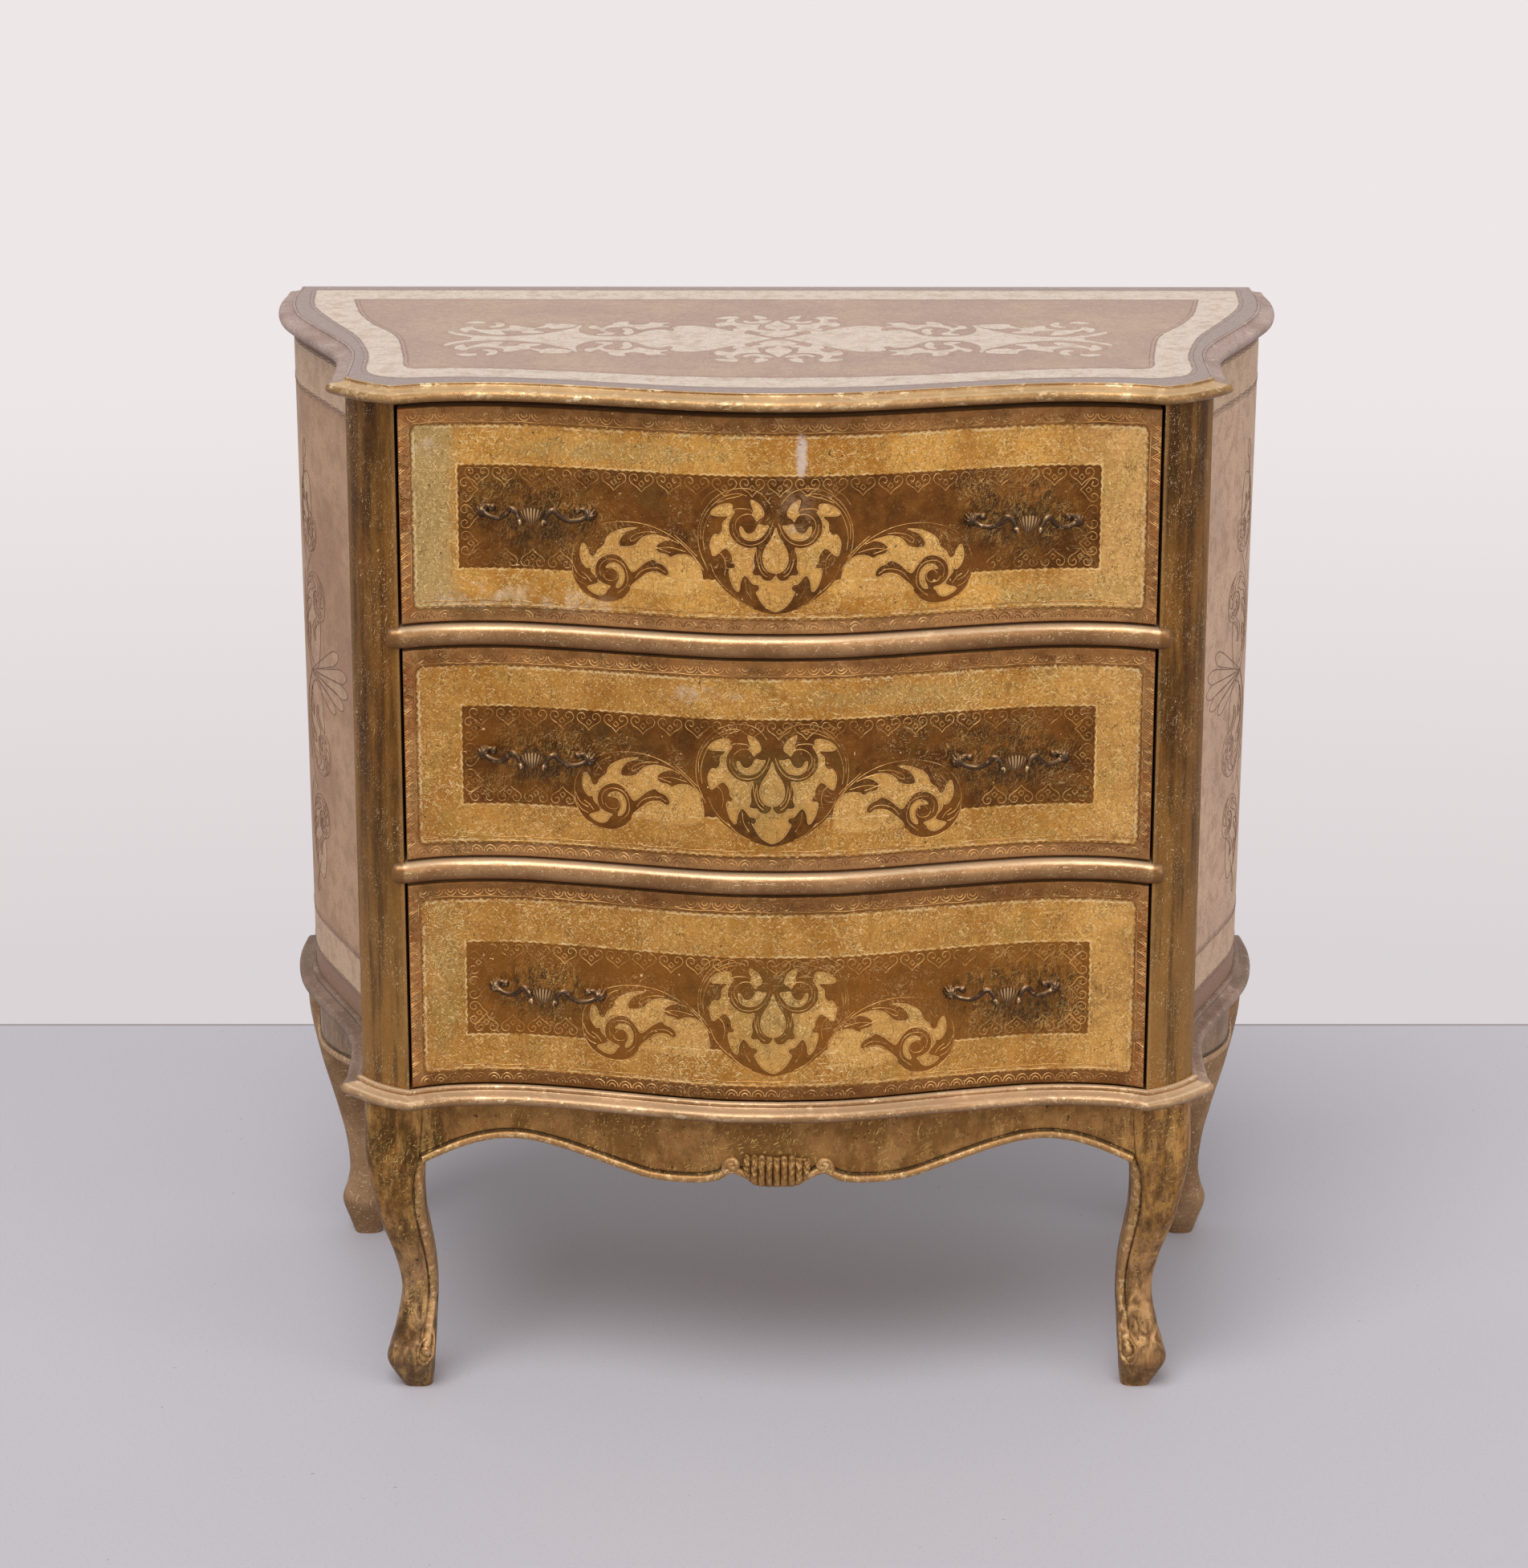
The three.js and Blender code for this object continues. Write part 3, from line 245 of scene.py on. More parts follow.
def close_up(piece):
    """Merges the seam, fills the ends and turns every face outwards."""
    with editing(piece):
        bpy.ops.mesh.remove_doubles(threshold=MERGE_REACH)
        bpy.ops.mesh.select_all(action="SELECT")
        bpy.ops.mesh.fill_holes(sides=0)
        bpy.ops.mesh.select_all(action="SELECT")
        bpy.ops.mesh.normals_make_consistent(inside=False)
    return piece


def loft(name, rings):
    """A closed piece through rings, each of which runs once round the piece."""
    rings = np.asarray(rings, float)
    return close_up(lay_grid(name, np.concatenate((rings, rings[:, :1]), axis=1)))


def copy_of(piece, name):
    twin = piece.copy()
    twin.data = piece.data.copy()
    twin.name = twin.data.name = name
    bpy.context.scene.collection.objects.link(twin)
    return twin


def mirror_of(piece, name):
    twin = copy_of(piece, name)
    move_spots(twin, spots_of(twin) * (-1, 1, 1))
    with editing(twin):
        bpy.ops.mesh.flip_normals()
    return twin


def fit(piece, body, node_names, smooth_angle=40):
    """Shades a piece, and says which body it rides and the nodes it stands for."""
    take(piece)
    bpy.ops.object.shade_smooth_by_angle(angle=math.radians(smooth_angle))
    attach(piece, body)
    if node_names:
        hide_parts(*node_names)
    made.append(piece)
    triangles = sum(len(face.vertices) - 2 for face in piece.data.polygons)
    print(piece.name, triangles, "triangles")


def fit_both_sides(piece, smooth_angle=40, stands_for_nodes=True):
    """Fits a piece of the right side and its mirror image on the left, which is handed back.

    A piece is named after the node that it stands for, with one more word for how it is made."""
    twin = mirror_of(piece, piece.name.replace("right", "left"))
    for half in (piece, twin):
        node = half.name.rpartition("_")[0]
        fit(half, CASE, [node] if stands_for_nodes else [], smooth_angle)
    return twin


def ball_of(radius, segments, rings):
    bpy.ops.object.select_all(action="DESELECT")
    bpy.ops.mesh.primitive_uv_sphere_add(segments=segments, ring_count=rings, radius=radius * MM)
    return bpy.context.object


def keep_number(piece, name, values):
    """Stores one number for each vertex, for a finish to read."""
    piece.data.attributes.new(name, "FLOAT", "POINT")
    piece.data.attributes[name].data.foreach_set("value", np.asarray(values, np.float32))


def away_from(spots, line):
    """How far each spot lies from the nearest point of a line, in millimetres."""
    nearest = np.full(len(spots), 1e6)
    for point in np.asarray(line, float):
        nearest = np.minimum(nearest, np.linalg.norm(spots - point, axis=1))
    return nearest


def curl(points, per_step=4, closed=False):
    """A smooth line through given points."""
    points = np.asarray(points, float)
    if closed:
        around = np.vstack((points[-1:], points, points[:2]))
    else:
        around = np.vstack((2 * points[0] - points[1], points, 2 * points[-1] - points[-2]))
    t = (np.arange(per_step) / per_step)[:, None]
    spans = []
    for a, b, c, d in zip(around, around[1:], around[2:], around[3:]):
        spans.append(0.5 * (2 * b + (c - a) * t + (2 * a - 5 * b + 4 * c - d) * t**2
                            + (3 * b - 3 * c + d - a) * t**3))
    line = np.vstack(spans)
    return line if closed else np.vstack((line, points[-1:]))


def round_cord(name, lines, radius, sides=2):
    """Thin round cords along lines of points, made as one curve and turned into a mesh."""
    data = bpy.data.curves.new(name, "CURVE")
    data.dimensions = "3D"
    data.bevel_depth = radius * MM
    data.bevel_resolution = sides
    data.use_fill_caps = True
    for line in lines:
        line = np.asarray(line, float)
        spline = data.splines.new("POLY")
        spline.points.add(len(line) - 1)
        spots = np.ones((len(line), 4))
        spots[:, :3] = line[:, :3] * MM
        spline.points.foreach_set("co", spots.ravel())
        if line.shape[1] > 3:
            spline.points.foreach_set("radius", line[:, 3].copy())
    piece = bpy.data.objects.new(name, data)
    bpy.context.scene.collection.objects.link(piece)
    take(piece)
    bpy.ops.object.convert(target="MESH")
    piece = bpy.context.object
    piece.name = piece.data.name = name
    return piece


def join(name, pieces):
    bpy.ops.object.select_all(action="DESELECT")
    for piece in pieces:
        piece.select_set(True)
    bpy.context.view_layer.objects.active = pieces[0]
    bpy.ops.object.join()
    whole = bpy.context.object
    whole.name = whole.data.name = name
    return whole


print("pieces are merged within", MERGE_REACH / MM, "mm")

# %% [markdown]
# ## Top board
# The top is one board with a flat painted face inside its edge moulding. Its outline is drawn between
# four curves: the straight back, the two swinging sides, and the front with its canted corners. A fine
# grid spans them, because its vertices also carry the painted ornament.

# %% Top board
TOP_CELLS_ACROSS, TOP_CELLS_DEEP = 330, 176
TOP_SETBACK = 2.3


def spanned(front, back, left, right):
    """A grid of points between four edge lines that meet at their ends."""
    u = np.linspace(0, 1, len(front))[None, :, None]
    v = np.linspace(0, 1, len(left))[:, None, None]
    edges = (1 - v) * front[None] + v * back[None] + (1 - u) * left[:, None] + u * right[:, None]
    corners = ((1 - u) * (1 - v) * front[0] + u * (1 - v) * front[-1]
               + (1 - u) * v * back[0] + u * v * back[-1])
    return edges - corners


def even_steps(line, count):
    """The same line cut into equal steps."""
    lengths = np.concatenate(((0,), np.cumsum(np.linalg.norm(np.diff(line, axis=0), axis=1))))
    at = np.linspace(0, lengths[-1], count + 1)
    return np.stack([np.interp(at, lengths, line[:, axis]) for axis in range(line.shape[1])], 1)


edge = outline - outward(outline) * TOP_SETBACK
top_front = even_steps(edge[left_corner:right_corner + 1], TOP_CELLS_ACROSS)
top_right = even_steps(edge[right_corner:], TOP_CELLS_DEEP)
top_left = even_steps(edge[:left_corner + 1][::-1], TOP_CELLS_DEEP)
top_back = np.linspace(top_left[-1], top_right[-1], TOP_CELLS_ACROSS + 1)
top_face = spanned(top_front, top_back, top_left, top_right)
top_face = np.concatenate((top_face, np.full(top_face.shape[:2] + (1,), TOP_Z)), axis=2)
top = lay_grid("top_painted", top_face)
with editing(top):
    bpy.ops.mesh.select_mode(type="VERT")
    bpy.ops.mesh.select_all(action="DESELECT")
    bpy.ops.mesh.select_non_manifold()
    bpy.ops.mesh.extrude_region_move(TRANSFORM_OT_translate={"value": (0, 0, (CASE_TOP_Z - TOP_Z) * MM)})
    bpy.ops.mesh.edge_face_add()
    bpy.ops.mesh.select_all(action="SELECT")
    bpy.ops.mesh.normals_make_consistent(inside=False)
fit(top, CASE, ["top_board"])

# %% [markdown]
# ## Edge mouldings
# A moulding is planed with a round bead below and a hollow above, and bent round the case in three
# strips that meet on the mitre at the front corners. The profile is swept along the case outline.

# %% Top and base mouldings
BEAD_RADIUS = 4.1
TOP_BEAD_REACH, BASE_BEAD_REACH = 11.46, 13.96
BASE_STRIP_HEIGHT = 13.4
SMALL_BEAD_RADIUS = 2.1
BEAD_TOP_ANGLE = math.pi * 0.42
HORN_REACH = 16
HORN_GROWTH = 0.2


def bead_arc(centre_out, centre_up, radius, from_angle, to_angle, count=14):
    angle = np.linspace(from_angle, to_angle, count + 1)
    return np.stack((centre_out + radius * np.cos(angle), centre_up + radius * np.sin(angle)), 1)


def lower_bead(reach, low_z):
    return bead_arc(reach - BEAD_RADIUS, low_z + BEAD_RADIUS, BEAD_RADIUS, -math.pi / 2, BEAD_TOP_ANGLE)


def hollow(low, high, count=9):
    angle = np.linspace(1.5 * math.pi, math.pi, count + 1)[1:-1]
    across = low[0] + (low[0] - high[0]) * np.cos(angle)
    up = high[1] + (high[1] - low[1]) * np.sin(angle)
    return np.stack((across, up), 1)


def top_profile():
    round_part = lower_bead(TOP_BEAD_REACH, CASE_TOP_Z)
    fillet = (0, TOP_Z - 1.2)
    ends = [(0, TOP_Z - 0.3), (-0.3, TOP_Z), (-2, TOP_Z)]
    return np.vstack(([(-2, CASE_TOP_Z)], round_part, hollow(round_part[-1], fillet), [fillet], ends))


def base_profile():
    strip_top = BASE_Z + BASE_STRIP_HEIGHT
    round_part = lower_bead(BASE_BEAD_REACH, BASE_Z)
    small = bead_arc(SMALL_BEAD_RADIUS, strip_top - SMALL_BEAD_RADIUS, SMALL_BEAD_RADIUS,
                     -math.pi / 4, math.pi / 2, 8)
    return np.vstack(([(JOINT_GAP, BASE_Z)], round_part, hollow(round_part[-1], small[0]), small,
                      [(JOINT_GAP, strip_top)]))


def moulding(name, profile, line, corners, start, end):
    out = outward(line)
    at = line[start:end + 1].copy()
    away = out[start:end + 1]
    growth = np.ones(len(at))
    steps = np.concatenate(((0,), np.cumsum(np.linalg.norm(np.diff(at, axis=0), axis=1))))
    for corner in corners:
        if start <= corner <= end:
            distance = np.abs(steps - steps[corner - start])
            growth += HORN_GROWTH * np.clip(1 - distance / HORN_REACH, 0, 1) ** 1.6
            nearest = 1 if corner == start else -2
            here = 0 if corner == start else -1
            toward = at[nearest] - at[here]
            at[here] = at[here] + toward / np.linalg.norm(toward) * JOINT_GAP / 2
    reach = np.where(profile[None, :, 0] > 0, profile[None, :, 0] * growth[:, None], profile[None, :, 0])
    rings = np.empty((len(at), len(profile), 3))
    rings[:, :, :2] = at[:, None] + away[:, None] * reach[:, :, None]
    rings[:, :, 2] = profile[None, :, 1]
    return loft(name, rings)


def add_mouldings(node, profile, line, corners):
    last = len(line) - 1
    spans = {"left": (0, corners[0]), "front": corners, "right": (corners[1], last)}
    for side, (start, end) in spans.items():
        strip = moulding(f"{node}_{side}_swept", profile, line, corners, start, end)
        slot = "gilt_wood" if side == "front" else "painted_case"
        fit(strip, CASE, [f"{node}_{side}"], 30)


add_mouldings("top_moulding", top_profile(), outline, (left_corner, right_corner))
base_line, base_left, base_right = case_outline(CASE_BACK_Y, BASE_HALF)
add_mouldings("base_moulding", base_profile(), base_line, (base_left, base_right))

# %% [markdown]
# ## Posts and sides
# Each front corner is a post with a canted, slightly rounded face. The side panels are bent boards,
# swept up with a small lean. Their grid is fine enough to carry the painted bands.

# %% Front posts
STAND_Z, HANG_Z = BOARD_TOP_Z + JOINT_GAP, CASE_TOP_Z - JOINT_GAP
POST_BACK_Y = POST_INNER_Y + 52
POST_WIDTH = 30
POST_ROWS = 60


def standing_rings(ring_at, rows):
    return [ring_at(z) for z in np.linspace(STAND_Z, HANG_Z, rows + 1)]


def post_ring(z):
    back_x = float(side_x(POST_BACK_Y, BASE_HALF))
    corners = [(back_x, POST_BACK_Y), (OPENING_HALF + POST_WIDTH, POST_BACK_Y), (OPENING_HALF, POST_BACK_Y)]
    plan = np.vstack((cant_line(20), corners))
    return np.column_stack((plan, np.full(len(plan), z)))


fit_both_sides(loft("front_post_right_cant", standing_rings(post_ring, POST_ROWS)), 30)

# %% Side panels
SIDE_CELLS_DEEP, SIDE_CELLS_HIGH = 108, 180
SIDE_THICKNESS = 10


def side_ring(z):
    outer = side_line(POST_BACK_Y + JOINT_GAP, CASE_BACK_Y, half_width_at(z), SIDE_CELLS_DEEP)
    inner = (outer - outward(outer) * SIDE_THICKNESS)[::-6]
    plan = np.vstack((outer, inner))
    return np.column_stack((plan, np.full(len(plan), z)))


side = loft("side_panel_right_bent", standing_rings(side_ring, SIDE_CELLS_HIGH))
other_side = fit_both_sides(side)

# %% [markdown]
# ## Drawer rails
# Between the drawers the rails end in a rounded nose, which runs out over the post at each side like a
# finger tip. The nose is a half round swept along the front curve, shrinking to nothing past the end.

# %% Drawer rails
RAIL_HALF_HEIGHT = 7.85
RAIL_BACK_Y = -109.75
RAIL_HALF = 278.2
STUB_REACH = 9.5
NOSE_PROUD = 6
NOSE_CELLS = 16
RAIL_MIDDLES = {"drawer_rail_lower": 421.9 + RAIL_HALF_HEIGHT, "drawer_rail_upper": 603.0 + RAIL_HALF_HEIGHT}


def cant_y(x):
    line = cant_line(40)
    return np.interp(np.abs(x), line[:, 0], line[:, 1])


def rail_ring(x, middle_z, back_y, shrink):
    angle = np.linspace(-math.pi / 2, math.pi / 2, NOSE_CELLS + 1)
    face = front_y(min(abs(x), RAIL_HALF))
    y = np.minimum(face - NOSE_PROUD * shrink * np.cos(angle), back_y - 0.02)
    z = middle_z + RAIL_HALF_HEIGHT * shrink * np.sin(angle)
    nose = np.stack((np.full(len(y), x), y, z), 1)
    back = [(x, back_y, z[-1]), (x, back_y, z[0])]
    return np.vstack((nose, back))


def rail_rings(middle_z):
    shares = np.sin(np.linspace(0, math.pi / 2, 9))
    stub = [(RAIL_HALF + STUB_REACH * s, max(1 - s**5, 0.0016) ** 0.4) for s in shares]
    rings = [rail_ring(-x, middle_z, cant_y(x) - JOINT_GAP, shrink) for x, shrink in reversed(stub)]
    for x in np.linspace(-RAIL_HALF, RAIL_HALF, 161):
        rings.append(rail_ring(x, middle_z, RAIL_BACK_Y, 1))
    rings += [rail_ring(x, middle_z, cant_y(x) - JOINT_GAP, shrink) for x, shrink in stub]
    return rings


for node, middle_z in RAIL_MIDDLES.items():
    fit(loft(f"{node}_nosed", rail_rings(middle_z)), CASE, [node], 35)

# %% [markdown]
# ## Legs
# A cabriole leg bows out at the knee, draws in to a slim ankle and ends in a small scrolled foot. It is
# sawn from a square block and rounded over, so its section is a soft square. A loft through many
# sections keeps that shape all the way down.

# %% Legs
LEG_TOP_Z = 244.5
LEG_HALF_WIDTH = 26
LEG_RING_POINTS = 104
LEG_SOFTNESS = 2 / 3
FRONT_LEG = {"x": 275.5, "y": -126.0, "sweep_x": 15.5, "sweep_y": 18}
REAR_LEG = {"x": 342.0, "y": 177.0, "sweep_x": 22.5, "sweep_y": 0}
FRONT_LEG_SHARES = [
    (0, 0.25, 0.43, 0.45), (0.045, 0.4, 0.58, 0.57), (0.1, 0.56, 0.71, 0.69), (0.136, 0.48, 0.69, 0.69),
    (0.205, 0.29, 0.61, 0.6), (0.33, 0.08, 0.54, 0.56), (0.44, 0.25, 0.6, 0.62), (0.56, 0.65, 0.7, 0.7),
    (0.625, 0.84, 0.73, 0.75), (0.755, 1.03, 0.84, 0.85), (0.82, 1, 0.94, 0.94), (1, 0.84, 1, 1.04),
]
REAR_LEG_SHARES = [
    (0, 0.02, 0.44, 0.46), (0.05, 0.07, 0.56, 0.56), (0.123, 0.18, 0.673, 0.66), (0.172, 0.09, 0.615, 0.62),
    (0.24, 0, 0.577, 0.58), (0.353, 0.04, 0.635, 0.62), (0.47, 0.27, 0.69, 0.66), (0.66, 0.71, 0.79, 0.75),
    (0.834, 1, 0.846, 0.82), (1, 0.96, 0.9, 0.88),
]


def leg_point(shares, place, height, angle, grow=0):
    """A point of a leg's surface, at a share of its height and an angle round it from the right."""
    sweep, width, depth = (share_at(shares, height, column) for column in (1, 2, 3))
    across, along = (np.sign(turn) * np.abs(turn) ** LEG_SOFTNESS for turn in (np.cos(angle), np.sin(angle)))
    x = place["x"] + place["sweep_x"] * sweep + (LEG_HALF_WIDTH * width + grow) * across
    y = place["y"] - place["sweep_y"] * sweep + (LEG_HALF_WIDTH * depth + grow) * along
    return np.stack(np.broadcast_arrays(x, y, LEG_TOP_Z * np.asarray(height, float)), -1)


def leg_rings(shares, place, relief=None):
    angles = np.linspace(0, 2 * math.pi, LEG_RING_POINTS, endpoint=False)
    heights = np.concatenate((np.linspace(0, 0.25, 34), np.linspace(0.25, 1, 60)[1:]))
    rings = []
    for height in heights:
        grow = relief(height, angles) if relief else 0
        rings.append(leg_point(shares, place, height, angles, grow))
    return rings


# The groove, the foot's ball and its curl lie at shares of the leg's height and degrees round the leg.
GROOVE_TURNS = [(0.1, -102), (0.16, -109), (0.3, -116), (0.5, -118), (0.7, -123), (0.8, -134), (0.88, -156)]
GROOVE_DEPTH, GROOVE_HALF_TURN = 1.5, 5
BEAD_RISE, BEAD_TURN, BEAD_HALF_TURN = 1.1, 21, 12
FOOT_BALL_TURN, FOOT_BALL_RADIUS = (0.136, -120), 4.3
FOOT_CURL_TURNS = [
    (0.26, -139), (0.205, -142), (0.165, -146), (0.128, -147), (0.104, -134), (0.096, -119), (0.108, -104),
    (0.138, -98), (0.166, -103), (0.176, -114),
]


def groove_relief(height, angles):
    """A bead down the inner corner of a front leg, with a groove in front of it."""
    turn = np.degrees(angles) - float(share_at(GROOVE_TURNS, height))
    from_groove = (turn + 180) % 360 - 180
    from_bead = (turn + BEAD_TURN + 180) % 360 - 180
    fade = np.clip((height - 0.12) / 0.03, 0, 1) * np.clip((0.9 - height) / 0.04, 0, 1)
    bead = BEAD_RISE * np.exp(-((from_bead / BEAD_HALF_TURN) ** 2))
    groove = GROOVE_DEPTH * np.exp(-((from_groove / GROOVE_HALF_TURN) ** 2))
    return fade * (bead - groove)


def leg_path(turns, grow=0.0):
    """A line on the front leg through places given as share of the height and degrees round it."""
    heights, angles = np.array(turns, float).T
    return np.array([leg_point(FRONT_LEG_SHARES, FRONT_LEG, height, math.radians(angle), grow)
                     for height, angle in zip(heights, angles)])


def beside_groove(low, high, turn):
    return [(share, float(share_at(GROOVE_TURNS, share)) - turn) for share in np.linspace(low, high, 90)]


def foot_scroll():
    """The small ball on the front of the foot, with the bead curling round it."""
    centre = leg_path([FOOT_BALL_TURN], -0.6)[0]
    ball = ball_of(FOOT_BALL_RADIUS, 28, 16)
    spots = spots_of(ball)
    lumpy = 1 + 0.05 * np.sin(spots[:, 0] * 1.3 + 1) * np.cos(spots[:, 2] * 1.1)
    move_spots(ball, spots * lumpy[:, None] * (1, 0.8, 1.05) + centre)
    round_it = curl(leg_path(FOOT_CURL_TURNS), 5)
    thick = np.interp(np.linspace(0, 1, len(round_it)), (0, 0.3, 1), (0.4, 2.1, 1.2))
    return [ball, round_cord("foot_curl", [np.column_stack((round_it, thick))], 1, 3)]


front_leg = loft("front_leg_right_carved", leg_rings(FRONT_LEG_SHARES, FRONT_LEG, groove_relief))
front_leg = join("front_leg_right_carved", [front_leg] + foot_scroll())
rear_leg = loft("rear_leg_right_carved", leg_rings(REAR_LEG_SHARES, REAR_LEG))
groove_line = leg_path(beside_groove(0.15, 0.87, 0), -GROOVE_DEPTH)
bead_line = leg_path(beside_groove(0.13, 0.88, BEAD_TURN))
spots = spots_of(front_leg)
keep_number(front_leg, "groove", np.clip(2.4 - away_from(spots, groove_line), 0, 2))
keep_number(front_leg, "bead", np.clip((6.5 - away_from(spots, bead_line)) / 3, 0, 1))
for leg in (front_leg, rear_leg):
    fit_both_sides(leg, 50)

# %% [markdown]
# ## Aprons
# Under the case the front and the sides end in a shaped apron, with a raised bead along its lower edge
# and a fine groove above the bead. Each section runs from the back of the board round the bead and up
# the face, and is laid square to the lower edge, so the bead keeps its width round every turn.

# %% Aprons
APRON_DROP = 56
APRON_SETBACK = 2
APRON_THICKNESS = 16
APRON_BEAD_HALF_HEIGHT, APRON_BEAD_PROUD = 3, 2.5
APRON_BEAD_TOP, APRON_GROOVE_HALF = 7, 2.4
KNEE_SINK, KNEE_START, KNEE_REACH = 1.6, 240, 30
FRONT_APRON_HALF, SIDE_APRON_GAP = 270, 6
FRONT_APRON_SHARES = [
    (0, 0.97), (0.06, 0.96), (0.095, 0.87), (0.127, 0.82), (0.157, 0.9), (0.2, 0.965), (0.27, 0.99),
    (0.33, 0.985), (0.375, 0.955), (0.435, 0.876), (0.497, 0.79), (0.56, 0.7), (0.62, 0.628),
    (0.683, 0.572), (0.745, 0.557), (0.806, 0.593), (0.87, 0.673), (0.933, 0.788), (1, 0.92),
]
SIDE_APRON_SHARES = [
    (0, 0.85), (0.12, 0.62), (0.3, 0.56), (0.45, 0.68), (0.62, 0.86), (0.8, 0.97), (0.92, 0.93), (1, 0.85),
]


def apron_section():
    """Steps up from the lower edge and out from the face, round the bead and over the groove."""
    angle = np.linspace(-math.pi / 2, math.pi / 2, 11)
    up = APRON_BEAD_HALF_HEIGHT * (1 + np.sin(angle))
    bead = np.stack((up, APRON_BEAD_PROUD * np.cos(angle)), 1)
    return np.vstack((bead, [(6.3, -0.7), (6.9, -0.9), (7.5, -0.5), (8, 0)]))


def apron_rings(along, lower_z, face_of):
    """Sections of an apron: face_of gives the plan place for a spot along it and a depth behind its face."""
    edge_line = np.stack((along, lower_z), 1)
    inward = -outward(edge_line, square_ends=False)
    inward[[0, -1]] = (0, 1)
    section = apron_section()
    face_rows = np.linspace(0, 1, 12)[1:]
    rings = []
    for spot, way in zip(edge_line, inward):
        way = way / max(np.linalg.norm(way), 1)
        ring = [np.append(face_of(spot[0], APRON_SETBACK + APRON_THICKNESS), spot[1])]
        for up, out in section:
            at = spot + way * up
            ring.append(np.append(face_of(at[0], APRON_SETBACK - out), at[1]))
        last_up = spot + way * section[-1, 0]
        for share in face_rows:
            at, z = last_up + ((spot[0], LEG_TOP_Z) - last_up) * share
            ring.append(np.append(face_of(at, APRON_SETBACK), z))
        ring.append(np.append(face_of(spot[0], APRON_SETBACK + APRON_THICKNESS), LEG_TOP_Z))
        rings.append(ring)
    return np.array(rings)


def front_face(x, depth):
    """The front apron's face sinks a little at its ends, to run smoothly into the knees of the legs."""
    sink = KNEE_SINK * min(max((abs(x) - KNEE_START) / KNEE_REACH, 0), 1) ** 2
    return np.array((x, float(front_y(x)) + depth + sink))


def side_face(y, depth):
    return np.array((float(side_x(y, BASE_HALF)) - depth, y))


def mark_bead(piece, axis, along, lower_z):
    """Says for each vertex of an apron whether it lies on the bead, or in the groove above it."""
    up = away_from(spots_of(piece)[:, [axis, 2]], np.stack((along, lower_z), 1))
    keep_number(piece, "bead", np.clip(APRON_BEAD_TOP - up, 0, 1))
    keep_number(piece, "groove", np.clip(APRON_GROOVE_HALF - np.abs(up - APRON_BEAD_TOP), 0, 2))


front_along = np.linspace(-FRONT_APRON_HALF, FRONT_APRON_HALF, 401)
front_low = BASE_Z - APRON_DROP * share_at(FRONT_APRON_SHARES, np.abs(front_along) / FRONT_LEG["x"])
apron = loft("apron_front_carved", apron_rings(front_along, front_low, front_face))
mark_bead(apron, 0, front_along, front_low)
fit(apron, CASE, ["apron_front"], 35)

front_knee_y, rear_knee_y = FRONT_LEG["y"], REAR_LEG["y"]
side_along = np.linspace(front_knee_y + SIDE_APRON_GAP, rear_knee_y - SIDE_APRON_GAP, 161)
side_share = (side_along - front_knee_y) / (rear_knee_y - front_knee_y)
side_low = BASE_Z - APRON_DROP * share_at(SIDE_APRON_SHARES, side_share)
side_apron = loft("apron_side_right_carved", apron_rings(side_along, side_low, side_face))
mark_bead(side_apron, 1, side_along, side_low)
fit_both_sides(side_apron, 35)

# %% [markdown]
# ## Shell
# A small shell is carved in the middle of the front apron: upright flutes with a ragged straight head and
# a round foot. At each side of it the bead of the apron turns up into a small curl. The shell is a grid
# whose height follows the flutes, and each flute is cut a little higher or lower than the next.

# %% Apron shell
SHELL_HALF_WIDTH = 25.5
SHELL_LOW_Z = 189.4
SHELL_HEIGHT = 26
SHELL_RIBS = 9
SHELL_LEFT_SHIFT = 1
SHELL_RELIEF = 3.4
rib_uneven = np.random.default_rng(5).uniform(-2, 2, (2, SHELL_RIBS + 1))


def rib_height(across):
    return abs(math.cos(across * math.pi * SHELL_RIBS / 2)) ** 0.8


def shell_rings():
    rows = []
    for across in np.linspace(-1, 1, 181):
        x = SHELL_HALF_WIDTH * across - SHELL_LEFT_SHIFT
        rib = rib_height(across)
        flute = int((across + 1) / 2 * SHELL_RIBS)
        edge = abs(across)
        high = SHELL_LOW_Z + SHELL_HEIGHT - 1.4 * edge**2 - 1.8 * (1 - rib) + rib_uneven[0, flute] * rib
        low = SHELL_LOW_Z + 0.6 * (1 - rib) + 12 * edge**5
        base = float(front_y(x)) + 0.2
        row = [(x, base, low)]
        for up in np.linspace(0, 1, 23):
            swell = math.sin(math.pi * up) ** 0.4
            scoop = 1.5 * math.exp(-(((up - 0.82) / 0.08) ** 2)) * rib
            height = (SHELL_RELIEF + 0.3 * rib_uneven[1, flute]) * swell
            out = 0.3 + height * (0.2 + 0.8 * rib) * (1 - 0.45 * edge**3) - scoop
            tool_marks = math.sin(x * 1.9 + up * 17) + math.sin(x * 0.8 - up * 29)
            out += 0.45 * swell * tool_marks * (0.4 + edge)
            row.append((x, base - max(out, 0.2), low + (high - low) * up))
        row.append((x, base, high))
        rows.append(row)
    return rows


shell = loft("apron_shell_carved", shell_rings())
across = (spots_of(shell)[:, 0] + SHELL_LEFT_SHIFT) / SHELL_HALF_WIDTH
keep_number(shell, "groove", [max(0, 1.9 - 3.6 * rib_height(value)) for value in across])
keep_number(shell, "bead", [rib_height(value) * 0.35 for value in across])
fit(shell, CASE, ["apron_shell"], 60)

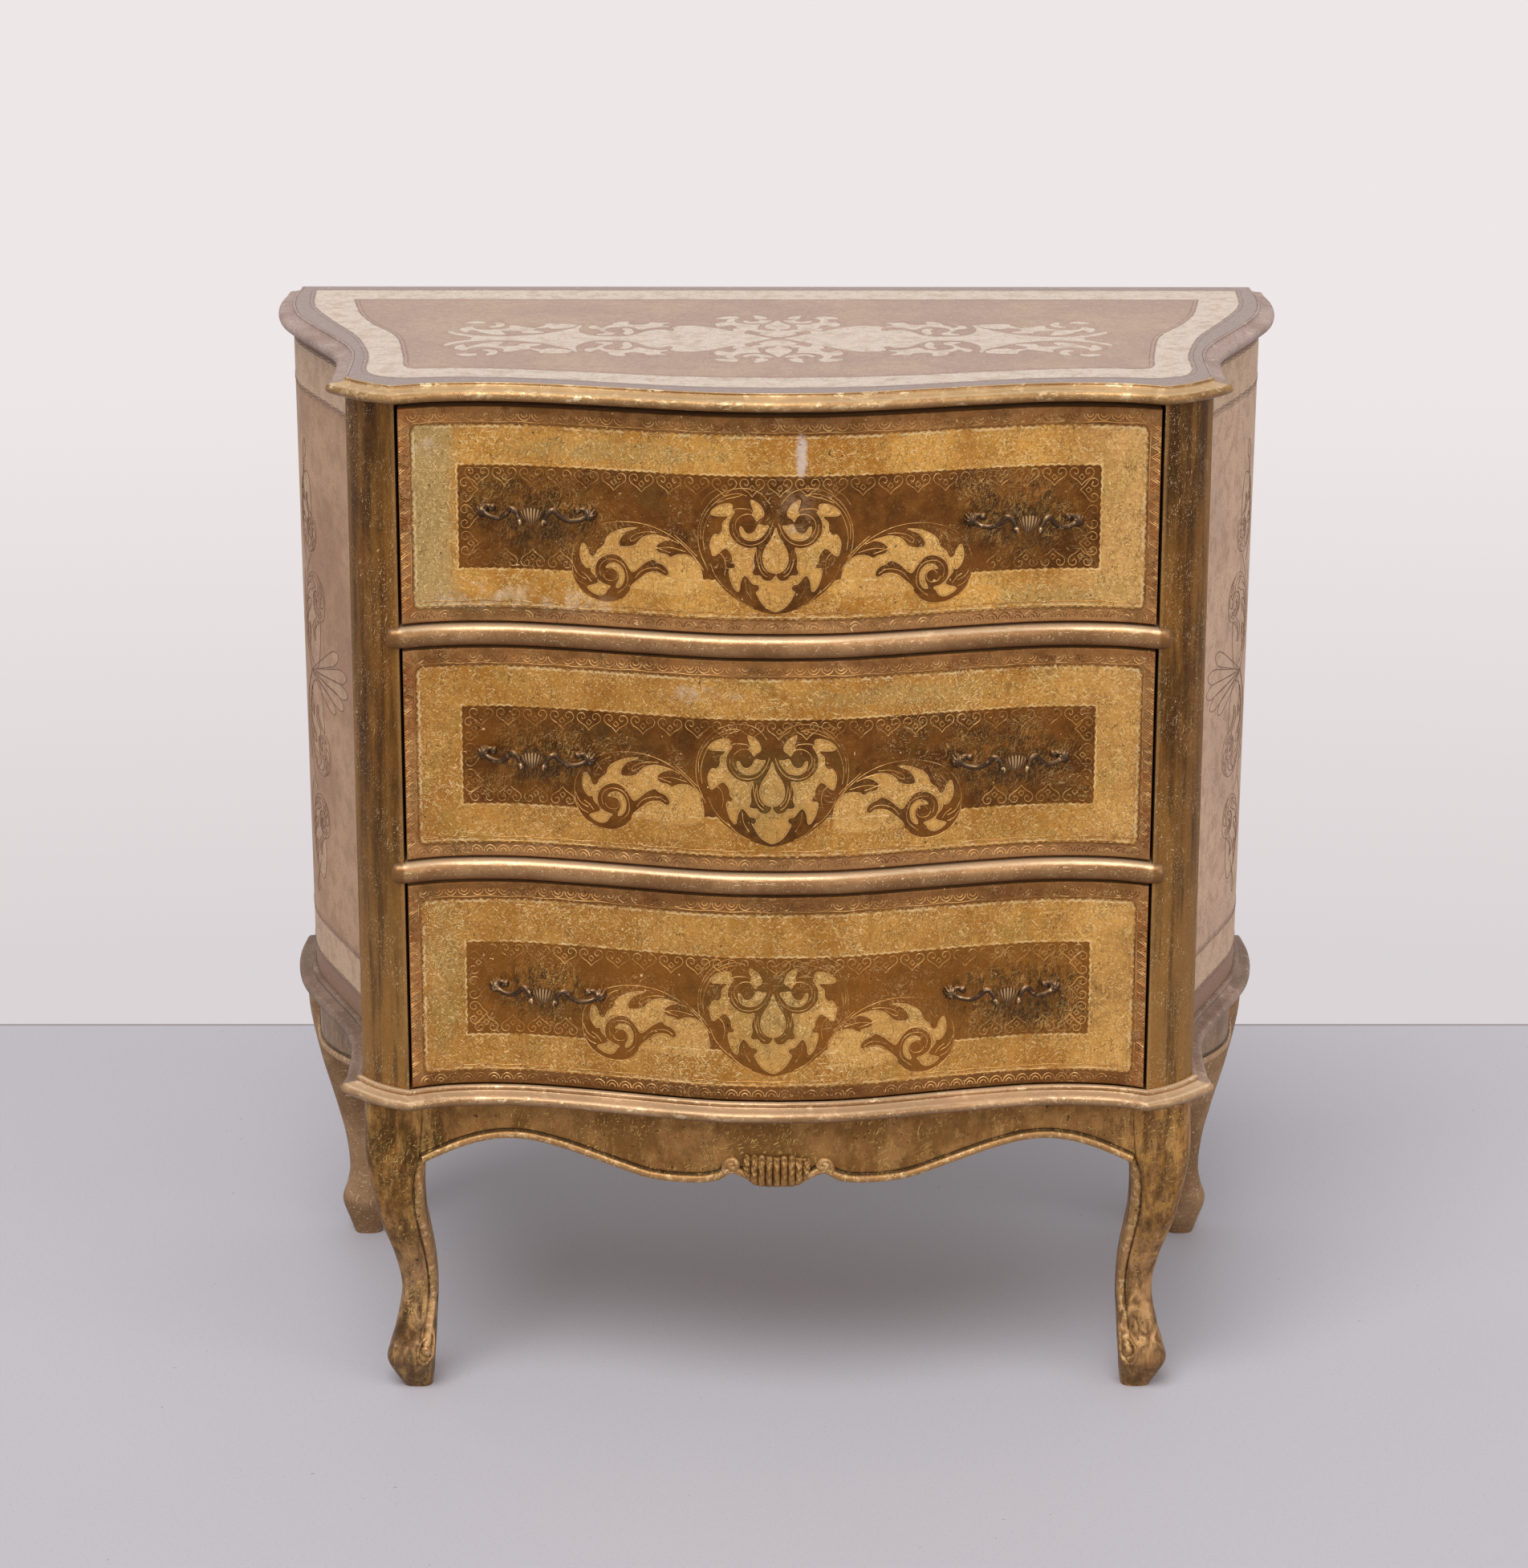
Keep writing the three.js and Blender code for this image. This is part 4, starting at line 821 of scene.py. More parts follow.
CURL_PLACES = [
    (-56, 192.6), (-50, 193.2), (-44.5, 195.4), (-41, 199.2), (-40.5, 204.5), (-38, 209), (-33.6, 210),
    (-31, 207), (-32, 204), (-34.6, 203.6), (-36.4, 205.4), (-35.6, 207.4), (-34, 206.4),
]
curl_line = curl(CURL_PLACES, 5)
curl_line = np.column_stack((curl_line[:, 0], front_y(curl_line[:, 0]) + 1.4, curl_line[:, 1]))
thick = np.interp(np.linspace(0, 1, len(curl_line)), (0, 0.35, 0.8, 1), (0.8, 2.4, 3, 2.6))
curls = [np.column_stack((curl_line, thick))]
curls.append(curls[0] * (-1, 1, 1, 1))
bead_curls = round_cord("apron_bead_curls", curls, 1, 4)
keep_number(bead_curls, "bead", np.full(len(bead_curls.data.vertices), 0.8))
fit(bead_curls, CASE, [], 60)

# %% [markdown]
# ## Drawer fronts
# Each front is a thick curved board with slightly eased edges. Its face is a fine grid, because the
# painted and gilded ornament is stored on its vertices as distances to drawn outlines.

# %% Drawer fronts
FRONT_HEIGHT = 161
FRONT_THICKNESS = 20
EASED = 1.5
FRONT_CELLS_ACROSS, FRONT_CELLS_HIGH = 424, 124
DRAWERS = {"upper": 620.9, "middle": 439.8, "lower": 258.7}


def eased_section():
    arc = np.linspace(0, math.pi / 2, 5)
    low = np.stack((EASED - EASED * np.sin(arc), EASED - EASED * np.cos(arc)), 1)
    face = np.linspace(EASED, FRONT_HEIGHT - EASED, FRONT_CELLS_HIGH + 1)[1:-1]
    middle = np.stack((np.zeros(len(face)), face), 1)
    high = (low * (1, -1) + (0, FRONT_HEIGHT))[::-1]
    return np.vstack(([(FRONT_THICKNESS, 0)], low, middle, high, [(FRONT_THICKNESS, FRONT_HEIGHT)]))


def front_board(name, low_z):
    section = eased_section()
    flat_half = DRAWER_HALF - EASED
    inner = np.linspace(-flat_half, flat_half, FRONT_CELLS_ACROSS + 1)
    eased = flat_half + EASED * np.sin(np.linspace(0, math.pi / 2, 5))[1:]
    columns = np.concatenate((-eased[::-1], inner, eased))
    over = np.clip(np.abs(columns) - flat_half, 0, EASED)
    setback = EASED - np.sqrt(EASED**2 - over**2)
    depth = np.maximum(section[None, :, 0], setback[:, None])
    rings = np.empty(depth.shape + (3,))
    rings[..., 0] = columns[:, None]
    rings[..., 1] = front_y(columns)[:, None] + depth
    rings[..., 2] = low_z + section[None, :, 1]
    return loft(name, rings)


fronts = {level: front_board(f"drawer_{level}_front_board", low_z) for level, low_z in DRAWERS.items()}
for level, board in fronts.items():
    fit(board, f"drawer_{level}", [f"drawer_{level}_front"], 40)

# %% [markdown]
# ## Drawn ornament
# The leaf scrolls are painted flat, so no relief carries them. Each leaf is an outline of a few dozen
# points, smoothed into a curve, and every vertex of the board stores how far inside the nearest outline
# it lies. A finish turns that distance into a crisp edge, which an image texture would otherwise give.

# %% Distances to drawn outlines
FAR = 8.0


def signed_distance(outline_points, across, up):
    """How far inside a closed outline each spot lies, in millimetres; outside it is negative."""
    ring = np.asarray(outline_points, float)
    result = np.full(across.shape, -FAR)
    low, high = ring.min(0) - FAR, ring.max(0) + FAR
    near = np.flatnonzero((across > low[0]) & (across < high[0]) & (up > low[1]) & (up < high[1]))
    x, y = across[near], up[near]
    nearest = np.full(len(near), FAR**2)
    inside = np.zeros(len(near), bool)
    for (ax, ay), (bx, by) in zip(ring, np.roll(ring, -1, axis=0)):
        run_x, run_y = bx - ax, by - ay
        length = run_x * run_x + run_y * run_y
        if length < 1e-9:
            continue
        t = np.clip(((x - ax) * run_x + (y - ay) * run_y) / length, 0, 1)
        nearest = np.minimum(nearest, (x - ax - t * run_x) ** 2 + (y - ay - t * run_y) ** 2)
        if ay != by:
            crosses = ((ay > y) != (by > y)) & (x < run_x * (y - ay) / run_y + ax)
            inside ^= crosses
    distance = np.sqrt(nearest)
    result[near] = np.where(inside, distance, -distance)
    return result


def deepest(outlines, across, up):
    """The union of several outlines: how far inside the nearest of them each spot lies."""
    best = np.full(across.shape, -FAR)
    for ring in outlines:
        best = np.maximum(best, signed_distance(ring, across, up))
    return best


def moved(points, right=0.0, up=0.0):
    return np.asarray(points, float) + (right, up)


def reflected(points, axis=0.0):
    """The same outline on the other side of an upright axis."""
    return np.asarray(points, float) * (-1, 1) + (2 * axis, 0)


print("distances reach", FAR, "mm")

# %% [markdown]
# ## Ornament of the drawer fronts
# Each front has a heart of acanthus leaves in the middle and a leaf scroll at each side, gold on the
# dark brown panel and outlined in brown where they run over the gold band. The same drawing serves all
# three drawers, moved a little on each, as a stencil is when it is laid by hand.

# %% Leaf outlines, in millimetres from the middle of the front and up from its lower edge
HEART_AXIS = -3
HEART_DIP, HEART_FOOT = 80, 17
HEART_UPPER = [
    (-50, 90), (-46.5, 94), (-41, 96.6), (-35.5, 97), (-34, 95), (-34.5, 92.5), (-32.5, 91.2), (-34, 89),
    (-36.5, 84), (-37, 79), (-36, 74), (-32.5, 69), (-27.5, 65.6), (-21, 64), (-17, 64.8), (-18.3, 60),
    (-19, 55), (-18.5, 50), (-20, 46), (-18, 43.8), (-14.2, 43.8), (-12.5, 41.3), (-9.5, 40), (-6.5, 40.2),
    (-4, 42.5), (-3.1, 45.6), (-6, 46.3), (-9.3, 48.5), (-11.8, 53), (-12.2, 58), (-10.6, 64), (-7, 70),
    (-4.6, 75),
]
HEART_LOWER = [
    (-6, 18), (-10, 20.5), (-13.5, 24.5), (-16.3, 29.5), (-17, 31.5), (-15, 33), (-14.5, 35.2), (-16, 37.3),
    (-18, 37.3), (-20, 38.5), (-22.5, 42), (-25, 44.2), (-27.2, 42), (-28.6, 38), (-29, 33.5), (-30.5, 31.8),
    (-33.5, 35.5), (-35.6, 41), (-36.6, 46), (-36, 49), (-33, 49), (-31.8, 51.2), (-34, 54), (-34.3, 58),
    (-36.2, 61.5), (-38.8, 64), (-42, 62.5), (-45, 59.5), (-48.2, 58), (-49.6, 62), (-50.3, 67), (-49, 71.5),
    (-46.8, 74.3), (-44.5, 73.6), (-42, 75.8), (-41.2, 79), (-41, 83), (-37, 87), (-38.5, 88), (-43, 87.8),
    (-47.5, 88),
]
CRESCENT = [
    (-29, 80), (-28, 74), (-24, 70.5), (-19, 70), (-14, 72), (-10, 77), (-8, 81), (-11, 81), (-15, 82),
    (-16.5, 80), (-18, 77), (-21, 75), (-24.5, 75.5), (-26.5, 78.5), (-27.5, 80),
]
FLAME = [
    (-21, 100), (-18, 99), (-14, 96), (-11.5, 91), (-12, 88), (-15, 86), (-16.5, 84), (-18, 87), (-20, 89),
    (-19, 92), (-20, 95),
]
HEART_GROUND = [
    (-57, 48), (-55, 50), (-50, 44.6), (-45, 38.6), (-40, 33), (-34, 28), (-27, 23), (-19, 19), (-10, 16),
    (-3, 14.6),
]
HEART_LINE = [
    (-52, 47), (-58, 62), (-59, 76), (-56, 88), (-49, 99), (-38, 106.5), (-25, 108.5), (-14, 105), (-7, 97),
]
SCROLL_LEAF = [
    (-57, 30), (-57, 48.5), (-60.5, 53.5), (-65, 57), (-70, 58), (-75, 57.2), (-79, 55.2), (-82, 57.2),
    (-87, 58), (-90, 61), (-88.8, 64), (-84, 67.3), (-78.5, 68.6), (-85, 70.4), (-90, 71.4), (-95, 70.6),
    (-99, 69), (-102, 66), (-104, 63.5), (-108, 61.6), (-113, 61), (-116.2, 61.5), (-116.4, 65),
    (-115.2, 68.5), (-112, 72), (-103, 75.8), (-112, 74.8), (-118, 72.6), (-123, 69.6), (-126, 66.2),
    (-127, 62.3), (-129.5, 59.3), (-132.4, 57.2), (-133.6, 54), (-136, 52), (-138.6, 54), (-139.6, 58),
    (-143, 62), (-145, 57), (-144.8, 50.5), (-142.8, 46), (-139.8, 43.4), (-137.6, 44.8), (-137, 41),
    (-134, 37.2), (-131.8, 33.2), (-134.5, 31.4), (-140, 29.4), (-138, 26.6), (-134.5, 24.4),
    (-130.5, 23.6), (-127, 25.2), (-125.2, 28.4), (-123, 30.6), (-127, 31.8), (-130.6, 33.8), (-133.2, 37),
    (-134.4, 42), (-132.8, 48.4), (-128.4, 52.8), (-122.4, 55), (-117, 54), (-112.8, 50.4), (-110, 46.4),
    (-107, 42.6), (-103, 45.2), (-99, 49), (-95, 51.6), (-91, 53), (-88.6, 50.8), (-84.4, 49.2),
    (-81, 45.8), (-80.4, 42), (-83, 41), (-87.5, 43.2), (-92.5, 43.4), (-97, 41.8), (-101.2, 38.2),
    (-105.4, 34.6), (-108, 31), (-107, 30), (-80, 26),
]
SCROLL_EYE = [
    (-126.4, 44.4), (-124, 47.4), (-119.6, 48.4), (-115.6, 46.4), (-113, 41.6), (-113.2, 35.6),
    (-115.4, 31.4), (-118.6, 29.8), (-118.6, 32.4), (-116.8, 36), (-116.8, 40.4), (-118.8, 43.4), (-122, 45),
]
SCROLL_GROUND = [
    (-152, 45), (-150.5, 37), (-147.5, 30), (-142.5, 24.5), (-135.5, 20.4), (-128, 19), (-120, 19.4),
    (-114, 22.4), (-109.4, 27.4), (-107.6, 33), (-105, 34.6), (-101, 38.2), (-97, 41.8), (-97, 45),
]
SCROLL_LINE = [
    (-55, 47), (-60, 54), (-65, 60), (-72, 66.5), (-80, 72), (-90, 76.5), (-100, 79), (-110, 79.7),
    (-120, 79), (-130, 76.5), (-138, 72.5), (-145, 66), (-149, 59), (-151, 52), (-151, 45), (-150, 37),
    (-147, 30), (-142, 24.5), (-135, 20.5), (-128, 19), (-120, 19.5), (-114, 22.5), (-110, 27),
]
HEART_VEINS = [
    [(-57, 70), (-57, 80), (-53, 90), (-46, 98), (-38, 103), (-30, 104.5), (-24, 103)],
    [(-54.5, 62), (-55.5, 72), (-53.5, 82), (-50, 90)],
    [(-45, 97.5), (-38, 100.5), (-32, 102), (-27, 103.5)],
    [(-50, 52), (-47, 44), (-41, 36), (-34, 30)], [(-36, 33), (-32, 28), (-26, 23), (-19, 19.5)],
    [(-34, 92), (-30, 93.5), (-22, 93), (-20, 91)], [(-17, 63), (-16.5, 56), (-15, 50), (-12, 45), (-9, 43)],
    [(-14.5, 62), (-14, 56), (-12.5, 50), (-9, 46)],
    [(-34, 82), (-33.5, 75), (-28, 68), (-20, 66.5), (-13, 69), (-8, 75), (-5, 83)],
    [(-15, 60), (-15.6, 54), (-14, 48)], [(-46, 62), (-41, 58), (-39, 51), (-40, 44)],
    [(-25, 41), (-24, 33), (-20, 26)],
    [(-16, 86), (-20, 89), (-26, 89), (-31, 85), (-32, 79), (-29, 73)], [(-57, 96), (-52, 103), (-44, 108)],
]
SCROLL_VEINS = [
    [(-142, 63.5), (-139, 68), (-135, 72)], [(-137, 65), (-133, 70), (-127, 74)],
    [(-135, 63), (-132, 69), (-128, 73), (-124, 75)],
    [(-99, 70.5), (-103, 68), (-107, 65.5), (-108.5, 67), (-105, 70.5), (-97, 73), (-89, 73)],
    [(-117, 62), (-115.5, 67), (-112, 71)], [(-88, 70.5), (-81, 69), (-73, 66)],
    [(-90, 61), (-82, 62.5), (-76, 62), (-68, 60)],
    [(-92, 63), (-84, 60), (-79, 58.6)], [(-150.5, 46), (-148, 40), (-145, 37), (-141, 35)],
    [(-149.5, 38), (-146, 33), (-141, 30.5)],
    [(-133, 49), (-130, 53.5), (-124, 55.5), (-117, 54.5), (-111, 50.5)],
    [(-130, 38), (-131, 44), (-128, 49), (-123, 51), (-117, 50), (-112.5, 46), (-110.5, 39), (-111, 33),
     (-114, 29), (-119, 25)],
    [(-126, 41), (-123, 44), (-119, 43), (-118, 38), (-121, 35), (-126, 35.5), (-128.5, 39)],
    [(-105, 38), (-101, 43), (-95, 46), (-88, 46.5), (-83, 43.5)],
    [(-100, 39.5), (-96, 41.5), (-90, 43.5), (-85, 42)],
    [(-144, 40), (-140, 37), (-137, 33)], [(-76, 72), (-68, 65), (-60, 57)],
]
SCROLL_AXIS = -5.5


def heart_outline():
    right_upper, right_lower = (reflected(half, HEART_AXIS)[::-1] for half in (HEART_UPPER, HEART_LOWER))
    return np.vstack((HEART_UPPER, [(HEART_AXIS, HEART_DIP)], right_upper,
                      right_lower, [(HEART_AXIS, HEART_FOOT)], HEART_LOWER))


heart = curl(heart_outline(), closed=True)
heart_ground = np.vstack((HEART_GROUND, reflected(HEART_GROUND, HEART_AXIS)[::-1]))
small_leaves = [curl(leaf, closed=True) for leaf in (CRESCENT, FLAME)]
small_leaves += [reflected(leaf, HEART_AXIS) for leaf in small_leaves]
scroll = [curl(leaf, closed=True) for leaf in (SCROLL_LEAF, SCROLL_EYE)]
scroll_drawing = [curl(line, 3) for line in [SCROLL_LINE] + SCROLL_VEINS]
print("heart of", len(heart), "points, scroll of", len(scroll[0]))

# %% Where the drawing lies on each drawer, and the numbers that each front carries
# heart, left scroll, right scroll: to the right and up
DRAWING_PLACES = {
    "upper": ((0, 0), (0, 0), (0, 0)),
    "middle": ((-2, 4.5), (0, 7), (-5, 2)),
    "lower": ((-1, 5), (4, 6), (-8, -2)),
}
PANEL_LEVELS = {"upper": (40.3, 117.3), "middle": (41.2, 116.2), "lower": (40.3, 113.3)}
PANEL_HALF = 234
BAND_HALF = 267
BAND_LEVELS = (10.8, 147.6)
BAND_CORNER_RADIUS = 5
WAVE_PITCH, WAVE_DEPTH = 5.6, 0.4


def drawing_on(level):
    """The gold leaves, the brown ground under them and the light lines of one drawer."""
    centre, left, right = DRAWING_PLACES[level]

    def at_both_ends(rings):
        mirror_images = [moved(reflected(ring, SCROLL_AXIS), *right) for ring in rings]
        return [moved(ring, *left) for ring in rings] + mirror_images

    heart_lines = [curl(line, 3) for line in [HEART_LINE] + HEART_VEINS]
    heart_lines += [reflected(line, HEART_AXIS) for line in heart_lines]
    leaves = [moved(ring, *centre) for ring in [heart] + small_leaves] + at_both_ends(scroll)
    grounds = [moved(heart_ground, *centre)] + at_both_ends([SCROLL_GROUND])
    lines = [moved(line, *centre) for line in heart_lines] + at_both_ends(scroll_drawing)
    return leaves, grounds, lines


def wavy(along):
    return WAVE_DEPTH * np.sin(2 * math.pi * along / WAVE_PITCH)


def rounded(from_side, from_end):
    """How far inside a rectangle with rounded corners a spot lies, from its depths inside the edges."""
    radius = BAND_CORNER_RADIUS
    in_corner = (from_side < radius) & (from_end < radius)
    round_corner = radius - np.hypot(radius - from_side, radius - from_end)
    return np.where(in_corner, round_corner, np.minimum(from_side, from_end))


for level, board in fronts.items():
    spots = spots_of(board)
    across, rise = spots[:, 0], spots[:, 2] - DRAWERS[level]
    leaves, grounds, lines = drawing_on(level)
    low, high = PANEL_LEVELS[level]
    panel = np.minimum(PANEL_HALF - np.abs(across) + wavy(rise), rise - low + wavy(across))
    panel = np.minimum(panel, high - rise + wavy(across))
    from_ends = np.minimum(rise - BAND_LEVELS[0], BAND_LEVELS[1] - rise) + wavy(across)
    band = rounded(BAND_HALF - np.abs(across) + wavy(rise), from_ends)
    keep_number(board, "leaf", deepest(leaves, across, rise))
    keep_number(board, "ground", deepest(grounds, across, rise))
    keep_number(board, "panel", np.clip(panel, -FAR, FAR))
    keep_number(board, "band", np.clip(band, -FAR, FAR))
    keep_number(board, "rise", rise)
    print(level, "front carries its ornament")

# %% [markdown]
# ## Tooled lines of the fronts
# The border of the dark panel is tooled: a punch is rolled round it that leaves a row of pointed
# hearts, and the outlines of the leaves are scratched through to the light ground. Thin cords that lie
# half sunk in the face give lines finer than the face's own grid.

# %% Tooled lines
HALF_MOTIF = [
    (0, 14), (-3, 10.5), (-7.5, 7.5), (-8.8, 4), (-6.8, 1.2), (-3.8, 1.4), (-2.6, 4), (-4.2, 5.8),
    (-5.6, 4.4),
]
HALF_DIAMOND = [(0, 10), (-2, 8), (0, 5.6)]
MOTIF_PITCH = 20
LOW_MOTIFS_FROM = 155
LINE_RADIUS, PUNCHED_RADIUS = 0.3, 0.42


def motif_lines():
    half = curl(HALF_MOTIF, 2)
    return [half, reflected(half), np.array(HALF_DIAMOND, float), reflected(HALF_DIAMOND)]


def placed_motif(x, up, turn):
    """One motif whose point looks inward: turn is 0 on the lower edge, in quarter turns."""
    angle = turn * math.pi / 2
    spin = np.array(((math.cos(angle), math.sin(angle)), (-math.sin(angle), math.cos(angle))))
    return [line @ spin + (x, up) for line in motif_lines()]


def border_lines(level):
    low, high = PANEL_LEVELS[level]
    lines = []
    count = int(2 * PANEL_HALF // MOTIF_PITCH)
    start = -(count - 1) * MOTIF_PITCH / 2
    for i in range(count):
        x = start + i * MOTIF_PITCH
        lines += placed_motif(x, high - 1, 2)
        if abs(x) > LOW_MOTIFS_FROM:
            lines += placed_motif(x, low + 1, 0)
    for step in (-1, 0, 1):
        up = (low + high) / 2 + step * MOTIF_PITCH
        lines += placed_motif(PANEL_HALF - 1, up, 1)
        lines += placed_motif(-PANEL_HALF + 1, up, 3)
    return lines


SCALLOP = [(-4.5, 0), (-3.8, 2.8), (-1.6, 4.6), (0, 5), (1.6, 4.6), (3.8, 2.8), (4.5, 0)]
SCALLOP_PITCH, SCALLOP_HALF_SPAN = 10, 265
SCALLOP_LEVELS = (3.5, 155.5)
ZIGZAG = [(0, -4), (-3.4, -1.6), (-6.4, 0), (-3.4, 1.6), (0, 4)]
ZIGZAG_PITCH, ZIGZAG_X = 8, 275.5
ZIGZAG_LEVELS = (13, 150)


def rim_lines():
    """A row of small punched scallops round the outer border, and the lines that bound the band."""
    arch, zigzag = np.array(SCALLOP), np.array(ZIGZAG)
    low, high = SCALLOP_LEVELS
    lines = []
    for x in np.arange(-SCALLOP_HALF_SPAN, SCALLOP_HALF_SPAN + 1, SCALLOP_PITCH):
        for size in (1, 0.5):
            lines += [arch * (size, -size) + (x, high), arch * size + (x, low)]
    for up in np.arange(*ZIGZAG_LEVELS, ZIGZAG_PITCH):
        for end in (-1, 1):
            lines += [zigzag * (end * size, size) + (end * ZIGZAG_X, up) for size in (1, 0.55)]
    return lines


def hand_wobble(along):
    return 0.35 * np.sin(along * 1.9)


def bound_lines():
    """The scratched lines along the edges of the gold band."""
    low, high = BAND_LEVELS
    x = np.linspace(-BAND_HALF + 2, BAND_HALF - 2, 180)
    up = np.linspace(low + 2, high - 2, 40)
    levels = (np.full(len(x), low + 1.3), high + 1.8 + hand_wobble(x), low + 4.6 + hand_wobble(x))
    ends = (BAND_HALF + 1.6 + hand_wobble(up), -BAND_HALF - 1.6 + hand_wobble(up))
    return [np.stack((x, level), 1) for level in levels] + [np.stack((end, up), 1) for end in ends]


def on_front(line, low_z):
    line = np.asarray(line, float)
    return np.stack((line[:, 0], front_y(line[:, 0]), low_z + line[:, 1]), 1)


for level, low_z in DRAWERS.items():
    cords = {
        "tooled_border": (border_lines(level), LINE_RADIUS),
        "leaf_lines": (drawing_on(level)[2] + bound_lines(), LINE_RADIUS),
        "punched_rim": (rim_lines(), PUNCHED_RADIUS),
    }
    for kind, (lines, radius) in cords.items():
        cord = round_cord(f"drawer_{level}_{kind}", [on_front(line, low_z) for line in lines], radius, 0)
        fit(cord, f"drawer_{level}", [])

# %% [markdown]
# ## Ornament of the top
# The top has a broad cream band inside its edge and, in the middle, the same heart doubled about a
# horizontal line with long leaf scrolls at both sides, all in cream on a mauve ground.

# %% Leaf outlines of the top, right and back quarter, in millimetres
TOP_AXIS_Y, TOP_HEART_DROP = 2, -9
FLARE = [
    (5, 2), (12, 8), (25, 20), (38, 32), (48, 42), (57, 48), (65, 51), (74, 50), (78, 47), (80, 44), (79, 40),
    (78, 36), (80, 31), (83, 30), (86, 34), (90, 35), (95, 34), (99, 30), (103, 24), (108, 16), (114, 11),
    (120, 9), (127, 8.5), (133, 9), (139, 11), (144, 14), (148, 19), (151, 26), (152.5, 33), (152.5, 42),
    (150.5, 50), (151, 54), (152, 50), (155, 42), (160, 37), (165, 31), (171, 25), (178, 19), (186, 15),
    (194, 11.5), (203, 9), (212, 8.5), (222, 10), (230, 12.5), (238, 17), (245, 23), (250, 30), (250, 24),
    (246, 18), (240, 13), (234, 9), (228, 6), (232, 4),
]
TOP_LEAVES = [
    [(83, 64), (90, 62), (97, 63.5), (99, 58), (103, 55), (110, 54), (114, 56), (116, 60), (114.5, 66),
     (118, 67), (124, 63), (126, 58), (126, 54), (129, 51), (132, 46), (133.5, 42), (137, 44), (139, 48),
     (140, 52), (143, 50), (144.5, 45), (143, 41), (139, 38.5), (136, 38), (135, 33), (132, 28),
     (130.5, 24), (134, 20), (137.5, 18), (136, 15.5), (131, 15.5), (127, 17.5), (125, 20), (126, 24),
     (130, 28), (132.5, 33), (132, 38), (129.5, 43), (125, 46), (119, 47.5), (113, 46.5), (108.5, 43.5),
     (106, 38), (103, 38), (100, 41), (96, 44), (92, 45.5), (88, 48), (86, 47), (83, 46), (85, 50),
     (88.5, 52), (89, 57), (87, 60)],
    [(117, 41), (113, 39), (111.5, 35), (110.5, 30), (111, 24), (113, 18), (114.5, 16), (116, 20), (117, 24),
     (115.5, 28), (116, 33), (118, 38)],
    [(155, 52), (156, 55), (162, 57), (170, 58), (177, 57.5), (178, 52), (181, 47), (184, 43), (186, 40),
     (188, 42), (193, 45), (198, 48), (203, 52), (205, 50), (204, 46), (206, 41), (210, 38), (216, 35.5),
     (222, 34), (227, 35), (231, 38), (233, 42), (234, 47), (236, 47), (238, 44), (241, 42), (242, 36),
     (240, 30), (237.5, 26), (236, 29), (235.5, 33), (234, 37), (231, 34), (228, 29), (222, 22), (217, 18),
     (212, 16), (208, 17), (209, 22), (211, 27), (211.5, 31), (207, 32), (199, 32), (195, 30), (194, 25),
     (192, 23), (186, 22.5), (180, 23.5), (179, 26), (183, 30), (187, 32), (187, 37), (184, 41.5),
     (180, 42), (177, 45), (174, 43), (172, 40), (167, 41), (161, 43), (157, 47)],
    [(216, 65), (212, 61), (210, 55), (211, 50), (214, 46), (218, 44.5), (221, 46), (219, 48), (216, 51),
     (215, 56), (217, 62)],
    [(225, 60), (226, 65), (231, 68), (236, 66), (240, 61), (237, 60.5), (233, 60), (229, 61)],
]
BAND_OUTER = [
    (0, -177), (50, -174.5), (100, -165), (150, -151), (200, -141), (250, -140), (278, -142), (301, -123),
    (305, -60), (319, 9), (341, 66), (362, 130), (367, 196),
]
BAND_INNER = [
    (0, -142), (50, -139.5), (100, -132), (150, -120), (200, -111), (240, -107), (272, -107), (279, -60),
    (289, 9), (311, 59), (324, 101), (333, 158),
]


def turned_over(points):
    """The same outline on the other side of the top's middle line."""
    return np.asarray(points, float) * (1, -1) + (0, 2 * TOP_AXIS_Y)


def four_ways(outlines):
    right = outlines + [turned_over(ring) for ring in outlines]
    return right + [reflected(ring) for ring in right]


def closed_band(half):
    line = curl(half)
    return np.vstack((reflected(line)[::-1], line[1:]))


top_middle = [moved(ring, -HEART_AXIS, TOP_HEART_DROP) for ring in [heart] + small_leaves]
top_middle += [turned_over(ring) for ring in top_middle]
upper_flare = curl(FLARE)
flare = np.vstack((upper_flare, turned_over(upper_flare)[::-1]))
top_leaves = four_ways([curl(leaf, closed=True) for leaf in TOP_LEAVES])
spots = spots_of(top)
on_face = spots[:, 2] > TOP_Z - 0.5
across, deep = spots[:, 0], spots[:, 1]
cream = deepest(top_middle + [flare, reflected(flare)] + top_leaves, across, deep)
in_outer, in_inner = (signed_distance(closed_band(line), across, deep) for line in (BAND_OUTER, BAND_INNER))
keep_number(top, "leaf", np.where(on_face, cream, -FAR))
keep_number(top, "band", np.where(on_face, np.minimum(in_outer, -in_inner), -FAR))
keep_number(top, "margin", np.where(on_face, -in_outer, FAR))
print("top carries", len(top_middle) + len(top_leaves) + 2, "leaves")

# %% [markdown]
# ## Ornament of the sides
# Each side has a cream band near its head and its foot, and up its middle a chain of engraved leaf
# scrolls with a small fan between them. They are the scrolls of the fronts, turned upright.

# %% Bands and scrolls of the sides, in millimetres back from the case's middle and up
SIDE_BANDS = ((277, 308), (743, 778))
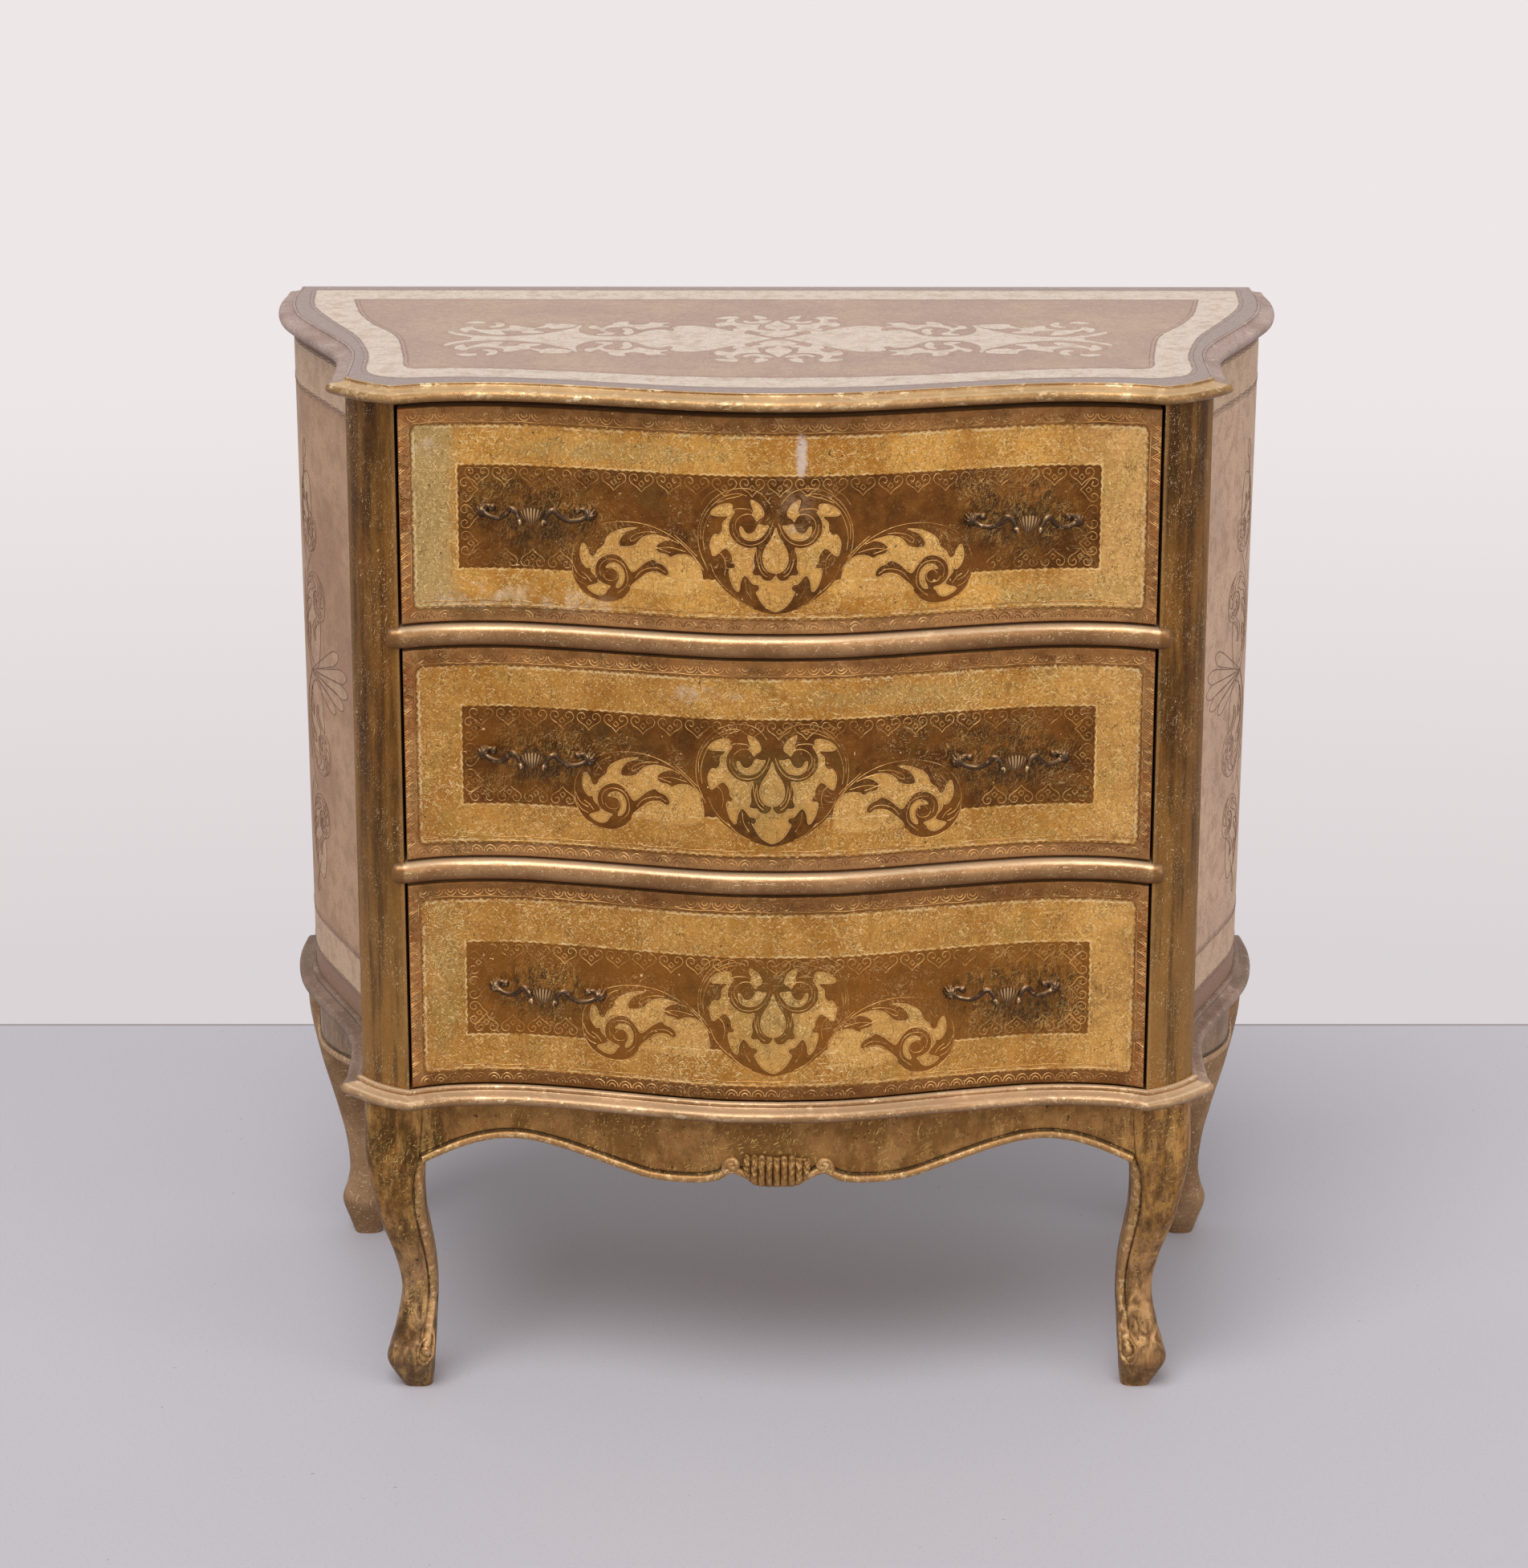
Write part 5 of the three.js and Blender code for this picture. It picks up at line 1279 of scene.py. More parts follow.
# eye of the scroll back and up, size, degrees it is turned, and 1 or -1 where it is reflected
SIDE_CHAIN = [
    (77, 636, 0.66, 78, -1), (64, 572, 0.8, -75, 1), (62, 461, 0.8, 75, -1), (67, 392, 0.72, -78, 1),
]
SCROLL_EYE_CENTRE = (-119, 40)
SIDE_FAN_BASE, SIDE_PETAL_WIDTH = (86, 516), 5.5
SIDE_FAN_TIPS = [(28, 496), (8, 505), (-2, 518), (0, 532), (18, 545)]
SIDE_STEMS = [
    [(86, 516), (97, 532), (101, 556), (97, 582), (86, 602), (78, 612)],
    [(88, 520), (104, 540), (108, 566), (102, 594)],
    [(86, 516), (98, 500), (102, 476), (98, 450), (88, 428), (80, 418)],
    [(88, 512), (105, 492), (108, 466), (102, 438)],
    [(92, 604), (104, 622), (106, 646), (98, 664)], [(92, 426), (104, 408), (104, 384), (94, 366)],
    [(94, 668), (93, 690), (88, 703), (84, 697), (86, 688)], [(99, 660), (92, 676), (88, 690)],
    [(84, 352), (92, 336), (88, 330), (84, 336)], [(78, 360), (86, 344), (88, 334)],
]


def on_chain(line, back, up, size, degrees, flip):
    """A line of the scroll drawing, turned about the scroll's eye and laid on the side."""
    spots = (np.asarray(line, float) - SCROLL_EYE_CENTRE) * (1, flip) * size
    cosine, sine = math.cos(math.radians(degrees)), math.sin(math.radians(degrees))
    return spots @ np.array(((cosine, sine), (-sine, cosine))) + (back, up)


def side_leaf(start, tip, width):
    """A pointed petal from the fan's foot to a tip."""
    start, tip = np.array(start, float), np.array(tip, float)
    across = np.array((start[1] - tip[1], tip[0] - start[0]))
    across = across / np.linalg.norm(across) * width
    waist, swell = start * 0.55 + tip * 0.45, start * 0.15 + tip * 0.85
    return curl([start, waist + across * 0.6, swell + across, tip, swell - across, waist - across * 0.6],
                4, closed=True)


petals = [side_leaf(SIDE_FAN_BASE, tip, SIDE_PETAL_WIDTH) for tip in SIDE_FAN_TIPS]
side_creams = [on_chain(ring, *place) for place in SIDE_CHAIN for ring in scroll] + petals
side_lines = [np.vstack((ring, ring[:1])) for ring in side_creams] + [curl(stem, 4) for stem in SIDE_STEMS]
side_lines += [on_chain(line, *place) for place in SIDE_CHAIN for line in scroll_drawing]
band_along = np.linspace(POST_BACK_Y + 3, CASE_BACK_Y - 2, 90)
for low, high in SIDE_BANDS:
    for level in (low, high):
        for gap in (-1.2, 1.2):
            side_lines.append(np.stack((band_along, level + gap + 0.5 * np.sin(band_along * 1.3)), 1))


def on_side(line):
    line = np.asarray(line, float)
    return np.stack((side_x(line[:, 0], half_width_at(line[:, 1])), line[:, 0], line[:, 1]), 1)


right_lines = round_cord("side_right_drawn_lines", [on_side(line) for line in side_lines], LINE_RADIUS, 0)
fit_both_sides(right_lines, stands_for_nodes=False)
for panel in (side, other_side):
    spots = spots_of(panel)
    back, up = spots[:, 1], spots[:, 2]
    band = np.max([np.minimum(up - low, high - up) for low, high in SIDE_BANDS], axis=0)
    keep_number(panel, "leaf", deepest(side_creams, back, up))
    keep_number(panel, "band", np.clip(band, -FAR, FAR))
    keep_number(panel, "side", np.ones(len(spots)))
    keep_number(panel, "margin", np.maximum(SIDE_BANDS[0][0] - up, up - SIDE_BANDS[1][1]))
print("sides carry", len(side_creams), "cream shapes and", len(side_lines), "lines")

# %% [markdown]
# ## Drawer pulls
# The pulls are cast in brass: a grooved knob at each end stands on the drawer, a bar runs from its
# curled neck down and up over a hump into a second curl, and a fluted shell joins the two halves. One
# half is modelled, mirrored, and copied to its six places.

# %% One pull in its own frame: along the drawer, out from its face as -Y, and up
PULL_HALF_SPAN = 40
PULL_STANDOFF = 20
PULL_WAVE = 4.2
PULL_BAR_SHARES = [
    (0.79, 0.42, 0.76), (0.89, 0.36, 0.9), (0.95, 0.38, 0.05), (0.86, 0.48, -0.65), (0.66, 0.64, -0.85),
    (0.5, 0.79, 0.1), (0.39, 0.89, 1.2), (0.28, 0.97, 0.5), (0.23, 1, -0.9),
]
PULL_BAR_RADII = [1.5, 1.9, 2.1, 1.9, 1.9, 2.1, 2.3, 2.0, 1.6]
PULL_BALL_RADII = (2.9, 2.7)
PULL_KNOB_GROOVES = 9
PULL_KNOB = [
    (4.6, -0.5), (4.8, 0.6), (4.4, 1.6), (3.6, 2.6), (3.4, 3.4), (4.4, 4.4), (5.2, 6), (5.1, 7.6), (4.2, 9),
    (2.6, 10), (0.8, 10.4),
]
PULL_SCREW = [(2, -12), (2, -19), (4, -20.1), (4, -21.5), (3, -22.5), (0.6, -22.5)]
PULL_FAN_FLUTES = 3


def turned_rings(profile, count, grooves=0, groove_depth=0.0):
    """Rings of a turned shape: each step of the profile is a radius and a height out from the face."""
    angle = np.linspace(0, 2 * math.pi, count, endpoint=False)
    rings = []
    for radius, out in profile:
        wide = radius * (1 - groove_depth * (0.5 - 0.5 * np.cos(grooves * angle)))
        rings.append(np.stack((wide * np.cos(angle), np.full(count, -out), wide * np.sin(angle)), 1))
    return rings


def at_pull_end(piece):
    move_spots(piece, spots_of(piece) + (PULL_HALF_SPAN, 0, 0))
    return piece


def pull_half():
    path = np.array([(PULL_HALF_SPAN * a, -PULL_STANDOFF * o, PULL_WAVE * u) for a, o, u in PULL_BAR_SHARES])
    line = curl(np.column_stack((path, PULL_BAR_RADII)), 6)
    parts = [round_cord("pull_bar", [line], 1, 4)]
    parts.append(at_pull_end(loft("pull_knob", turned_rings(PULL_KNOB, 48, PULL_KNOB_GROOVES, 0.22))))
    for spot, radius in zip(path[[0, -1]], PULL_BALL_RADII):
        ball = ball_of(radius, 24, 14)
        spots = spots_of(ball)
        swell = 1 + 0.06 * np.cos(3 * np.arctan2(spots[:, 2], spots[:, 0]))
        move_spots(ball, spots * swell[:, None] * (1, 1.1, 1) + spot)
        parts.append(ball)
    parts.append(at_pull_end(loft("pull_screw", turned_rings(PULL_SCREW, 20))))
    return join("pull_half", parts)


def pull_fan():
    """The fluted shell between the two halves, narrow below and scalloped above."""
    rows = []
    for across in np.linspace(-1, 1, 97):
        rib = abs(math.cos(across * math.pi * PULL_FAN_FLUTES)) ** 0.7
        top_edge = 6.2 - 2.6 * across**2 + 1.1 * rib
        low_edge = -5.4 + 2.2 * across**2
        ring = []
        for up in np.linspace(0, 1, 13):
            half = 3.6 + 4.2 * up**0.7
            bowl = 0.5 + 1.0 * math.sin(math.pi * up * 0.9) + 1.6 * rib * (0.35 + 0.65 * up)
            y = -PULL_STANDOFF - bowl * (1 - 0.35 * across**2)
            ring.append((half * across, y, low_edge + (top_edge - low_edge) * up))
        back = [(point[0], -PULL_STANDOFF + 1.4, point[2]) for point in ring[::-3]]
        rows.append(ring + back)
    return loft("pull_fan", rows)


half = pull_half()
other_half = mirror_of(half, "pull_other_half")
pull = join("pull_pattern", [half, other_half, pull_fan()])
spots = spots_of(pull)
keep_number(pull, "fan", (np.abs(spots[:, 0]) < 9) & (spots[:, 1] < -PULL_STANDOFF + 2))
keep_number(pull, "raised", np.clip((-spots[:, 1] - PULL_STANDOFF) / 2.5, 0, 1))
print("pull has", len(pull.data.vertices), "vertices")

# %% Copies of the pull at their places
PULL_PLACE_SHARES = {
    "lower": {"left": (-0.6225, -0.01, 2.6), "right": (0.6045, -0.003, 0.3)},
    "middle": {"left": (-0.644, 0.0045, 1), "right": (0.615, -0.005, 0.5)},
    "upper": {"left": (-0.637, 0.0255, 0), "right": (0.6405, -0.008, 2.4)},
}


def pull_spots(spots, across, rise, turn, low_z):
    middle_x = DRAWER_HALF * across
    left_y, right_y = front_y(middle_x - PULL_HALF_SPAN), front_y(middle_x + PULL_HALF_SPAN)
    lean, swing = math.radians(turn), math.atan2(right_y - left_y, 2 * PULL_HALF_SPAN)
    x = spots[:, 0] * math.cos(lean) + spots[:, 2] * math.sin(lean)
    z = spots[:, 2] * math.cos(lean) - spots[:, 0] * math.sin(lean)
    turned_x = x * math.cos(swing) - spots[:, 1] * math.sin(swing)
    turned_y = x * math.sin(swing) + spots[:, 1] * math.cos(swing)
    middle_z = low_z + FRONT_HEIGHT / 2 + FRONT_HEIGHT * rise
    return np.stack((turned_x + middle_x, turned_y + (left_y + right_y) / 2, z + middle_z), 1)


pattern = spots_of(pull)
for level, places in PULL_PLACE_SHARES.items():
    for hand, (across, rise, turn) in places.items():
        copy = copy_of(pull, f"drawer_{level}_pull_{hand}_cast")
        move_spots(copy, pull_spots(pattern, across, rise, turn, DRAWERS[level]))
        fit(copy, f"drawer_{level}", [f"drawer_{level}_pull_{hand}"], 35)
bpy.data.objects.remove(pull)

# %% [markdown]
# ## Finishes
# Every finish is worked out from Object coordinates, so it stays put when a drawer slides. A small class
# lets the sums be written as plain expressions.

# %% A socket with sums, and a finish that makes nodes


class Wire:
    """One output of a node, on which sums can be written."""

    def __init__(self, owner, socket):
        self.owner, self.socket = owner, socket

    def __add__(self, other):
        return self.owner.sum("ADD", self, other)

    def __sub__(self, other):
        return self.owner.sum("SUBTRACT", self, other)

    def __rsub__(self, other):
        return self.owner.sum("SUBTRACT", other, self)

    def __mul__(self, other):
        return self.owner.sum("MULTIPLY", self, other)

    __radd__, __rmul__ = __add__, __mul__


def tint(red, green, blue):
    """A colour as it is seen on a screen, 0 to 255, as linear light."""
    parts = [value / 255 for value in (red, green, blue)]
    return tuple(p / 12.92 if p <= 0.04045 else ((p + 0.055) / 1.055) ** 2.4 for p in parts) + (1,)


class Nodes:
    """Nodes of a material or of the world, made one after another."""

    def __init__(self, tree):
        self.tree = tree

    def node(self, kind, settings=None, inputs=None, output=0):
        node = self.tree.nodes.new(kind)
        for setting, value in (settings or {}).items():
            setattr(node, setting, value)
        for key, value in (inputs or {}).items():
            if isinstance(value, Wire):
                self.tree.links.new(value.socket, node.inputs[key])
            else:
                node.inputs[key].default_value = value
        return Wire(self, node.outputs[output])

    def sum(self, operation, *values):
        return self.node("ShaderNodeMath", {"operation": operation}, dict(enumerate(values)))

    def least(self, *values):
        return reduce(lambda result, value: self.sum("MINIMUM", result, value), values)

    def most(self, *values):
        return reduce(lambda result, value: self.sum("MAXIMUM", result, value), values)

    def size_of(self, value):
        return self.sum("ABSOLUTE", value)

    def step(self, value, low, high):
        """Rises smoothly from 0 to 1 as the value goes from low to high."""
        return self.node("ShaderNodeMapRange", {"interpolation_type": "SMOOTHSTEP"},
                         {"Value": value, "From Min": low, "From Max": high})

    def near(self, value, close, far):
        """Falls smoothly from 1 to 0 as the value goes away from 0, to either side."""
        return self.fall(self.size_of(value), close, far)

    def fall(self, value, low, high):
        """Falls smoothly from 1 to 0 as the value goes from low to high."""
        return 1 - self.step(value, low, high)

    def mix(self, share, first, second):
        """A colour between two: each is a wire, or its values on a screen."""
        first, second = (tone if isinstance(tone, Wire) else tint(*tone) for tone in (first, second))
        return self.node("ShaderNodeMix", {"data_type": "RGBA"}, {0: share, 6: first, 7: second}, 2)

    def layers(self, colour, coats):
        """Coats laid over a colour, from the ground up: each is how much of it shows, and its colour."""
        for share, coat in coats:
            colour = self.mix(share, colour, coat)
        return colour


class Finish(Nodes):
    """A procedural material, worked out from Object coordinates in millimetres."""

    def __init__(self, name, specular=0.2):
        self.material = bpy.data.materials.new(name)
        self.material.use_nodes = True
        super().__init__(self.material.node_tree)
        self.shader = self.tree.nodes["Principled BSDF"]
        self.shader.inputs["Specular IOR Level"].default_value = specular
        self.place = self.node("ShaderNodeTexCoord", output="Object")
        split = self.node("ShaderNodeSeparateXYZ", inputs={0: self.place}).socket.node
        self.x, self.y, self.z = [Wire(self, socket) * 1000 for socket in split.outputs]

    def kept(self, name):
        return self.node("ShaderNodeAttribute", {"attribute_name": name}, output="Fac")

    def stretched(self, stretch=(1, 1, 1), shift=(0, 0, 0)):
        return self.node("ShaderNodeMapping", {}, {"Vector": self.place, "Location": shift, "Scale": stretch})

    def noise(self, size, detail=3.0, rough=0.55, vector=None, swirl=0.0):
        """Soft noise from 0 to 1 whose features are about size millimetres across."""
        return self.node("ShaderNodeTexNoise", {}, {
            "Vector": vector or self.place, "Scale": 1000 / size, "Detail": detail, "Roughness": rough,
            "Distortion": swirl})

    def patches(self, low, high, size, detail=3.0, rough=0.55, **laid):
        """Soft-edged patches of noise, which may be stretched and shifted."""
        return self.step(self.noise(size, detail, rough, self.stretched(**laid) if laid else None), low, high)

    def cells(self, size, vector):
        """How far a spot lies from the edges of cells about size millimetres across."""
        inputs = {"Vector": vector, "Scale": 1000 / size}
        return self.node("ShaderNodeTexVoronoi", {"feature": "DISTANCE_TO_EDGE"}, inputs)

    def warped(self, amount, size, stretch=(1, 1, 1)):
        """Object coordinates pushed about a little, so that cells lose their straight sides."""
        push = self.node("ShaderNodeTexNoise", {}, {
            "Vector": self.place, "Scale": 1000 / size, "Detail": 2.0}, 1)
        vector_sum = "ShaderNodeVectorMath"
        centred = self.node(vector_sum, {"operation": "SUBTRACT"}, {0: push, 1: (0.5, 0.5, 0.5)})
        scaled = self.node(vector_sum, {"operation": "SCALE"}, {0: centred, "Scale": amount})
        bent = self.node(vector_sum, {"operation": "ADD"}, {0: self.place, 1: scaled})
        return self.node("ShaderNodeMapping", {}, {"Vector": bent, "Scale": stretch})

    def spot(self, x, z, wide, high, wobble=2.2, size=20):
        """A ragged stain on the front, round a place given across and up in millimetres."""
        across, up = (self.x - x) * (1 / wide), (self.z - z) * (1 / high)
        away = self.sum("SQRT", across * across + up * up)
        ragged = (self.noise(size, 5, 0.7) - 0.5) * wobble
        return self.fall(away + ragged, 0.45, 1.2)

    def settle(self, colour, roughness, metallic=0.0, height=None, depth=0.3):
        for name, value in (("Base Color", colour), ("Roughness", roughness), ("Metallic", metallic)):
            if isinstance(value, Wire):
                self.tree.links.new(value.socket, self.shader.inputs[name])
            else:
                self.shader.inputs[name].default_value = value
        if height is not None:
            relief = {"Strength": 0.6, "Distance": depth * MM, "Height": height}
            bump = self.node("ShaderNodeBump", {}, relief)
            self.tree.links.new(bump.socket, self.shader.inputs["Normal"])
        return self.material


def scratches(f, length=14, width=0.5, share=0.7, turn=0.0, shift=0.0):
    """Short thin strokes, slightly curved, lying mostly one way: turn is in radians on the front."""
    bent = f.warped(0.007, 24)
    turned_place = f.node("ShaderNodeMapping", {}, {
        "Vector": bent, "Location": (shift, 0, shift), "Rotation": (0, turn, 0)})
    stretch = (1 / length, 1 / width, 1 / width)
    long_place = f.node("ShaderNodeMapping", {}, {"Vector": turned_place, "Scale": stretch})
    streak = f.noise(1, 1.0, 0.4, long_place)
    return f.step(streak, share, share + 0.04)


def chips(f, size, share, shift=(0, 0, 0)):
    """Scattered flakes where the noise is highest."""
    return f.patches(share, share + 0.02, size, 2.0, 0.5, shift=shift)


print("screen white is", tint(255, 255, 255))

# %% [markdown]
# ## Gilded and painted fronts
# The front is laid in gold leaf over brown bole: a gold band round a dark brown panel, with gold leaves.
# It has a fine crackle, a linen grain, pale scratches and chips, and greenish stains where the leaf has
# worn away. Each of these is one mask, and each colour is a table of coats from the ground up. Tones are
# given as they are seen on a screen.

# %% Front finish
# stains: to the right, up, half width and half height in millimetres; the sooty ones, round the pulls, also
# place a painted shadow below each pull
STAINS = {
    "olive": [(-205, 632, 60, 9), (-120, 752, 80, 9), (-8, 508, 36, 36), (-5, 330, 30, 40),
              (90, 572, 90, 10), (200, 640, 50, 12), (-250, 350, 14, 60)],
    "sooty": [(-176, 702, 46, 30), (176, 704, 42, 28), (-178, 518, 36, 24), (172, 518, 46, 26),
              (-176, 334, 40, 24), (190, 330, 62, 34)],
    "milky": [(12, 712, 14, 20), (-214, 640, 46, 12), (-150, 636, 34, 11), (-258, 752, 12, 9),
              (-60, 574, 30, 8)],
}
PALE_CHIP = (15.5, 753, 4.4, 17)


def front_finish():
    f = Finish("gilded_front")
    leaf, ground, panel, band, rise = (f.kept(name) for name in ("leaf", "ground", "panel", "band", "rise"))
    ragged = (f.noise(3.5, 3) - 0.5) * 1.1
    gold_depth = f.most(f.least(band + ragged, panel * -1, ground * -1), leaf)
    gold_mask = f.step(gold_depth, -0.3, 0.3)
    outer = f.fall(band + ragged * 2.5, -1.6, 0.8)
    broad, middle, fine = f.noise(55, 4, 0.6), f.noise(12, 5, 0.65), f.noise(1.8, 3, 0.6)
    cloud = f.step(broad, 0.38, 0.62)
    patchy = f.step(middle, 0.42, 0.62)
    linen = f.noise(1.2, 2, 0.6, f.stretched((0.22, 1, 1)))
    threads = f.noise(1.4, 2, 0.6, f.stretched((1, 1, 0.16)))
    deep = f.patches(0.5, 0.66, 24, 5, 0.65, stretch=(0.6, 1, 1), shift=(0.1, 0.9, 0.4))
    bole = f.patches(0.46, 0.62, 14, 5, 0.65, shift=(0.3, 0.5, 0.6))
    at_ends = f.step(f.size_of(f.x), 262, 270)
    low_edge = f.fall(rise, 6, 12) * (1 - at_ends)
    on_lower = f.fall(f.z, 405, 425)
    on_middle = f.step(f.z, 428, 434) * f.fall(f.z, 596, 602) * f.fall(f.x, 190, 250)
    near_edge = f.fall(band, 0, 10) * f.patches(0.42, 0.6, 7, 5, 0.7)
    olive = f.most(*[f.spot(*place) for place in STAINS["olive"]])
    stray = f.patches(0.54, 0.68, 42, 4, 0.65, shift=(0.4, 0, 0.7))
    left_end = f.fall(f.x + (middle - 0.5) * 26, -246, -232) * f.step(f.z, 600, 620)
    sooty = f.most(*[f.spot(*place, 1.6) for place in STAINS["sooty"]])
    rubbed = f.patches(0.4, 0.6, 5, 5, 0.7, stretch=(1, 1, 0.5))
    crack = f.fall(f.cells(3.4, f.warped(0.004, 6, (1, 1, 0.6))), 0.0, 0.1)
    thread_line = f.size_of(f.noise(6, 3, 0.6, f.stretched((1, 1, 0.5), (0.7, 0.1, 0.3))) - 0.5)
    threads_seen = f.fall(thread_line, 0.005, 0.022) * (0.4 + patchy * 0.6)
    crackle = f.most(crack * f.step(middle, 0.4, 0.6) * 0.6, threads_seen)
    broken = f.patches(0.44, 0.56, 9, 4, 0.65, shift=(0.2, 0.2, 0.5))
    rim = f.near(leaf, 0.15, 0.5) * f.near(gold_depth, 0.15, 0.5)
    leaf_edge = f.step(leaf, 0.0, 0.4) * f.fall(leaf, 0.5, 1.3)
    panel_edge = f.near(panel + 0.9, 0.2, 0.9)
    inside_band = f.step(band, 0.2, 0.8) * f.fall(ground, -0.5, 0)
    band_edge = f.near(band + ragged, 0.2, 1.0)
    band_rub = f.near(band + ragged - 1.9, 0.3, 1.2)
    milky = f.most(*[f.spot(*place) for place in STAINS["milky"]])
    clustered = f.patches(0.46, 0.62, 34, 3, 0.6, shift=(0.9, 0, 0.2))
    strokes = f.most(scratches(f, 11, 0.7, 0.655), scratches(f, 8, 0.65, 0.67, 0.9, 0.3),
                     scratches(f, 9, 0.65, 0.67, 2.1, 0.7))
    flakes = chips(f, 3.6, 0.735)
    short = f.most(scratches(f, 5, 0.75, 0.66, 0.6, 0.15), scratches(f, 5, 0.75, 0.66, 2.5, 0.55))
    short = short * gold_mask * 0.7
    drawn = f.step(ground, -0.3, 0.3)
    pale = f.most(short, strokes * (0.12 + clustered * 0.8)) * (1 - drawn * 0.7) * (0.45 + gold_mask * 0.55)
    pale = f.most(pale, flakes * 0.8)
    worn = f.most(*[f.spot(x, z, wide * 1.2, high * 1.2) for x, z, wide, high in STAINS["sooty"]])
    rubs = f.most(scratches(f, 7, 0.6, 0.6, 1.3, 0.9), scratches(f, 6, 0.6, 0.62, 0.5, 0.5))
    # painted shadow just below each pull
    pull_shadow = f.most(*[f.spot(x, z - 7, wide * 0.6, high * 0.5, 1.4, 9)
                     for x, z, wide, high in STAINS["sooty"]])
    dark = chips(f, 3.0, 0.72, (0.5, 0.5, 0.1))
    roughness = 0.38 + fine * 0.2 + pale * 0.2
    metallic = 0.5 - pale * 0.4 - sooty * 0.2
    height = fine * 0.4 + linen * 0.5 + threads * 0.4 - crackle * 0.7 + patchy * 0.3
    gold = f.layers(f.mix(cloud, (214, 157, 74), (178, 119, 42)), [
        (patchy * 0.55, (222, 172, 90)),
        (deep * 0.4, (160, 102, 34)),
        (f.step(f.x, 180, 262) * (0.25 + f.step(f.z, 560, 620) * 0.3), (234, 190, 122)),
        (on_lower * f.fall(f.x, 150, 240) * 0.3, (150, 104, 52)),
        (f.fall(f.x, -252, -214) * 0.2, (146, 100, 54)),
        (on_middle * 0.3, (144, 94, 38)),
        (f.step(leaf, -0.3, 0.3) * 0.35, (244, 194, 114)),
        (near_edge * 0.55, (150, 100, 46)),
    ])
    brown = f.layers(f.mix(cloud, (116, 68, 20), (84, 47, 10)), [
        (patchy * 0.5, (136, 86, 30)),
        (on_lower * 0.4, (160, 102, 36)),
    ])
    border = f.layers(f.mix(cloud, (156, 106, 56), (118, 76, 36)), [
        (patchy * 0.5, (170, 122, 72)),
        (at_ends * 0.25, (196, 150, 100)),
        (bole * at_ends * 0.6, (146, 76, 30)),
        (f.fall(f.z, 560, 600) * (1 - at_ends) * 0.35, (100, 62, 28)),
        (low_edge * 0.45, f.mix(f.step(f.z, 410, 430), (96, 60, 26), (190, 144, 96))),
    ])
    colour = f.layers(f.mix(gold_mask, brown, gold), [
        (outer, border),
        (olive * (0.35 + patchy * 0.35), f.mix(gold_mask, (100, 78, 34), (176, 146, 86))),
        (stray * 0.4, f.mix(gold_mask, (86, 66, 28), (160, 130, 60))),
        (left_end * gold_mask * 0.6, (174, 156, 106)),
        (sooty * patchy * 0.4, (168, 104, 36)),
        (sooty * rubbed * 0.8, (46, 34, 14)),
        (crackle * (0.25 + gold_mask * 0.45), (108, 64, 18)),
        (f.step(linen, 0.48, 0.75) * 0.3, (96, 58, 18)),
        (f.step(threads, 0.5, 0.78) * 0.26, (100, 62, 22)),
        (gold_mask * f.step(fine, 0.55, 0.8) * 0.18, (244, 200, 120)),
        (rim * 0.55, (226, 178, 108)),
        (leaf_edge * 0.35, (118, 72, 26)),
        (panel_edge * inside_band * broken * 0.7, (236, 202, 142)),
        (band_edge * (0.25 + broken * 0.4), (92, 56, 24)),
        (band_rub * broken * 0.6, (232, 204, 152)),
        (milky * patchy * (0.15 + gold_mask * 0.4), (214, 188, 158)),
        (pale * 0.85, (242, 208, 148)),
        (f.spot(*PALE_CHIP, 1.5, 10) * 0.75, (216, 198, 186)),
        (worn * rubs * (0.4 + clustered * 0.45), (196, 154, 88)),
        # painted shadow below each pull
        (pull_shadow * 0.4, (38, 26, 12)),
        (dark * 0.8, (52, 32, 12)),
    ])
    return f.settle(colour, roughness, metallic, height, 0.4)


def bare_wood(name, light, dark, grain_axis):
    f = Finish(name, specular=0.3)
    stretch = [9, 9, 9]
    stretch[grain_axis] = 0.6
    grain = f.noise(60, 5, 0.6, f.stretched(tuple(stretch)), 1.2)
    pores = f.noise(6, 2, 0.5, f.stretched(tuple(value * 1.5 for value in stretch)))
    colour = f.layers(f.mix(f.step(grain, 0.3, 0.7), light, dark), [
        (f.step(pores, 0.55, 0.8) * 0.4, (96, 66, 40)),
        (f.noise(120, 2) * 0.35, (176, 150, 112)),
    ])
    return f.settle(colour, 0.75 - grain * 0.15, 0.0, grain * 0.6 + pores * 0.4, 0.3)


wood = [bare_wood(f"bare_wood_{'xyz'[axis]}", (172, 134, 92), (140, 102, 66), axis) for axis in range(3)]
front_face_finish = front_finish()
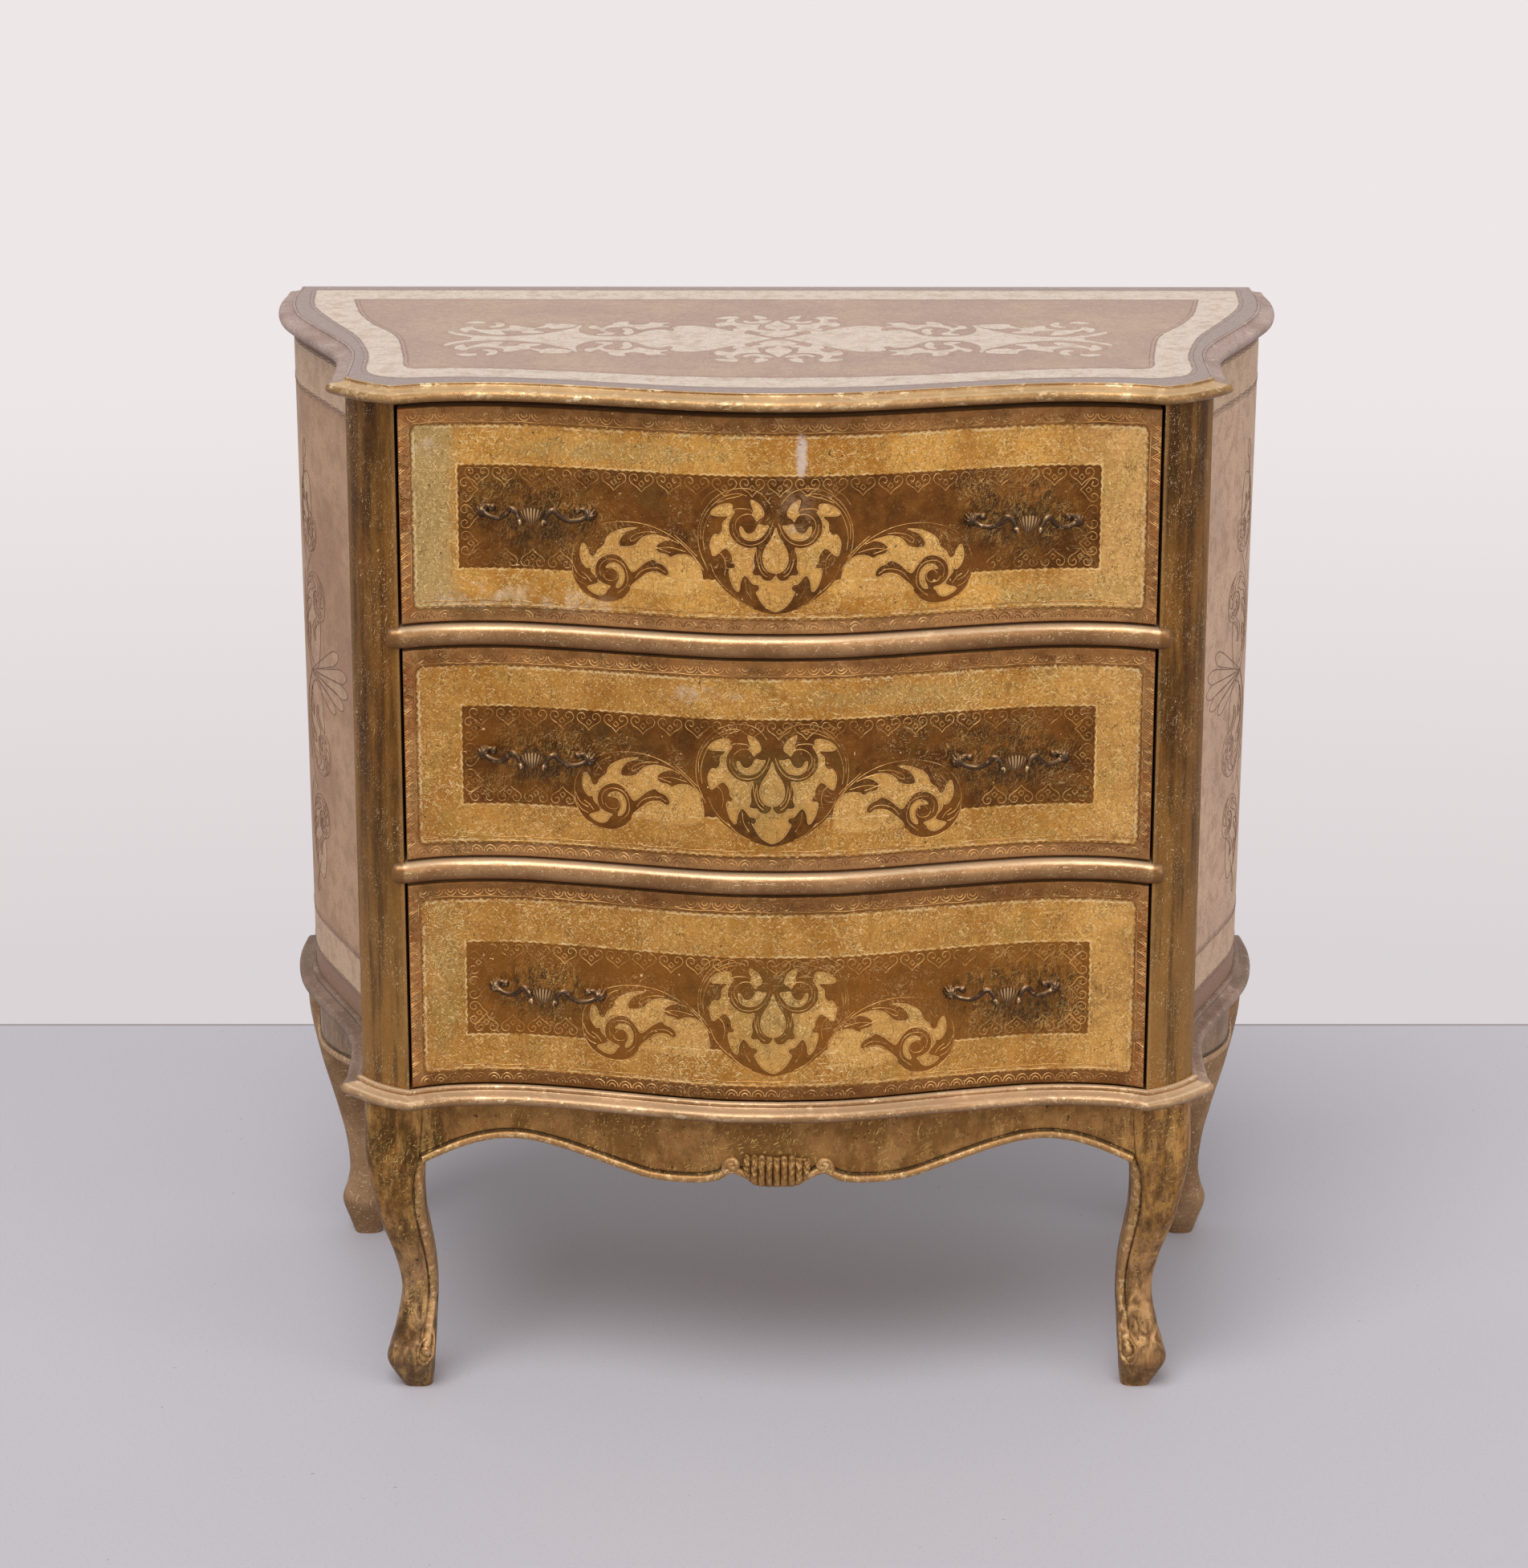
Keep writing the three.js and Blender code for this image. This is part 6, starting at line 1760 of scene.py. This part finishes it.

# %% [markdown]
# ## Gilded mouldings, bronze-gold posts and legs, painted case, brass
# These share the same way of ageing: broad and fine changes of tone, wear that shows the pale ground or
# the reddish bole, and dirt in fine specks. Height and distance along the case steer the tone, so that
# the apron runs into the knees without a seam, as the real gilding does over the joint. Some tones are
# painted light: highlights on the faces of the gilt mouldings, rails and pulls that turn up and shade on
# those that turn down, shade in the grooves and the ankle carving, a highlight on the inner edges of the
# posts, a lighter right side panel and a darker left base moulding.

# %% Other finishes


def aged_gold(name, light, dark, rubbed, dirt_and_shade_tone, gloss=0.4, metal=0.4, wear=0.56, red=0.0,
              chipped=0.0, highlight_tone=None, highlight_from=0.58, end_tone=None, left_dark=0.0):
    f = Finish(name)
    broad, middle, fine = f.noise(60, 4, 0.6), f.noise(13, 5, 0.65), f.noise(2.0, 3, 0.6)
    colour = f.mix(f.step(broad, 0.38, 0.62), dark, light)
    colour = f.mix(f.step(middle, 0.45, 0.65) * 0.4, colour, dark)
    if red:
        bole = f.patches(0.53, 0.68, 22, 4, 0.65, shift=(0.3, 0.1, 0.6))
        colour = f.mix(bole * red, colour, (142, 84, 52))
    rub = f.patches(wear, wear + 0.1, 6, 5, 0.7, stretch=(0.5, 0.5, 1), shift=(0.1, 0.7, 0.2))
    colour = f.mix(rub * 0.6, colour, rubbed)
    specks = chips(f, 2.6, 0.68, (0.6, 0.2, 0.9))
    colour = f.mix(specks * 0.7, colour, dirt_and_shade_tone)
    pale = f.most(scratches(f, 10, 0.6, 0.69), scratches(f, 9, 0.6, 0.7, 1.2))
    if chipped:
        flakes = f.patches(0.66 - chipped, 0.68 - chipped, 8, 5, 0.7,
                           stretch=(0.4, 0.4, 1), shift=(0.8, 0.3, 0.4))
        pale = f.most(pale, flakes)
    colour = f.mix(pale * 0.75, colour, (238, 216, 174))
    colour = f.mix(f.step(fine, 0.5, 0.75) * 0.3, colour, dirt_and_shade_tone)
    if highlight_tone:
        # painted shade on faces that turn down and a painted highlight on faces that turn up, from the stored
        # normal
        lean = f.kept("lean") + (middle - 0.5) * 0.3
        colour = f.mix(f.fall(lean, -0.8, 0.05) * 0.55, colour, dirt_and_shade_tone)
        colour = f.mix(f.step(lean, highlight_from, highlight_from + 0.34) * (0.55 + rub * 0.25), colour, highlight_tone)
    # painted shade: the left half is darker than the right
    if left_dark:
        colour = f.mix(f.fall(f.x, -90, 90) * left_dark, colour, dirt_and_shade_tone)
    if end_tone:
        past_end = f.step(f.size_of(f.x) + (middle - 0.5) * 3, OPENING_HALF - 1.5, OPENING_HALF + 1.5)
        colour = f.mix(past_end * 0.8, colour, end_tone)
    roughness = gloss + fine * 0.2 - rub * 0.05
    return f.settle(colour, roughness, metal, fine * 0.5 + middle * 0.6 - pale * 0.3, 0.4)


APRON_TONES = ((160, 116, 66), (126, 86, 42))
KNEE_TONES = ((150, 106, 56), (88, 60, 28))
FOOT_TONES = ((156, 120, 86), (114, 86, 56))
POST_TONES = ((116, 74, 26), (86, 54, 16))


def bronzed_finish():
    f = Finish("bronzed_gold")
    bead, groove = f.kept("bead"), f.kept("groove")
    broad, middle, fine = f.noise(60, 4, 0.6), f.noise(13, 5, 0.65), f.noise(2.0, 3, 0.6)
    aside = f.size_of(f.x)
    cloud = f.patches(0.4, 0.6, 30, 5, 0.65, stretch=(1, 1, 0.6))
    apron_tone, knee_tone, foot_tone, post_tone = (f.mix(cloud, *tones) for tones in
                                                   (APRON_TONES, KNEE_TONES, FOOT_TONES, POST_TONES))
    wander = (broad - 0.5) * 70
    in_front = f.fall(f.y, -118, -96)
    on_post = f.step(f.z, 248, 250)
    streak = f.noise(9, 4, 0.6, f.stretched((1, 1, 0.07), (0.4, 0.2, 0)))
    ragged = (middle - 0.5) * 10
    inner = f.fall(aside + ragged * 0.3, 279.6, 282)
    outer = f.step(aside + ragged * 0.4, 311, 315)
    bole = f.patches(0.54, 0.68, 26, 5, 0.65, shift=(0.3, 0.1, 0.6))
    below = 1 - on_post
    amber = f.patches(0.48, 0.6, 11, 5, 0.7, stretch=(1, 1, 0.6), shift=(0.7, 0.2, 0.5))
    amber = amber * in_front * below * f.step(f.z, 70, 120)
    right_leg = f.step(f.x, 200, 262) * in_front * below
    run = f.noise(7, 5, 0.65, f.stretched((1, 1, 0.18), (0.2, 0.6, 0.1)))
    on_leg = below * in_front * f.step(aside, 240, 262)
    smoke = f.patches(0.55, 0.66, 16, 5, 0.7, stretch=(1, 1, 0.7), shift=(0.8, 0.1, 0.3))
    green = f.patches(0.54, 0.62, 12, 5, 0.7, shift=(0.5, 0.4, 0.8))
    rub = f.patches(0.56, 0.64, 6, 5, 0.7, stretch=(1, 1, 0.5), shift=(0.1, 0.7, 0.2))
    strokes = f.most(scratches(f, 8, 0.7, 0.67, 0.4), scratches(f, 8, 0.65, 0.68, 1.3, 0.4),
                     chips(f, 3.0, 0.72))
    clustered = f.patches(0.42, 0.58, 30, 3, 0.6, shift=(0.9, 0.3, 0.2))
    pale = strokes * (0.15 + clustered * (0.85 - on_post * 0.15))
    roughness = 0.36 + fine * 0.22
    at_ankle = f.step(f.z, 22, 40) * f.fall(f.z, 66, 92) * in_front
    carved = f.noise(11, 1.0, 0.4, f.stretched((1, 1, 0.6), (0.3, 0.3, 0.9)), 1.5)
    height = fine * 0.5 + middle * 0.8 - groove * 0.3 + carved * at_ankle * 6
    colour = f.layers(f.mix(f.step(aside + wander, 218, 268) * in_front, apron_tone, knee_tone), [
        (f.fall(f.z + wander, 95, 165), foot_tone),
        ((1 - in_front) * 0.7, f.mix(cloud, (152, 126, 102), (122, 98, 78))),
        (on_post, post_tone),
        (on_post * f.step(f.z + wander, 690, 780) * 0.55, (70, 44, 14)),
        (on_post * f.fall(f.z + wander, 280, 560) * 0.65, (162, 120, 66)),
        (on_post * f.step(streak, 0.46, 0.62) * 0.4, (158, 110, 50)),
        (on_post * f.fall(streak, 0.36, 0.48) * 0.55, (60, 36, 14)),
        # painted highlight along the inner edge of each post
        (on_post * inner * 0.3, (186, 146, 92)),
        (on_post * outer * 0.45, (152, 112, 62)),
        (bole * (0.45 - on_post * 0.3), (140, 84, 40)),
        (f.fall(f.z, 24, 70) * 0.6, (82, 62, 42)),
        (right_leg * 0.25, (196, 144, 90)),
        (amber * f.step(aside, 255, 285) * (0.15 + f.step(f.x, -40, 40) * 0.35), (190, 138, 62)),
        (on_leg * f.fall(run, 0.4, 0.5) * 0.5, (74, 46, 16)),
        (on_leg * f.step(run, 0.52, 0.62) * 0.35, (212, 162, 96)),
        (on_leg * smoke * 0.5, (66, 40, 12)),
        (below * in_front * green * 0.3, (84, 68, 32)),
        (bead * 0.6, f.mix(middle, (196, 154, 104), (158, 116, 70))),
        (bead * f.patches(0.52, 0.6, 5, 4, 0.7) * 0.6, (224, 190, 142)),
        # painted shade in the grooves of the legs and apron and between the shell's flutes
        (f.step(groove, 0.7, 1.7) * 0.8, (46, 30, 12)),
        (rub * (0.4 - on_post * 0.28), (182, 142, 84)),
        (f.step(fine, 0.5, 0.75) * 0.25, (58, 42, 18)),
        (pale * 0.8, f.mix(below, (232, 204, 158), (222, 190, 110))),
        (chips(f, 2.8, 0.69, (0.2, 0.8, 0.4)) * (0.8 - on_post * 0.4), (34, 28, 14)),
        # painted shade in the hollows and painted highlights on the highs of the ankle carving
        (at_ankle * f.fall(carved, 0.36, 0.5) * 0.55, (70, 46, 22)),
        (at_ankle * f.step(carved, 0.54, 0.66) * 0.4, (226, 178, 122)),
    ])
    return f.settle(colour, roughness, 0.5, height, 0.5)


def painted_case_finish():
    f = Finish("painted_case", specular=0.3)
    leaf, band, margin, side_share = (f.kept(name) for name in ("leaf", "band", "margin", "side"))
    broad, middle, fine = f.noise(90, 4, 0.6), f.noise(14, 5, 0.65), f.noise(1.6, 3, 0.6)
    ragged = (f.noise(3.0, 3) - 0.5) * 1.2
    weave = f.noise(1.5, 2, 0.6, f.stretched((0.25, 1, 1)))
    cloud, patchy = f.step(broad, 0.38, 0.62), f.step(middle, 0.45, 0.65)
    top_field = f.mix(cloud, (173, 147, 132), (185, 158, 139))
    pale_back = f.step(f.y + (middle - 0.5) * 60, 70, 190)
    margin_tone = f.mix(side_share, (158, 142, 136), (146, 112, 90))
    spread = leaf + ragged * 0.5 + (1 - side_share) * 1.3
    inside = f.step(spread, -0.4, 0.4) * (1 - side_share * (0.4 + f.patches(0.45, 0.6, 9, 4, 0.65) * 0.4))
    light = f.most(inside, f.step(band + ragged, -0.4, 0.4))
    edge_line = f.most(f.near(band + ragged * 0.4, 0.3, 1.1), f.near(band + 3.2, 0.2, 0.7))
    broken = f.patches(0.38, 0.5, 8, 4, 0.65, shift=(0.2, 0.2, 0.5))
    rim = f.near(spread, 0.2, 0.9)
    echo = f.near(spread + 2.8, 0.15, 0.6)
    crack = f.fall(f.cells(5.0, f.warped(0.004, 9)), 0.0, 0.06)
    pale = f.most(scratches(f, 14, 0.6, 0.7), chips(f, 2.6, 0.73))
    stain = f.patches(0.7, 0.76, 5, 4, 0.7, stretch=(0.3, 0.3, 1), shift=(0.3, 0.6, 0.1))
    side_field = f.layers(f.mix(cloud, (194, 154, 120), (170, 130, 100)), [
        (pale_back * 0.45, (206, 180, 156)),
        # the right side panel is painted lighter, as painted light on that side
        (f.step(f.x, -100, 100) * 0.4, (228, 198, 172)),
    ])
    field = f.layers(f.mix(side_share, top_field, side_field), [
        (patchy * 0.45, f.mix(side_share, (170, 142, 126), (146, 108, 78))),
        (f.step(margin + ragged, -0.3, 0.5), margin_tone),
    ])
    cream = f.layers(f.mix(patchy, (216, 200, 184), (198, 178, 160)), [
        (side_share, f.mix(patchy, (204, 172, 142), (186, 152, 122))),
    ])
    colour = f.layers(f.mix(light, field, cream), [
        (edge_line * (0.3 + broken * 0.45), (124, 98, 84)),
        (rim * 0.6, (150, 116, 96)),
        (echo * broken * 0.45 * (1 - side_share), (140, 108, 90)),
        (crack * 0.3, (126, 98, 82)),
        (f.step(weave, 0.5, 0.75) * 0.3, (140, 112, 94)),
        (f.step(fine, 0.5, 0.75) * 0.25, (128, 100, 86)),
        (pale * 0.6, (236, 224, 208)),
        (stain * 0.4, (120, 90, 72)),
    ])
    return f.settle(colour, 0.5 + fine * 0.15, 0.0, fine * 0.6 + weave * 0.4 - crack * 0.4, 0.25)


def brass_finish():
    f = Finish("dark_brass", specular=0.4)
    fan, raised = f.kept("fan"), f.kept("raised")
    middle, fine = f.noise(6, 3, 0.6), f.noise(1.2, 3, 0.6)
    lean = f.kept("lean") + (middle - 0.5) * 0.4
    colour = f.layers(f.mix(middle, (96, 70, 46), (52, 38, 26)), [
        # painted shade on faces that turn down and a painted highlight on faces that turn up
        (f.fall(lean, -0.9, -0.1) * 0.6, (26, 18, 12)),
        (f.step(lean, 0.5, 0.95) * 0.65, (222, 182, 132)),
        (fan * raised, (158, 122, 82)),
        (fan * f.step(raised, 0.75, 1.0) * 0.5, (216, 182, 132)),
        (f.patches(0.56, 0.66, 3.5, 4, 0.65) * 0.6, (196, 160, 114)),
        (f.step(fine, 0.55, 0.8) * 0.4, (34, 26, 20)),
    ])
    return f.settle(colour, 0.26 + fine * 0.15, 0.7, fine, 0.1)


# light, dark and rubbed tones, the tone of dirt and of painted shade, then roughness, metal, wear, bole,
# chips and the painted highlight's tone
gilt = aged_gold("gilt_front_mouldings", (180, 142, 94), (138, 102, 60), (224, 196, 150),
                 (112, 76, 42), 0.28, 0.5, 0.54, 0.25, 0.05, (228, 196, 148))
rose_gilt = aged_gold("gilt_base_moulding", (182, 146, 108), (146, 112, 76), (218, 188, 148),
                      (118, 84, 54), 0.24, 0.5, 0.55, 0.2, 0.04, (240, 210, 172))
bronzed = bronzed_finish()
rail_gilt = aged_gold("gilt_rails", (172, 132, 90), (138, 100, 62), (220, 190, 146),
                      (104, 70, 40), 0.22, 0.5, 0.6, 0.2, 0.0, (250, 220, 180), 0.42, (116, 78, 38))
plain_bronze = aged_gold("plain_bronze", (166, 132, 98), (132, 100, 70), (190, 156, 118), (96, 72, 48),
                         0.4, 0.4, 0.6)
painted_edge = aged_gold("painted_edges", (172, 150, 142), (150, 126, 116), (204, 184, 168),
                         (96, 72, 60), 0.5, 0.0, 0.56)
base_edge = aged_gold("painted_base_edges", (158, 132, 116), (126, 102, 88), (188, 162, 144),
                      (84, 64, 50), 0.5, 0.0, 0.56, left_dark=0.35)
tooled_line = aged_gold("tooled_lines", (206, 154, 84), (136, 90, 38), (232, 190, 122), (110, 70, 30),
                        0.45, 0.4, 0.5)
punched_line = aged_gold("punched_lines", (214, 160, 92), (112, 66, 28), (238, 196, 130),
                         (60, 34, 14), 0.5, 0.4, 0.5)
drawn_line = aged_gold("drawn_lines", (128, 98, 80), (108, 80, 62), (160, 130, 106), (90, 66, 50),
                       0.5, 0.0, 0.6)
painted_case = painted_case_finish()
dark_brass = brass_finish()
print(len(bpy.data.materials), "materials")

# %% Finishes on the new pieces
FRONT_BACK_REACH = 3


def give(piece, *finishes):
    piece.data.materials.clear()
    for finish in finishes:
        piece.data.materials.append(finish)


# the first of these words that is in a piece's name decides; the rest is bronzed
LOOKS = {
    "top_painted": painted_case, "side_panel": painted_case, "drawn_lines": drawn_line,
    "base_moulding_front": rose_gilt, "moulding_front": gilt,
    "base_moulding": base_edge, "top_moulding": painted_edge,
    "rear_leg": plain_bronze, "rail": rail_gilt, "pull": dark_brass,
    "punched": punched_line, "tooled": tooled_line, "leaf_lines": tooled_line,
}
for piece in made:
    name = piece.name
    # each vertex's upward lean, which the gilt and brass finishes turn into painted highlights and painted
    # shade
    if "rail" in name or "moulding_front" in name or "pull" in name:
        keep_number(piece, "lean", [vertex.normal.z for vertex in piece.data.vertices])
    if name.endswith("front_board"):
        give(piece, front_face_finish, wood[0])
        centres = np.array([tuple(face.center) for face in piece.data.polygons]) / MM
        behind = centres[:, 1] > front_y(centres[:, 0]) + FRONT_BACK_REACH
        piece.data.polygons.foreach_set("material_index", behind.astype(np.int32))
    else:
        give(piece, next((look for word, look in LOOKS.items() if word in name), bronzed))
print("finishes given to", len(made), "pieces")

# %% Finishes on the CAD pieces that stay in sight
GRAIN = {"side": 1, "runner": 1, "post": 2}
for name, node in nodes.items():
    axis = next((value for word, value in GRAIN.items() if word in name), 0)
    give(node, gilt if name == "base_rail" else wood[axis])

# %% [markdown]
# ## Floor, background and light
# The floor is a plain pale grey that ends behind the chest, as the studio's floor does at its wall. The
# wall itself is the world's colour. The light is soft and even: the world and two broad lamps.

# %% Floor, world and lamps
FLOOR_BACK_Y = 0.68
bpy.ops.object.select_all(action="DESELECT")
bpy.ops.mesh.primitive_plane_add(size=12, location=(0, FLOOR_BACK_Y - 6, 0))
floor = bpy.context.object
floor.name = floor.data.name = "studio_floor"
bpy.ops.object.transform_apply(location=True)
f = Finish("studio_floor")
floor_colour = f.layers(f.mix(f.noise(400, 2), (192, 189, 196), (187, 184, 191)), [
    (f.patches(0.5, 0.8, 2.5, 2, 0.6) * 0.35, (160, 156, 164)),
    (chips(f, 7, 0.76) * 0.6, (110, 100, 100)),
    # painted shade along the floor's back edge, where it meets the wall
    (f.step(f.y, FLOOR_BACK_Y / MM - 7, FLOOR_BACK_Y / MM - 3) * 0.8, (150, 138, 138)),
])
give(floor, f.settle(floor_colour, 0.6))

WALL_HIGH, WALL_LOW = (238, 231, 232), (218, 212, 214)
WALL_FADE = (-0.325, -0.205)
LIGHT_STRENGTH = 0.44
world = bpy.data.worlds.new("studio")
bpy.context.scene.world = world
world.use_nodes = True
world.node_tree.nodes.clear()
sky = Nodes(world.node_tree)
way = sky.node("ShaderNodeTexCoord", output="Generated")
height = sky.node("ShaderNodeSeparateXYZ", {}, {0: way}, "Z")
reach = {"From Min": WALL_FADE[0], "From Max": WALL_FADE[1]}
fade = sky.node("ShaderNodeMapRange", {}, {"Value": height} | reach)
wall = sky.mix(fade, WALL_LOW, WALL_HIGH)
seen = sky.node("ShaderNodeBackground", {}, {"Color": wall, "Strength": 1.0})
lit = sky.node("ShaderNodeBackground", {}, {"Color": (1, 0.985, 0.98, 1), "Strength": LIGHT_STRENGTH})
rays = sky.node("ShaderNodeLightPath").socket.node.outputs
straight = [Wire(sky, rays[f"Is {kind} Ray"]) for kind in ("Camera", "Glossy", "Transmission")]
blend = sky.node("ShaderNodeMixShader", {}, {0: sky.most(*straight), 1: lit, 2: seen})
world.node_tree.links.new(blend.socket, world.node_tree.nodes.new("ShaderNodeOutputWorld").inputs[0])


def soft_sun(name, azimuth, elevation, strength, spread):
    """A broad far lamp: azimuth is from straight ahead of the chest, positive to its right."""
    data = bpy.data.lights.new(name, "SUN")
    data.angle = math.radians(spread)
    data.energy = strength
    lamp = bpy.data.objects.new(name, data)
    bpy.context.scene.collection.objects.link(lamp)
    lamp.rotation_euler = (math.radians(90 - elevation), 0, math.radians(azimuth))


soft_sun("key", -18, 56, 2.1, 40)
soft_sun("fill", 42, 26, 0.85, 50)
bpy.context.scene.view_settings.view_transform = "Standard"
